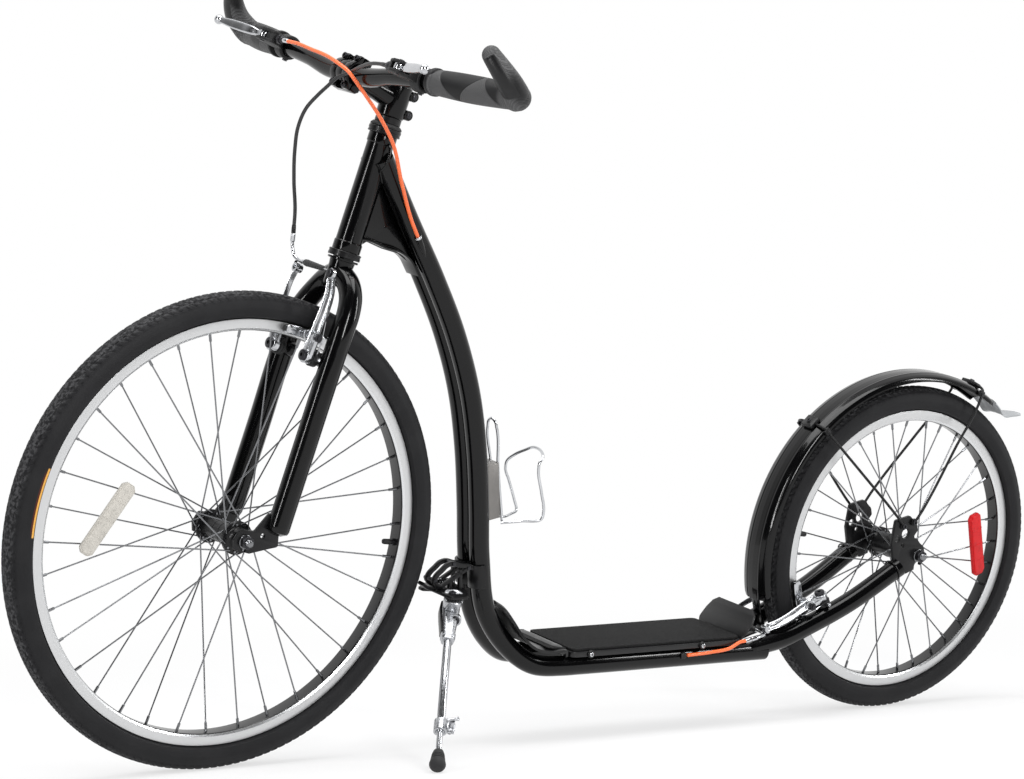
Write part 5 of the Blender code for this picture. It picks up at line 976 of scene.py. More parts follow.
def headsetPieces():
    # pressed cups with a shallow groove, a bearing ring inside each, the dust cover and the spacer
    insert, neck, seat = 0.0161, 0.015, 0.0198
    r, h, long = cupForm["radius"], cupForm["height"], frameForm["headLength"]
    cup = [(-0.012, neck), (-0.012, insert), (-0.0002, insert), (0.0, r - 0.0008), (0.0007, r), (0.0022, r),
           (0.0026, r - 0.0005), (0.0044, r - 0.0005), (0.0048, r), (h - 0.001, r), (h - gap, r - 0.0006),
           (h - gap, seat), (0.0022, seat), (0.0022, neck)]
    race = [(0.0025, neck), (0.0025, seat - 0.0006), (0.003, seat - gap), (0.0078, seat - gap),
            (0.0082, seat - 0.0008), (0.0082, 0.018), (0.0076, 0.0178), (0.0076, 0.0168), (0.0082, 0.0166),
            (0.0082, neck)]
    bore, low, top = cupForm["steerer"] + gap, long + h + 2 * gap, stemForm["low"] - gap
    cover = [(low, bore), (low, r - 0.0009), (low + 0.0004, r - 0.0005), (low + 0.0024, r - 0.0005),
             (low + 0.0032, r - 0.0013), (low + 0.005, 0.019), (low + 0.0055, 0.0182), (low + 0.0055, bore)]
    foot = low + 0.0055 + gap
    spacer = [(foot, bore), (foot, 0.0171), (foot + 0.0004, 0.0175), (top - 0.0004, 0.0175), (top, 0.0171),
              (top, bore)]

    def turned(name, profile, sides, spot, finish, body, node, slot):
        build(name, [(lathe(profile, sides, spot, True), finishes[finish])], body, [node], slot, 30)

    for name, spot in (("upper", steer @ shift(0, 0, long + gap)),
                       ("lower", steer @ turn("x", 180) @ shift(0, 0, gap))):
        node = "headset_" + name
        turned(name + "Cup", cup, 56, spot, "satin", "scooter", node + "_cup", "black_steel")
        turned(name + "Bearing", race, 48, spot, "wire", "scooter", node + "_bearing", "silver_alloy")
    turned("headsetCover", cover, 48, steer, "plastic", "steering", "headset_cover", "black_plastic")
    turned("stemSpacer", spacer, 48, steer, "satin", "steering", "stem_spacer", "black_steel")


stemForm = {"reach": 0.08, "height": 0.2223, "low": 0.1856, "top": 0.2291, "clamp": 0.019, "shell": 0.0182,
            "bar": 0.0127}
headsetPieces()


# Fork

def forkParts():
    black = finishes["black"]
    form = {"leg": 0.0155, "spread": 0.06, "ahead": 0.007, "low": 0.38, "shoulder": 0.085}
    race = -0.0103
    crown = [(-0.048, 0.012), (-0.047, 0.0158), (-0.044, 0.0165), (-0.02, 0.0165), (race - 0.0034, 0.0172),
             (race - 0.003, 0.02), (race - 0.0026, 0.0208), (race - 0.0004, 0.021), (race, 0.0204), (race, 0.0144),
             (0.2276, 0.0143), (0.2285, 0.0136)]
    parts = [(lathe(crown, 48, steer), black)]
    s, top = form["spread"], -form["shoulder"]
    for side in (1, -1):
        points = [(form["ahead"], s, -form["low"]), (form["ahead"], s, -0.25), (form["ahead"], s, -0.135),
                  (0.0055, 0.97 * s, top - 0.018), (0.0005, 0.86 * s, top + 0.008), (-0.003, 0.66 * s, top + 0.03),
                  (-0.003, 0.42 * s, top + 0.045), (-0.001, 0.12 * s, top + 0.054)]
        path = smoothPath(np.array(points) * (1, side, 1), 0.004)
        reach = lengthAlong(path)
        domed = form["leg"] * np.sqrt(1 - (1 - np.clip((reach + 0.0006) / 0.008, 0, 1)) ** 2)
        domed = np.where(reach < 0.008, np.maximum(domed, 0.4 * form["leg"]), form["leg"])
        parts.append((tube(path, domed, 40, (1, 0, 0), steer), black))
        outline = [(-0.0056, -0.014), (-0.012, -0.014), (-0.038, -0.002), (-0.052, 0.004), (-0.04, 0.044),
                   (-0.024, 0.044), (-0.01, 0.016), (0.012, 0.014), (0.017, -0.002), (0.012, -0.014)]
        loop = np.concatenate([fillet(outline, 0.004, 4), [(slotRadius, -0.014)],
                               circle(0, 0, slotRadius, 14, 0, 180)])
        spot = placeOf(axles["front"], steer[:3, 0], steer[:3, 2], -steer[:3, 1])
        parts.append(dropoutPlate([loop, circle(-0.024, 0.013, 0.0034)], side, spot))
        parts += brakePost(brakes["front"]["place"], side)
        post = brakes["front"]["place"] @ shift(0, side * brakeForm["spread"], 0)
        wrap = seam(post[:3, 3] + post[:3, 0] * 0.04, -post[:3, 0], 0.0095, at(steer, (form["ahead"], side * s, 0)),
                    steer[:3, 2], form["leg"])
        parts.append((weldBead(wrap, 0.0011, post[:3, 0]), black))
    return parts


build("forkWeldment", forkParts(), "steering", ["fork"], "black_paint")
print("frame, headset and fork made")


# Stem and bar

barCentre = at(steer, (stemForm["reach"], 0, stemForm["height"]))
stemBack = at(steer, (0, 0, stemForm["low"] + 0.0215))
# Z from the steerer to the bar, Y to the left
stemPlace = aim(barCentre, barCentre - stemBack)
barForm = {"radius": 0.0111, "clamp": 0.0127, "half": 0.325, "grip": 0.185}


def barPath(side, reach=1.0, spacing=0.004):
    points = [(0, 0, 0), (0, 0.045, 0), (0, 0.1, 0.008), (-0.007, 0.185, 0.0135), (-0.022, 0.26, 0.0138),
              (-0.022 - 0.018 * reach, 0.26 + 0.065 * reach, 0.0138)]
    return smoothPath(barCentre + np.array(points) * (1, side, 1), spacing)


def stemPieces():
    f = stemForm
    black, steelBlack = finishes["black"], finishes["darkSteel"]
    low, top, r = f["low"], f["top"], f["clamp"]
    wall = [(low, 0.0146), (low, r - 0.0012), (low + 0.0012, r), (top - 0.0012, r), (top, r - 0.0012), (top, 0.0146)]
    parts = [(lathe(fillet(wall, 0.0005, 2, True), 56, steer, True), black)]
    length = np.linalg.norm(barCentre - stemBack)
    t = np.linspace(0, 1, 26)
    line = np.stack([0 * t, 0 * t, -length + 0.006 + (length - 0.016) * t], -1)
    waist = 0.0152 - 0.0018 * np.sin(math.pi * t) ** 0.8
    parts.append((tube(line, waist, 44, (0, 1, 0), stemPlace), black))
    sideways = placeOf(stemPlace[:3, 3], stemPlace[:3, 0], stemPlace[:3, 2], -stemPlace[:3, 1])
    shell, bore = f["shell"], f["bar"] + 0.0004
    ear = [(0.0236, 0.0004), (0.0236, -0.0085), (0.02, -0.0125)]
    rear = np.concatenate([ear, circle(0, 0, shell, 22, -42, -138), mirrored(ear), circle(0, 0, bore, 24, 178, 362)])
    parts.append((plate(rear, -0.021, 0.021, sideways, 0.0008), black))
    for z in (low + 0.009, low + 0.0345):
        spot = steer @ shift(-0.0205, 0, z) @ turn("x", 90)
        eye = [(-0.013, 0.006), (-0.0124, 0.0067), (-0.001, 0.0068), (-0.0008, 0.0062)]
        parts.append((lathe(eye + mirrored(eye), 32, spot), black))
        parts.append((block((-0.021, -0.011, z - 0.0066), (-0.012, 0.011, z + 0.0066), steer, 0.001), black))
        parts.append((screwHead(spot @ shift(0, 0, 0.0131), 0.0041, 0.0038, 0.55), steelBlack))
        parts.append((lathe([(0.013, 0.0038), (0.0136, 0.0038), (0.015, 0.0024), (0.0152, 0.0016)], 20,
                            spot @ turn("x", 180)), steelBlack))
    wrap = roundPath(0.0156, stemPlace @ shift(0, 0, -0.0165))
    parts.append((weldBead(wrap, 0.0012, stemPlace[:3, 2]), black))
    build("stemBody", parts, "steering", ["stem"], "black_paint")

    ear = [(-0.0236, 0.002), (-0.0236, 0.0068), (-0.0215, 0.0082), (-0.017, 0.0092)]
    front = np.concatenate([ear, circle(0, 0, shell, 22, 150, 30), mirrored(ear), circle(0, 0, bore, 24, 6, 174)])
    parts = [(plate(front, y - 0.0062, y + 0.0062, sideways, 0.0008), black) for y in (-0.0143, 0.0143)]
    band = np.concatenate([circle(0, 0, shell - 0.0006, 22, 148, 32), circle(0, 0, bore, 22, 32, 148)])
    parts.append((plate(band, -0.0085, 0.0085, sideways, 0.0006), black))
    for x in (-0.019, 0.019):
        for y in (-0.0143, 0.0143):
            parts.append((screwHead(stemPlace @ shift(x, y, 0.0078), 0.004, 0.004, 0.58), steelBlack))
    build("stemFaceplate", parts, "steering", ["stem_faceplate"], "black_paint")

    lid = [(top + gap, r - 0.003), (top + 0.0004, r - 0.0022), (top + 0.0026, r - 0.0022), (top + 0.0038, r - 0.004),
           (top + 0.0046, 0.013), (top + 0.0048, 0.0072), (top + 0.0042, 0.0064)]
    bolt = screwHead(steer @ shift(0, 0, top + 0.004), 0.005, 0.0034, 0.55)
    parts = [(lathe(lid, 48, steer), finishes["satin"]), (bolt, steelBlack)]
    build("steererCap", parts, "steering", ["steerer_cap"], "black_steel")

    half = barPath(1, 0.9)
    whole = np.concatenate([(half * (1, -1, 1))[::-1], half[1:]])
    share = np.clip((np.abs(whole[:, 1]) - 0.045) / 0.055, 0, 1)
    thick = barForm["clamp"] + (barForm["radius"] - barForm["clamp"]) * share * share * (3 - 2 * share)
    build("handlebar", [(tube(whole, thick, 40, (0, 0, 1)), black)], "steering", ["handlebar"], "black_paint")


def gripRubber():
    # soft rubber: a zigzag parts the smooth upper panel from the paler hatched one below; the horn is hatched too
    book = Book("gripRubber", Specular_IOR_Level=0.24, Sheen_Weight=0.06, Sheen_Roughness=0.4)
    middle = at(scooter, barCentre + (0, 0, 0.0138))
    s = book.along(across, middle).math("ABSOLUTE") - barForm["grip"]
    h = book.along(upright, middle) * (1 / 0.0175)
    one, two = (((s + h * k) * 2100).math("SINE").step(0.2, 0.9) for k in (0.0175, -0.0175))
    wave = ((s + 0.0195) * (1 / 0.075)).math("FRACT")
    zigzag = (1 - (wave - 0.5).math("ABSOLUTE") * 2) * 2.2 - 1.1 - h
    ends = s.step(0.008, 0.01) * (1 - s.step(0.15, 0.16))
    horn = s.step(0.122, 0.13)
    panel = zigzag.step(-0.05, 0.05).math("MAXIMUM", horn) * ends
    hatch = one.math("MAXIMUM", two) * panel
    crease = (1 - zigzag.math("ABSOLUTE").step(0.02, 0.09)) * ends * (1 - horn)
    fine = book.noise(1300, 3)
    bloom = book.noise(22, 5).step(0.4, 0.8)
    tone = book.blend(bloom * 0.5, (0.007, 0.007, 0.0075), (0.015, 0.015, 0.016))
    tone = book.blend(panel * 0.8, tone, (0.056, 0.056, 0.057))
    tone = book.blend(hatch * 0.55, tone, (0.125, 0.125, 0.127))
    return book.drive(Base_Color=tone, Roughness=0.5 + panel * 0.1 + (fine - 0.5) * 0.2 + bloom * 0.1,
                      Normal=book.bump(hatch * 0.5 + fine * 0.2 - crease * 1.4, 0.0004, 0.9))


def gripParts(side, finish):
    # the palm swells into a wing behind the bar, the horn turns forward and up from the bar's end
    path = barPath(side, 1.0, 0.003)
    path = path[np.abs(path[:, 1]) >= barForm["grip"]]
    share = (np.abs(path[:, 1]) - barForm["grip"]) / (barForm["half"] - barForm["grip"])
    a = turnsOf(48)
    base = 0.016 + 0.0022 * np.sin(math.pi * share)
    base = np.where(share < 0.03, 0.015, base)
    wing = np.exp(-((share - 0.74) / 0.26) ** 2) * 0.0048
    back = np.clip(np.cos(a - math.pi), 0, 1)[None] ** 3
    flatten = 1 - 0.07 * np.sin(2 * a)[None] ** 2 * np.sin(math.pi * share)[:, None]
    radius = (base[:, None] + wing[:, None] * back) * flatten
    outline = np.stack([radius * np.sin(a)[None], radius * np.cos(a)[None]], -1)
    palm = skin(carry(path, outline, (1, 0, 0)))
    elbow = path[-1]
    ringPath = np.array([path[0] + (path[1] - path[0]) * t for t in (-0.5, -0.4, 0.2, 1.6, 2.2, 2.4)])
    collar = tube(ringPath, [0.015, 0.0176, 0.0182, 0.0182, 0.0176, 0.0158], 44, (0, 0, 1))
    tipWay = unit(np.array((0.037, -0.012 * side, 0.05)))
    bend = unit(np.array((0.5, 0.55 * side, 0.35)))
    points = [elbow + (-0.001, -0.016 * side, -0.001), elbow + (0.0005, -0.002 * side, 0.0),
              elbow + bend * 0.01 + tipWay * 0.012, elbow + bend * 0.007 + tipWay * 0.045, elbow + tipWay * 0.064]
    horn = smoothPath(points, 0.0025)
    reach = np.linalg.norm(horn - elbow, axis=1) / 0.064
    thick = 0.0176 - 0.0052 * reach ** 1.3
    tip = np.array((0.003, 0.006, 0.0085, 0.0105, 0.0116))
    horn = np.concatenate([horn, horn[-1] + tipWay * tip[:, None]])
    thick = np.concatenate([thick, 0.0124 * np.sqrt(1 - (tip / 0.0121) ** 2)])
    hornSkin = skin(carry(horn, ring(44) * (1.0, 0.94), (-0.2, side, 0.2), None, thick))
    # a smooth inlay on the horn's inner face: a thin shell over part of its girth that dips under at both ends
    arc = np.radians(np.concatenate([np.linspace(-50, 62, 18), np.linspace(62, -50, 18)]))
    lift = np.concatenate([np.full(18, 1.035), np.full(18, 0.97)])
    keep = slice(int(0.28 * len(horn)), len(horn) - 3)
    rise = np.sin(np.linspace(0, math.pi, len(horn[keep]))) ** 0.35
    swell = 0.96 + (lift[None] - 0.96) * rise[:, None]
    shell = np.stack([np.cos(arc) * side, np.sin(arc) * 0.94], -1)[None] * swell[..., None]
    inlay = skin(carry(horn[keep], shell * thick[keep][:, None, None], (-0.2, side, 0.2)))
    soft = [(part, finish) for part in (palm, collar, hornSkin, ball(elbow, 0.017, 40))]
    return soft + [(inlay, finishes["inlay"])]


stemPieces()
finishes["inlay"] = moulded("inlayPlastic", (0.0035, 0.0035, 0.004), 0.3, 900, 0.00005)
gripFinish = gripRubber()
for side, name in ((1, "left"), (-1, "right")):
    build(name + "Grip", gripParts(side, gripFinish), "steering", [name + "_grip"], "grip_rubber", 55)


# Levers

leverForm = {"out": 0.165, "reach": 0.041, "tilt": 22.8, "length": 0.086, "tip": 0.0218, "adjuster": 0.0225}


def leverPlace(side):
    tilt = math.radians(leverForm["tilt"])
    away = np.array((math.cos(tilt), 0, math.sin(tilt)))
    path = barPath(side, 1.0, 0.001)
    near = path[np.argmin(np.abs(np.abs(path[:, 1]) - leverForm["out"]))]
    origin = np.array((near[0], side * leverForm["out"], near[2])) + away * leverForm["reach"]
    return placeOf(origin, away, (0, 1, 0), np.cross(away, (0, 1, 0)))


def flutes(a):
    # the lathe's cut for the adjuster: 24 teeth, 5% deep
    return 1 - 0.05 * (np.cos(24 * a) < 0)


def leverHousing(side):
    place, y, reach = leverPlace(side), side, leverForm["reach"]
    plastic, metal = finishes["plastic"], finishes["darkSteel"]
    along = barPath(side, 1.0, 0.001)
    k = np.argmin(np.abs(np.abs(along[:, 1]) - leverForm["out"]))
    barWay = unit(along[k + 2] - along[k - 2]) * side
    band = aim(along[k], barWay, (1, 0, 0))
    ringProfile = fillet([(-0.0085, 0.0115), (-0.0085, 0.0162), (0.0085, 0.0162), (0.0085, 0.0115)], 0.001, 3, True)
    parts = [(lathe(ringProfile, 48, band, True), plastic)]
    cheek = [(-0.029, -0.008 * y), (-0.029, 0.008 * y), (-0.01, 0.01 * y), (0.005, 0.0092 * y), (0.008, 0.005 * y),
             (0.009, -0.006 * y), (0.004, -0.019 * y), (0.001, -0.024 * y), (-0.014, -0.024 * y)]
    for low, high in ((0.0046, 0.0085), (-0.0085, -0.0046)):
        parts.append((plate(fillet(cheek, 0.0035, 4, True), low, high, place, 0.001), plastic))
    core = [(-0.029, -0.0078 * y), (-0.029, 0.0078 * y), (-0.0128, 0.0096 * y), (-0.0128, -0.0128 * y),
            (0.005, -0.0128 * y), (0.0028, -0.02 * y), (0.0004, -0.0236 * y), (-0.0136, -0.0236 * y)]
    parts.append((plate(fillet(core, 0.0015, 3, True), -0.005, 0.005, place, 0.0004), plastic))
    neck = [(-0.033, -0.0062 * y), (-0.033, 0.0062 * y), (-0.024, 0.0074 * y), (-0.024, -0.0074 * y)]
    parts.append((plate(fillet(neck, 0.001, 2, True), -0.0082, 0.0082, place, 0.0012), plastic))
    parts.append((screwHead(place @ shift(0, 0, 0.0084), 0.0036, 0.0016, 0.5), metal))
    parts.append((screwHead(place @ shift(0, 0, -0.0084) @ turn("x", 180), 0.0036, 0.0012, 0.0), metal))
    parts.append((rod(at(place, (0, 0, -0.008)), at(place, (0, 0, 0.0084)), 0.0024, 20, 0.0003), metal))
    boss = place @ shift(-reach - 0.004, 0, -0.015) @ turn("x", 180)
    parts.append((lathe([(-0.003, 0.005), (0.0006, 0.0048), (0.001, 0.0044)], 24, boss), plastic))
    parts.append((screwHead(boss @ shift(0, 0, 0.0006), 0.0034, 0.0028, 0.5), metal))
    spot = aim(at(place, (-0.007, -leverForm["adjuster"] * y, 0)), place[:3, :3] @ (0, -y, 0), (1, 0, 0))
    dial = [(-0.002, 0.0046, 0), (0.003, 0.0046, 0), (0.0034, 0.004, 0), (0.0042, 0.004, 0), (0.0044, 0.0058, 0),
            (0.0048, 0.0062, 1), (0.0106, 0.0062, 1), (0.011, 0.0058, 0), (0.0112, 0.0046, 0), (0.0126, 0.0044, 0),
            (0.0156, 0.004, 0), (0.016, 0.0036, 0), (0.016, 0.0026, 0)]
    parts.append((lathe(dial, 96, spot, cut=flutes), metal))
    return parts


def leverBlade(side):
    # a forged blade: a rounded section with a hollow along its inner face, carried from the pivot to the ball
    place = leverPlace(side)
    points = [(-0.001, 0.002), (0.001, 0.014), (0.005, 0.022), (0.01, 0.04), (0.0155, 0.06), (0.0205, 0.08),
              (leverForm["tip"], leverForm["length"])]
    line = smoothPath([(x, side * y, 0) for x, y in points], 0.0015)
    out = np.abs(line[:, 1])
    half = np.interp(out, (0.002, 0.012, 0.022, 0.04, 0.06, 0.078, 0.086),
                     (0.0035, 0.0037, 0.0057, 0.0063, 0.006, 0.0046, 0.0042))
    deep = np.interp(out, (0.002, 0.012, 0.022, 0.06, 0.086), (0.004, 0.0038, 0.0034, 0.003, 0.0032))
    c, s = ring(36).T
    x = np.sign(c) * np.abs(c) ** 0.55
    z = np.sign(s) * np.abs(s) ** 0.7
    dish = 0.3 * (np.clip(-c, 0, 1) ** 2) * (1 - np.abs(z)) * np.clip((out - 0.02) / 0.01, 0, 1)[:, None]
    outline = np.stack([-(x[None] * (1 - dish)) * deep[:, None] * side, z[None] * half[:, None]], -1)
    alloy = finishes["alloy"]
    blade = skin(carry(line, outline, (0, 0, 1), place))
    hub = rod(at(place, (0, 0, -0.0041)), at(place, (0, 0, 0.0041)), 0.007, 36, 0.0005)
    nose = at(place, (leverForm["tip"], side * leverForm["length"], 0))
    barrel = rod(at(place, (-0.007, 0.002 * side, -0.0041)), at(place, (-0.007, 0.002 * side, 0.0041)), 0.0034, 24,
                 0.0004)
    return [(blade, alloy), (hub, alloy), (ball(nose, 0.0066, 28), alloy), (barrel, finishes["darkSteel"])]


for side, name in ((1, "left"), (-1, "right")):
    build(name + "LeverHousing", leverHousing(side), "steering", [name + "_lever_housing"], "black_plastic")
    build(name + "LeverBlade", leverBlade(side), name + "_lever", [name + "_brake_lever"], "silver_alloy")
print("stem, bar, grips and levers made")


# Rim brakes

def armParts(place, side, holdsNoodle):
    # a forged arm with a channel down both faces, twisted about its length
    f = brakeForm
    alloy, metal = finishes["alloy"], finishes["darkSteel"]
    x, spread, half = f["stand"], f["spread"], f["thick"] / 2
    line = [(0.0, 0.01), (0.0035, 0.024), (0.005, 0.044), (0.0072, 0.066), (0.0062, 0.086), (0.0, f["length"])]
    path = smoothPath([(x, side * (spread + y), z) for y, z in line], 0.0025)
    t = np.linspace(0, 1, len(path))
    w = np.interp(t, (0, 0.12, 0.3, 0.7, 1), (0.0152, 0.0148, 0.014, 0.0128, 0.0112)) / 2
    d = np.interp(t, (0, 0.2, 0.5, 1), (0.008, 0.0074, 0.0064, 0.0058)) / 2
    e, g = 0.0026 + 0 * t, 0.0013 * np.clip(np.minimum(t, 1 - t) / 0.12, 0, 1)
    quarter = [(d, w), (d, w - e), (d - g, w - e - g)]
    edge = quarter + mirrored(quarter, 1, -1)
    corners = edge + mirrored(edge)
    outlines = np.array([fillet([(a[k], b[k]) for a, b in corners], 0.0007, 2, True) for k in range(len(t))])
    parts = [(skin(carry(path, outlines, (-0.62, 0.78 * side, 0), place)), alloy)]
    # its broad foot round the pivot
    footPlace = placeOf(at(place, (x, side * spread, 0)), place[:3, 1] * side, place[:3, 2], place[:3, 0] * side)
    foot = [(-0.0095, -0.003), (-0.005, -0.0095), (0.005, -0.0095), (0.0105, -0.002), (0.012, 0.014), (0.0128, 0.026),
            (0.009, 0.035), (-0.001, 0.0355), (-0.006, 0.029), (-0.008, 0.014)]
    parts.append((plate(fillet(foot, 0.005, 5, True), -0.0036, 0.0036, footPlace, 0.0012), alloy))
    pivot = place @ shift(x, side * spread, 0) @ turn("y", 90)
    barrel = fillet([(-half, 0.0043), (-half, 0.0098), (half, 0.0098), (half, 0.0043)], 0.0008, 3, True)
    parts.append((lathe(barrel, 44, pivot, True), alloy))
    # the spring's housing, its adjusting screw and the spring's wire
    housing = [(-half - 0.0092, 0.0091), (-half - 0.0092, 0.011), (-half - 0.0086, 0.0118), (-half - 0.005, 0.0118),
               (-half - 0.0046, 0.0112), (-half - 0.0024, 0.0112), (-half - 0.002, 0.0118), (-half - 0.001, 0.0118),
               (-half - 0.0006, 0.0112), (-half - 0.0006, 0.0091)]
    parts.append((lathe(housing, 40, pivot, True), finishes["plastic"]))
    near, far = sorted((side * (spread + 0.008), side * (spread + 0.0165)))
    lug = block((x - half - 0.0072, near, -0.0034), (x - half - 0.0012, far, 0.0034), place, 0.001)
    parts.append((lug, finishes["plastic"]))
    parts.append((screwHead(aim(at(place, (x - half - 0.0042, side * (spread + 0.0162), 0)), place[:3, 1] * side,
                                place[:3, 0]), 0.0024, 0.0024, 0.5), finishes["wire"]))
    wire = [(x - half - 0.003, side * (spread + 0.01), 0.004), (x - half - 0.001, side * (spread + 0.014), 0.02),
            (x - 0.002, side * (spread + 0.0155), 0.05)]
    parts.append((tube(smoothPath(wire, 0.004), 0.0008, 8, (1, 0, 0), place), finishes["wire"]))
    # the pad's stud with its nut
    height, inner = f["below"], wheelSizes["rimWidth"] / 2 + f["padGap"] + f["padThick"] + 0.0023
    studPlace = aim(at(place, (x, side * inner, height)), place[:3, 1] * side, place[:3, 0])
    long = spread + 0.017 - inner
    stud = [(0, 0.006), (0.0006, 0.0066), (0.0024, 0.0066), (0.0028, 0.0052), (0.0036, 0.0052), (0.004, 0.0078),
            (0.0062, 0.0084), (0.0082, 0.0078), (0.0084, 0.005), (long - 0.0112, 0.005), (long - 0.011, 0.0078),
            (long - 0.0094, 0.0084), (long - 0.0074, 0.0084), (long - 0.007, 0.007), (long - 0.0068, 0.0054)]
    nut = [(long - 0.0068, 0.005, 0), (long - 0.0066, 0.0058, 1), (long - 0.0018, 0.0058, 1),
           (long - 0.0014, 0.005, 0), (long - 0.0014, 0.003, 0), (long, 0.0028, 0)]
    parts += [(lathe(stud, 32, studPlace), finishes["cast"]), (lathe(nut, 48, studPlace), metal)]
    # the noodle's cradle on one arm, the cable's bolt on the other
    head = f["length"] if holdsNoodle else f["length"] + 0.007
    top = place @ shift(x, side * spread, head) @ turn("y", 90)
    if holdsNoodle:
        cradle = fillet([(-half, 0.003), (-half, 0.0062), (half + 0.0006, 0.0062), (half + 0.0006, 0.003)], 0.0006, 2,
                        True)
        parts.append((lathe(cradle, 36, top, True), alloy))
        cage = [(x + 0.0028, side * (spread + 0.004), head + 0.002),
                (x + 0.0038, side * (spread + 0.003), head + 0.007),
                (x + 0.0034, side * (spread - 0.006), head + 0.0088),
                (x + 0.0022, side * (spread - 0.01), head + 0.0072)]
        parts.append((strap(smoothPath(cage, 0.0015), 0.001, 0.004, (1, 0, 0), place, 0.0003), metal))
    else:
        parts.append((lathe([(-half + 0.0044, 0.006), (-half + 0.005, 0.007), (half - 0.0004, 0.007), (half, 0.0062)],
                            32, top), alloy))
        parts.append((lathe([(half, 0.0062, 0), (half + 0.0006, 0.0064, 0), (half + 0.0008, 0.0054, 1),
                             (half + 0.0034, 0.0054, 1), (half + 0.0038, 0.0046, 0.5)], 40, top), metal))
    return parts


def padParts(brake, side):
    # a moulded block that follows the brake track, with drain grooves, in a thin holder
    f = brakeForm
    place, track, tilt, rise = brake["place"], brake["track"], brake["tilt"], brake["rise"]
    face = wheelSizes["rimWidth"] / 2 + f["padGap"]
    back = face + f["padThick"]
    rows = 61
    t = np.linspace(-0.5, 0.5, rows)
    angle = tilt + t * f["padLength"] / track
    shiftX = track * math.sin(tilt) - f["stand"]
    groove = 0.0012 * (np.abs(t[:, None] - (-0.26, 0.0, 0.26)) < 0.018).any(1)
    end = 0.0028 * np.clip((np.abs(t) - 0.42) / 0.08, 0, 1) ** 2
    half = f["padHeight"] / 2 - 0.6 * end
    pad = [(face, -0.92), (face + 0.0008, -1.0), (back - 0.0034, -1.0), (back - 0.0006, -0.62), (back, -0.5)]
    outside = [(back - 0.0042, -1.26), (back + 0.0004, -1.26), (back + 0.0014, -1.0)]
    inside = [(back - 0.0042, 1.04), (back + 0.0001, 0.98)]

    def swept(section, cut):
        # the section's corners (distance from the wheel's plane, share of the half height) swept round the axle
        y, z = np.array(section).T
        out = track + z[None] * half[:, None]
        inwards = (y <= face + 0.0008)[None]
        return skin(at(place, np.stack([out * np.sin(angle)[:, None] - shiftX,
                                        side * (y[None] + cut[:, None] * inwards),
                                        out * np.cos(angle)[:, None] - rise], -1)))

    tray = outside + mirrored(outside, 1, -1) + inside + mirrored(inside, 1, -1)
    spot = aim(at(place, (f["stand"], side * (back - 0.002), f["below"])), place[:3, 1] * side, place[:3, 0])
    boss = lathe([(0, 0.0044), (0.0034, 0.0046), (0.004, 0.004)], 28, spot)
    return [(swept(pad + mirrored(pad, 1, -1), end * 0.6 + groove), finishes["rubber"]),
            (swept(tray, 0 * t), finishes["alloy"]), (boss, finishes["darkSteel"])]


def noodlePath(side):
    f = brakeForm
    start, height, x = f["spread"] - f["noodleStart"], f["length"] + f["topBoss"] + f["noodle"] + gap, f["stand"]
    return np.array([(x, side * start, height), (x, side * (f["spread"] + 0.004), height),
                     (x + 0.002, side * (f["spread"] + 0.014), height + 0.004),
                     (x + 0.006, side * (f["spread"] + 0.019), height + 0.015),
                     (x + 0.01, side * (f["spread"] + 0.02), height + 0.031)])


def noodleEnd(name, side):
    path = at(brakes[name]["place"], noodlePath(side))
    way = unit(path[-1] - path[-2])
    return path[-1] + way * 0.0005, way


def noodleParts(place, side):
    path = smoothPath(noodlePath(side), 0.0012)
    radius = np.full(len(path), brakeForm["noodle"] - 0.0001)
    long = lengthAlong(path)
    radius = np.where(long < 0.006, 0.0029, radius)
    radius = np.where(long > long[-1] - 0.01, 0.0033, radius)
    radius[-1], radius[0] = 0.0029, 0.0024
    return [(tube(path, radius, 24, (1, 0, 0), place), finishes["wire"])]


def bootParts(place, side):
    # a rubber bellows over the bare wire, which runs on to the other arm's bolt
    f = brakeForm
    reach = f["spread"] - f["noodleStart"] - gap
    height = f["length"] + f["topBoss"] + f["noodle"] + gap
    far = reach + f["spread"] - f["topBoss"] - gap
    z = np.linspace(0, far - 0.018, 90)
    fold = 0.0006 * np.abs(np.sin(math.pi * z / 0.0042)) * np.clip((z - 0.003) / 0.003, 0, 1)
    radius = np.interp(z, (0, 0.002, 0.01, far - 0.02, far - 0.018), (0.0032, 0.0044, 0.004, 0.003, 0.0024)) + fold
    spot = aim(at(place, (f["stand"], side * reach, height)), -side * place[:3, 1], place[:3, 0])
    rubberPart = lathe(np.stack([z, radius], -1), 28, spot)
    inner = lathe([(far - 0.019, 0.0009), (far, 0.0009), (far + 0.0004, 0.0007)], 14, spot)
    return [(rubberPart, finishes["boot"]), (inner, finishes["wire"])]


for name, brake in brakes.items():
    holder = "steering" if name == "front" else "scooter"
    # the rear place looks to the right
    sides = {"left": 1, "right": -1} if name == "front" else {"left": -1, "right": 1}
    noodleSide = -1
    for which, side in sides.items():
        body = name + "_" + which + "_arm"
        build(name + which.title() + "BrakeArm", armParts(brake["place"], side, side == noodleSide), body,
              [name + "_brake_arm_" + which], "silver_alloy")
        build(name + which.title() + "BrakePad", padParts(brake, side), body, [name + "_brake_pad_" + which],
              "grip_rubber")
    holdingArm = [which for which, side in sides.items() if side == noodleSide][0]
    build(name + "Noodle", noodleParts(brake["place"], noodleSide), name + "_" + holdingArm + "_arm",
          [name + "_brake_noodle"], "bright_wire")
    build(name + "Boot", bootParts(brake["place"], noodleSide), holder, [name + "_brake_boot"], "grip_rubber")
print("brakes made")


# Brake cables

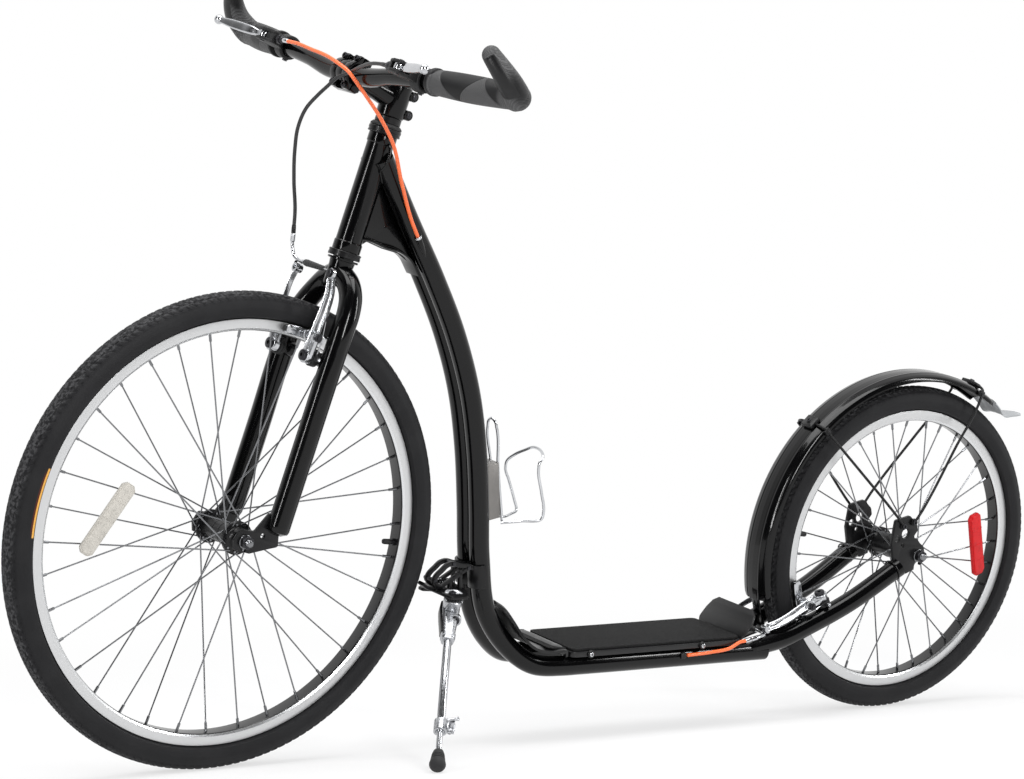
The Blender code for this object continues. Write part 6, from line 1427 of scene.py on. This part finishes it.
def casingParts(points, finish, ends=("satin", "satin")):
    # the casing with a crimped cap over each end
    path = smoothPath(points, 0.004)
    up = (0.31, 0.87, 0.2)
    parts = [(tube(path, frameForm["casing"], 16, up), finish)]
    crimp = [(0.0, 0.0024), (0.0003, 0.003), (0.008, 0.003), (0.0084, 0.0028), (0.011, 0.0028), (0.0114, 0.0025)]
    for row, way, cap in ((path[0], path[1] - path[0], ends[0]), (path[-1], path[-2] - path[-1], ends[1])):
        if cap:
            parts.append((lathe(crimp, 24, aim(row, way, up)), finishes[cap]))
    return parts


def adjusterEnd(side):
    # where a casing leaves the barrel adjuster, 16 mm out from its seat, and its way
    place = leverPlace(side)
    return at(place, (-0.007, -(leverForm["adjuster"] + 0.016 + gap) * side, 0)), place[:3, :3] @ (0, -side, 0)


start, way = adjusterEnd(1)
end, lift = noodleEnd("front", -1)
frontPoints = [start, start + way * 0.012, (1.0615, 0.09, 0.9535), (1.058, 0.062, 0.946), (1.0545, 0.03, 0.934),
               (1.06, 0.006, 0.9225), (1.0625, -0.006, 0.912), (1.066, -0.022, 0.898), (1.074, -0.036, 0.878),
               (1.077, -0.047, 0.852), (1.074, -0.055, 0.82), (1.068, -0.06, 0.778), end + lift * 0.03, end]
build("frontBrakeCable", casingParts(frontPoints, finishes["blackCasing"]), "steering", ["front_brake_cable"],
      "black_plastic")

start, way = adjusterEnd(-1)
port, portWay = cablePort()
upperPoints = [start, start + way * 0.012, (1.062, -0.09, 0.956), (1.062, -0.055, 0.953), (1.062, -0.02, 0.95),
               (1.062, 0.013, 0.9435), (1.059, 0.038, 0.934), (1.05, 0.047, 0.92), (1.036, 0.049, 0.904),
               (1.013, 0.049, 0.878), (0.989, 0.047, 0.845), (0.964, 0.04, 0.79), port + portWay * 0.024, port]
crossing = ("steering", "scooter", tuple(at(scooter, (1.045, 0.048, 0.913))),
            tuple(at(scooter, port + portWay * 0.03)))
build("rearBrakeCableFront", casingParts(upperPoints, finishes["orange"], ("wire", None)), crossing,
      ["rear_brake_cable_front"], "orange_casing")

end, lift = noodleEnd("rear", -1)
wall = frameForm["railSpread"] + frameForm["tube"] + frameForm["casing"] + gap
rail = frameForm["rail"]
rearPoints = [(0.418, wall, rail + 0.006), (0.375, wall + 0.0008, rail + 0.008), (0.345, wall + 0.0028, rail + 0.012),
              (0.322, wall + 0.0025, rail + 0.021), end + lift * 0.01, end]
build("rearBrakeCableRear", casingParts(rearPoints, finishes["orange"], (None, "wire")), "scooter",
      ["rear_brake_cable_rear"], "orange_casing")
print("cables made")


# Deck

deckForm = {"front": 0.621, "rear": 0.318, "half": 0.058, "low": 0.13, "plate": 0.008, "mat": 0.0036,
            "bolts": (0.392, 0.589)}


def deckPieces():
    f = deckForm
    low, high = f["low"], f["low"] + f["plate"]
    corners = [(f["rear"], -f["half"]), (f["front"], -f["half"]), (f["front"], f["half"]), (f["rear"], f["half"])]
    parts = [(plate(fillet(corners, 0.012, 8, True), low, high, bevel=0.0012), finishes["deckEdge"])]
    for x in f["bolts"]:
        for side in (1, -1):
            spot = aim((x, side * (f["half"] - 0.0006), (low + high) / 2), (0, side, 0), (0, 0, 1))
            parts.append((lathe([(-0.001, 0.0054), (0.0002, 0.0056), (0.003, 0.0056), (0.0038, 0.005),
                                 (0.004, 0.0034)], 32, spot), finishes["satin"]))
            parts.append((lathe([(0.0036, 0.0034), (0.0044, 0.0032), (0.005, 0.0024), (0.0051, 0.0016),
                                 (0.004, 0.0013)], 28, spot), finishes["wire"]))
    build("deckPlate", parts, "scooter", ["deck_plate"], "black_plastic")
    cut, top = 0.003, high + gap
    corners = [(f["rear"] + cut, -f["half"] + cut), (f["front"] - cut, -f["half"] + cut),
               (f["front"] - cut, f["half"] - cut), (f["rear"] + cut, f["half"] - cut)]
    sheet = plate(fillet(corners, 0.01, 8, True), top, top + f["mat"], bevel=0.0008)
    lip = smoothPath([(0.6285, 0, 0.1432), (0.655, 0, 0.1454), (0.661, 0, 0.1467)], 0.003)
    build("deckMat", [(sheet, finishes["grit"]), (strap(lip, 0.0014, 0.104, corner=0.0005), finishes["grit"])],
          "scooter", ["deck_mat"], "deck_mat")

    line = [(0.6234, 0.132, 0.054), (0.626, 0.14, 0.056), (0.655, 0.1425, 0.056), (0.682, 0.15, 0.0555),
            (0.7, 0.1655, 0.051), (0.711, 0.185, 0.04), (0.7185, 0.1985, 0.028), (0.7288, 0.2056, 0.018)]
    path = smoothPath([(x, w, z) for x, z, w in line], 0.0025)
    half = path[:, 1].copy()
    centre = path * (1, 0, 1)
    a = np.linspace(-1, 1, 25)
    drop = -0.003 * np.clip((np.abs(a) - 0.6) / 0.4, 0, 1) ** 2
    thick = 0.0019
    upper = np.stack([drop[None] + thick + 0 * half[:, None], a[None] * half[:, None]], -1)
    lower = np.stack([drop[None] - thick + 0 * half[:, None], a[None] * half[:, None]], -1)[:, ::-1]
    outline = np.concatenate([upper, lower], 1) * (-1, 1)
    build("deckFrontGuard", [(skin(carry(centre, outline)), finishes["guard"])], "scooter", ["deck_front_guard"],
          "black_plastic", 45)

    top, foot = deckForm["low"] + f["plate"], f["rear"] - gap
    line = [(foot, top - 0.006), (foot - 0.004, top + 0.004), (foot - 0.005 - 0.0124, top + 0.022),
            (foot - 0.004 - 0.0223, top + 0.036)]
    path = smoothPath([(x - 0.002, 0, z) for x, z in line], 0.0018)
    rise = np.linspace(0, 1, len(path))
    half = np.interp(rise, (0, 0.25, 0.62, 0.86, 1.0), (0.048, 0.054, 0.0535, 0.049, 0.04))
    build("deckRearGuard", [(strap(path, 0.004, 2 * half, corner=0.0014), finishes["guard"])], "scooter",
          ["deck_rear_guard"], "black_plastic", 45)


finishes["deckEdge"] = paint("deckEdgePaint", (0.006, 0.006, 0.0065), 0.34, 0.4, 0.2)
finishes["guard"] = moulded("guardPlastic", (0.0042, 0.0042, 0.0046), 0.3, 900, 0.00005)
deckPieces()


# Bottle cage

cageForm = {"low": 0.32, "high": 0.398, "rods": (0.7366, 0.362), "wire": 0.0021}


def cageParts():
    f = cageForm
    low, high = tubeAt(f["low"])[0], tubeAt(f["high"])[0]
    up = unit(high - low)
    back = np.array((-up[2], 0, up[0]))
    height = float(np.linalg.norm(high - low))
    place = placeOf(low + back * (frameForm["tube"] + 0.0006), back, (0, 1, 0), up)
    wire = f["wire"]
    x, z = f["rods"]
    plane = float((np.array((x, 0, z)) - place[:3, 3]) @ back) - wire
    shelf = fillet([(0.0006, 0.016), (0.0006, -0.016), (plane, -0.013), (plane, 0.013)], 0.0025, 4, True)
    parts = [(plate(shelf, 0.0, height, place, 0.0012), steel("shelfSteel", (0.26, 0.25, 0.24), 0.42))]
    for z in (0.014, height - 0.014):
        parts.append((screwHead(place @ shift(plane, 0, z) @ turn("y", 90), 0.005, 0.0026, 0.5),
                      finishes["darkSteel"]))
    # the hoop round the bottle leans, and the tall loop stands up behind it
    hoop = [(0.7309, 0.0105, 0.3174), (0.706, 0.022, 0.3212), (0.677, 0.0325, 0.3272), (0.677, 0.034, 0.337),
            (0.6839, 0.034, 0.3633), (0.6926, 0.034, 0.3957), (0.692, 0.0335, 0.404), (0.6845, 0.03, 0.4115),
            (0.679, 0.015, 0.4185), (0.68, 0.0, 0.4195), (0.685, -0.014, 0.4125), (0.692, -0.026, 0.404),
            (0.699, -0.0335, 0.393), (0.6998, -0.034, 0.384), (0.6919, -0.034, 0.366), (0.6795, -0.034, 0.3379),
            (0.675, -0.0325, 0.3235), (0.69, -0.024, 0.32), (0.7161, -0.011, 0.3205), (0.729, -0.009, 0.325)]
    loop = [(0.7275, 0.009, 0.319), (0.7438, 0.009, 0.3999), (0.7515, 0.009, 0.45), (0.7535, 0.0065, 0.459),
            (0.755, 0.0, 0.4625), (0.7555, -0.0065, 0.459), (0.7545, -0.009, 0.45), (0.7438, -0.009, 0.3999),
            (0.7275, -0.009, 0.319)]
    for line, up in ((hoop, (0.21, 0.4, 0.89)), (loop, (1, 0.1, 0))):
        parts.append((tube(smoothPath(line, 0.0018), wire, 18, up), finishes["wire"]))
    return parts


build("bottleCage", cageParts(), "scooter", ["bottle_cage"], "bright_wire")


# Fender, its flap and its stays

fenderForm = {"radius": 0.268, "half": 0.028, "sheet": 0.002, "depth": 0.012, "start": -14.0, "end": 123.0,
              "wire": 0.002, "clamps": {"Front": (46.0, (0.037, 0.0465)), "Rear": (115.0, (0.0175, 0.0517))}}


def fenderSkin():
    # a thin crowned section with rolled edges and two soft ridges, carried round the axle; its ends are rounded
    f = fenderForm
    rows = 150
    degrees = np.linspace(f["start"], f["end"], rows)
    fromEnd = np.minimum(degrees - f["start"], f["end"] - degrees) * math.pi / 180 * f["radius"]
    squeeze = 0.9 + 0.1 * np.sqrt(1 - np.clip(1 - fromEnd / 0.012, 0, 1) ** 2)
    s = np.linspace(-1, 1, 61)
    w = np.abs(s)
    drop = np.interp(w, (0, 0.3, 0.55, 0.72, 0.86, 0.95, 1.0), (0, 0.0003, 0.0012, 0.0028, 0.005, 0.0086, f["depth"]))
    ridge = 0.0006 * np.exp(-((w - 0.46) / 0.05) ** 2)
    width = np.sign(s) * np.interp(w, (0, 0.86, 0.95, 1.0), (0, 0.9 * f["half"], 0.985 * f["half"], f["half"]))
    outer = np.stack([width, f["radius"] - drop + ridge], -1)
    inner = np.stack([width * (f["half"] - f["sheet"]) / f["half"],
                      np.maximum(f["radius"] - drop + ridge - f["sheet"], f["radius"] - f["depth"] + 0.0004)],
                     -1)[::-1]
    section = np.concatenate([outer, inner])
    a = np.radians(degrees)[:, None]
    y = section[None, :, 0] * squeeze[:, None]
    r = np.broadcast_to(section[None, :, 1], y.shape)
    axle = axles["rear"]
    return skin(np.stack([axle[0] + r * np.cos(a), y, axle[2] + r * np.sin(a)], -1))


def fenderStay(degrees, eye):
    # the clamp over the crown, the wire down both sides, and the flattened eyes screwed to the dropouts
    f = fenderForm
    black, metal = finishes["satin"], finishes["darkSteel"]
    tab = axles["rear"] + np.array((eye[0], 0, eye[1]))
    wire = f["wire"]
    out = frameForm["hubHalf"] + frameForm["dropout"] + wire + 0.0015
    wide = f["half"] + wire + 0.0006
    crown = polar(degrees, f["radius"] + wire + gap)
    shoulder = polar(degrees, f["radius"] - 0.003)
    edge = polar(degrees, f["radius"] - f["depth"] - 0.004)
    half = [crown + (0, 0.01, 0), crown + (0, 0.75 * wide, -0.001), shoulder + (0, wide + 0.0005, 0),
            edge + (0, wide + 0.003, 0)]
    for t in (0.4, 0.8, 0.9, 1.0):
        half.append(edge + (tab - edge) * t + (0, wide + 0.003 + (out - wide - 0.003) * min(1, t / 0.86), 0))
    points = [p * (1, -1, 1) for p in half[::-1]] + half
    parts = [(tube(smoothPath(points, 0.003), wire, 16, (math.cos(math.radians(degrees)) * 0.2 + 0.97, 0.1, 0.2)),
              black)]
    spot = aim(crown, crown - axles["rear"])
    parts.append((block((-0.01, -0.012, -wire + 0.0002), (0.01, 0.012, 0.0046), spot, 0.0016), black))
    parts.append((lathe([(0.004, 0.0052), (0.005, 0.0052), (0.0054, 0.0046)], 28, spot), black))
    parts.append((screwHead(spot @ shift(0, 0, 0.005), 0.0036, 0.0022, 0.5), metal))
    for side in (1, -1):
        grip = aim(polar(degrees, f["radius"] - f["depth"] + 0.003, side * (f["half"] + 0.0016)), (0, side, 0),
                   crown - axles["rear"])
        parts.append((block((-0.0048, -0.0036, -0.0014), (0.0048, 0.006, 0.0034), grip, 0.0012), black))
        inner = out - wire - 0.0015 + gap
        eyeSpot = aim(tab + (0, side * inner, 0), (0, side, 0))
        parts.append((lathe([(0, 0.003), (0, 0.0051), (0.0005, 0.0055), (0.003, 0.0055), (0.0035, 0.005),
                             (0.0035, 0.003)], 28, eyeSpot, True), black))
        parts.append((screwHead(eyeSpot @ shift(0, 0, 0.003), 0.004, 0.0026, 0.5), metal))
    return parts


def flapSkin():
    # the flap springs from the fender's end, kinks down and runs out to a rounded tongue
    f = fenderForm
    a = math.radians(f["end"])
    start = polar(f["end"], f["radius"]) + np.array((-math.sin(a), 0, math.cos(a))) * (gap + 0.0001)
    kink = start + (-0.022, 0, -0.022)
    path = smoothPath([start, start * 0.5 + kink * 0.5 + (-0.0004, 0, 0.0006), kink, kink + (-0.02, 0, -0.0016),
                       kink + (-0.046, 0, -0.003)], 0.0016)
    t = np.linspace(0, 1, len(path))
    half = np.interp(t, (0, 0.4, 0.8, 0.93, 1.0), (0.0258, 0.024, 0.019, 0.0155, 0.009))
    drop = np.interp(t, (0, 0.4, 1.0), (0.004, 0.003, 0.0006))
    s = np.linspace(-1, 1, 29)
    sag = np.clip((np.abs(s) - 0.4) / 0.6, 0, 1) ** 2
    ridge = 0.0008 * np.exp(-(s / 0.16) ** 2)
    upper = np.stack([half[:, None] * s[None], -drop[:, None] * sag[None] + ridge[None] * (1 - t[:, None]) - 0.0002],
                     -1)
    lower = (upper - (0, 0.002))[:, ::-1]
    grid = path[:, None] + np.concatenate([upper, lower], 1)[..., [0, 0, 1]] * (0, 1, 1)
    return skin(grid)


build("rearFender", [(fenderSkin(), finishes["black"])], "scooter", ["rear_fender"], "black_paint", 45)
build("fenderFlap", [(flapSkin(), finishes["flap"])], "scooter", ["fender_flap"], "black_plastic", 45)
for name, (degrees, eye) in fenderForm["clamps"].items():
    build("fenderStay" + name, fenderStay(degrees, eye), "scooter", ["fender_stay_" + name.lower()], "black_steel")


# Side stand

standForm = {"pivot": (0.815, 0.03, 0.203), "foot": (0.937, 0.209), "footRadius": 0.011, "folded": (-0.95, 0.3, 0.08),
             "knuckle": 0.023, "leg": 0.0057, "inner": 0.0041, "lean": 9.666}


def standPieces():
    f = standForm
    pivot, lean = np.array(f["pivot"]), math.radians(f["lean"])
    x, y = f["foot"]
    foot = np.array((x, y, (f["footRadius"] + math.sin(lean) * y) / math.cos(lean)))
    down, length = unit(foot - pivot), float(np.linalg.norm(foot - pivot))
    hinge = unit(np.cross(down, unit(f["folded"])))
    side = unit(np.cross(hinge, down))
    leg, axis = placeOf(pivot, side, np.cross(down, side), down), aim(pivot, hinge)
    knuckle = f["knuckle"] / 2
    steelBlack, cast, metal, alloy = finishes["satin"], finishes["cast"], finishes["darkSteel"], finishes["alloy"]

    fx = tubeAt(0.244)[0][0]
    tubeR = frameForm["tube"] + gap
    parts = []
    for y in (1, -1):
        tubeLine = mainTube(y, 0.002)
        tubeLine = tubeLine[tubeLine[:, 0] > 0.7]
        low, high = (tubeLine[np.argmin(np.abs(tubeLine[:, 2] - z))] for z in (0.247, 0.257))
        wrap = aim(low, high - low)
        arc = circle(0, 0, 1, 30, -84, 84) * (1 if wrap[0, 0] > 0 else -1)
        outline = np.concatenate([arc * (tubeR + 0.0036), arc[::-1] * tubeR])
        parts.append((plate(outline, -0.0165, 0.0165, wrap, 0.0006), steelBlack))
    # open links either side of the tubes, joined by cross rods: an arch, a diagonal, two struts and a claw
    arch = [(0.772, 0.256), (0.786, 0.2615), (0.7983, 0.263), (0.8104, 0.266), (0.82, 0.264), (0.8275, 0.2578),
            (0.8375, 0.248), (0.8395, 0.242), (0.8359, 0.238), (0.8246, 0.2324), (0.818, 0.229)]
    bars = [(arch, 0.0066), ([(0.78, 0.2612), (0.793, 0.254), (0.8205, 0.238), (0.829, 0.233)], 0.0052),
            ([(0.7977, 0.257), (0.7962, 0.24), (0.7958, 0.227)], 0.0052),
            ([(0.8127, 0.244), (0.8124, 0.227)], 0.0048)]
    for y in (0.02, 0.003):
        for line, thick in bars:
            parts.append((strap(smoothPath([(x, y, z) for x, z in line], 0.002), thick, 0.006, (0, 1, 0), None,
                                0.0014), steelBlack))
    claw = [(0.815, 0.01, 0.227), (0.833, 0.012, 0.229), (0.85, 0.014, 0.235), (0.857, 0.015, 0.24)]
    parts.append((strap(smoothPath(claw, 0.002), 0.005, 0.011, (0, 1, 0), None, 0.0014), steelBlack))
    for x, z in ((0.8104, 0.2655), (0.8388, 0.2435), (0.785, 0.259)):
        parts.append((rod((x, -0.0025, z), (x, 0.0245, z), 0.003, 24), metal))
    coil = np.linspace(0, 1, 160)
    y, z = 0.006 + 0.004 * np.cos(coil * 44), 0.2372 + 0.004 * np.sin(coil * 44)
    parts.append((tube(np.stack([0.799 + 0.026 * coil, y, z], -1), 0.0009, 8), finishes["wire"]))
    shelf = [(fx + 0.022, -0.022), (fx + 0.07, -0.022), (fx + 0.074, -0.008), (fx + 0.088, -0.006),
             (fx + 0.088, 0.006), (fx + 0.076, 0.01), (fx + 0.076, 0.06), (fx + 0.05, 0.062), (fx + 0.03, 0.03)]
    parts.append((plate(fillet(shelf, 0.004, 5, True), 0.2255, 0.23, bevel=0.001), steelBlack))
    rise = (0.227 - pivot[2]) / hinge[2]
    squircle = ring(48)
    squircle = np.sign(squircle) * np.abs(squircle) ** 0.62
    s = np.array((knuckle + gap, knuckle + 0.0008, knuckle + 0.004, rise - 0.003, rise - 0.0008, rise))
    wide = np.array((0.0108, 0.0118, 0.0122, 0.0132, 0.013, 0.012))
    parts.append((skin(carry(pivot + hinge * s[:, None], squircle, side, None, wide)), cast))
    parts.append((lathe([(-knuckle - 0.0043, 0.0062), (-knuckle - 0.004, 0.0072), (-knuckle - 0.0008, 0.0074),
                         (-knuckle - gap, 0.0066), (-knuckle - gap, 0.0042), (knuckle + 0.004, 0.0042)], 36, axis),
                  metal))
    for x, y in ((fx + 0.06, -0.012), (fx + 0.064, 0.044)):
        parts.append((screwHead(shift(x, y, 0.2298), 0.0048, 0.0036, 0.5), metal))
    build("standBracket", parts, "scooter", ["stand_bracket"], "black_steel")

    end = 0.8 * length
    s = np.array((-0.0125, -0.0118, -0.0095, 0.0, 0.012, 0.024, 0.04, 0.045, 0.0456, 0.05, 0.0506, 0.0555, 0.0562))
    wide = np.array((0.01, 0.0118, 0.0128, 0.0132, 0.0124, 0.0112, 0.0096, 0.0094, 0.0102, 0.0102, 0.0092, 0.0086,
                     0.0078))
    tall = np.array((0.0096, 0.0108, 0.0112, knuckle - 0.0002, 0.0112, 0.0104, 0.0092, 0.009, 0.0102, 0.0102, 0.0092,
                     0.0086, 0.0078))
    parts = [(skin(carry(pivot + down * s[:, None], squircle * np.stack([wide, tall], -1)[:, None], hinge)), cast)]
    boss = aim(pivot + side * 0.008 + down * 0.014, (0.55, 0.83, 0.05))
    parts.append((lathe([(-0.004, 0.0084), (0.009, 0.0084), (0.01, 0.0076), (0.01, 0.0062)], 44, boss), cast))
    parts.append((screwHead(boss @ shift(0, 0, 0.0098), 0.006, 0.003, 0.5), metal))
    guard = [pivot - side * a + down * b for a, b in ((0.0122, -0.008), (0.0134, 0.0), (0.0128, 0.014),
                                                      (0.0108, 0.032), (0.0094, 0.044))]
    parts.append((strap(smoothPath(guard, 0.002), 0.0028, 0.015, hinge, None, 0.001), steelBlack))
    bore = f["inner"] + gap
    tubeWall = [(0.052, f["leg"] - 0.0006), (0.0526, f["leg"]), (end - 0.0008, f["leg"]), (end, f["leg"] - 0.0006),
                (end, bore), (end - 0.06, bore)]
    parts.append((lathe(tubeWall, 44, leg), alloy))
    build("standLeg", parts, "stand", ["stand_leg"], "silver_alloy")

    r = f["leg"]
    ringWall = fillet([(end - 0.02, r + gap), (end - 0.02, r + 0.0035), (end - 0.001, r + 0.0035),
                       (end - 0.001, r + gap)], 0.001, 3, True)
    parts = [(lathe(ringWall, 44, leg, True), cast)]
    for y0, y1 in ((0.0008, 0.0046), (-0.0046, -0.0008)):
        parts.append((block((0.008, y0, end - 0.017), (0.019, y1, end - 0.004), leg, 0.001), cast))
    screw = leg @ shift(0.0135, 0, end - 0.0105)
    nutSide, wingSide = screw @ turn("x", 90), screw @ turn("x", -90)
    parts.append((rod(at(screw, (0, -0.009, 0)), at(screw, (0, 0.018, 0)), 0.0024, 24), metal))
    parts.append((lathe([(0.0052, 0.0044, 1), (0.0084, 0.0044, 1), (0.0088, 0.0038, 0)], 40, nutSide), metal))
    parts.append((lathe([(0.0052, 0.004), (0.012, 0.0036), (0.016, 0.0034)], 28, wingSide), cast))
    wing = [(-0.0085, -0.0026), (-0.0085, 0.0026), (-0.003, 0.0016), (0.003, 0.0016), (0.0085, 0.0026),
            (0.0085, -0.0026), (0.003, -0.0016), (-0.003, -0.0016)]
    parts.append((plate(fillet(wing, 0.0012, 3, True), 0.0168, 0.0212, wingSide @ turn("z", 20), 0.001), cast))
    build("standClamp", parts, "stand", ["stand_clamp"], "silver_alloy")

    inner = [(0.45 * length, f["inner"] - 0.0008), (0.452 * length, f["inner"]), (length - 0.006, f["inner"]),
             (length - 0.004, f["inner"] - 0.0008)]
    build("standInnerLeg", [(lathe(inner, 40, leg), alloy)], "stand_slide", ["stand_inner_leg"], "silver_alloy")
    start = length - 0.0225
    outer = [(start, f["inner"] + 0.0002), (start, 0.0058), (start + 0.0006, 0.0066), (length - 0.016, 0.0086)]
    for z in (0.014, 0.011, 0.008):
        r = 0.011 - 0.15 * z
        outer += [(length - z, r), (length - z + 0.0003, r - 0.0006), (length - z + 0.001, r - 0.0006),
                  (length - z + 0.0013, r)]
    outer += [(length - 0.001, 0.0112), (length + 0.001, 0.0112), (length + 0.0034, 0.0106), (length + 0.006, 0.009),
              (length + 0.0078, 0.007), (length + 0.0086, 0.004)]
    build("standFoot", [(lathe(outer, 44, leg), finishes["rubber"])], "stand_slide", ["stand_foot"], "grip_rubber")


standPieces()
print("deck, cage, fender and stand made")


# Camera, light and floor

view = {"spot": (3.0946, 4.1712, 0.7062), "downwards": 2.331, "heading": -125.138, "lens": 133.594}
camera = bpy.data.objects.new("camera", bpy.data.cameras.new("camera"))
camera.data.lens = view["lens"]
camera.data.sensor_width = 36.0
camera.data.clip_end = 100
camera.location = view["spot"]
camera.rotation_euler = (math.radians(90 - view["downwards"]), 0, math.radians(view["heading"] - 90))
bpy.context.scene.collection.objects.link(camera)
bpy.context.scene.camera = camera

lights = {
    "overhead": {"at": (0.2, 0.3, 3.4), "look": (0, 0, 0.3), "size": (3.2, 1.8), "watts": 95},
    "nearSide": {"at": (1.1, 4.2, 2.2), "look": (0, 0, 0.5), "size": (0.42, 2.6), "watts": 100},
    "frontSide": {"at": (4.2, 0.6, 1.8), "look": (0.3, 0, 0.5), "size": (0.22, 2.6), "watts": 60},
    "rearSide": {"at": (-3.2, 2.6, 1.9), "look": (-0.3, 0, 0.4), "size": (0.28, 2.4), "watts": 55},
}
for name, light in lights.items():
    lamp = bpy.data.lights.new(name, "AREA")
    lamp.shape, lamp.size, lamp.size_y, lamp.energy = "RECTANGLE", light["size"][0], light["size"][1], light["watts"]
    lampObject = bpy.data.objects.new(name, lamp)
    lampPlace = aim(light["at"], np.subtract(light["at"], light["look"]), (0, 0, 1))
    lampObject.matrix_world = lampPlace.T.tolist()
    bpy.context.scene.collection.objects.link(lampObject)

world = bpy.data.worlds.new("studio")
bpy.context.scene.world = world
world.use_nodes = True
book = Book.__new__(Book)
book.nodes, book.links = world.node_tree.nodes, world.node_tree.links
background = world.node_tree.nodes["Background"]
paths = book.nodes.new("ShaderNodeLightPath").outputs
seen, glossy, through = (Wire(book, paths["Is " + kind + " Ray"]) for kind in ("Camera", "Glossy", "Transmission"))
sky = book.nodes.new("ShaderNodeTexCoord")
towards = book.node("ShaderNodeVectorMath", {"operation": "DOT_PRODUCT"},
                    {0: Wire(book, sky.outputs["Generated"]), 1: (-0.575, -0.818, 0.05)}, "Value")
backdrop = 0.03 + 0.97 * towards.step(-0.25, 0.45)         # white behind the object, a darker room behind the camera
background.inputs["Color"].default_value = (1, 1, 1, 1)
level = 0.45 + glossy.math("MAXIMUM", through) * (backdrop - 0.45)
book.put(background.inputs["Strength"], level + seen * (1 - level))

floorMaterial = Book("paleFloor", Roughness=0.7, Specular_IOR_Level=0.0)
paths = floorMaterial.nodes.new("ShaderNodeLightPath").outputs
seen, glossy = (Wire(floorMaterial, paths["Is " + kind + " Ray"]) for kind in ("Camera", "Glossy"))
speckle = floorMaterial.noise(40, 3)
floorMaterial.drive(Base_Color=floorMaterial.blend(speckle * 0.1, (0.8, 0.8, 0.805), (0.78, 0.78, 0.785)))
floorMaterial.shader.inputs["Emission Color"].default_value = (1, 1, 1, 1)
glow = floorMaterial.node("ShaderNodeEmission", {}, {"Color": (1, 1, 1), "Strength": 1.0})
fadeX, fadeY = floorMaterial.along((1, 0, 0)), floorMaterial.along((0, 1, 0))
far = (fadeX * fadeX * 0.55 + fadeY * fadeY).math("SQRT").step(0.55, 1.9)
white = (0.64 + far * 0.36) * seen.math("MAXIMUM", glossy)
mixer = floorMaterial.nodes.new("ShaderNodeMixShader")
floorMaterial.put(mixer.inputs[0], white)
floorMaterial.links.new(floorMaterial.shader.outputs[0], mixer.inputs[1])
floorMaterial.links.new(glow.socket, mixer.inputs[2])
floorMaterial.links.new(mixer.outputs[0], floorMaterial.nodes["Material Output"].inputs["Surface"])
floorGrid = np.array([[(r * math.cos(a), r * math.sin(a), 0) for a in turnsOf(64)] for r in (0.02, 2.0, 30.0)])
floorMesh = bpy.data.meshes.new("floor")
floorSkin = skin(floorGrid, caps=False)
floorMesh.from_pydata(floorSkin["points"].tolist(), [], floorSkin["quads"].tolist() + [list(range(64))])
floorMesh.materials.append(floorMaterial.material)
floor = bpy.data.objects.new("floor", floorMesh)
bpy.context.scene.collection.objects.link(floor)
bpy.context.scene.view_settings.view_transform = "Standard"
print("camera and light ready")
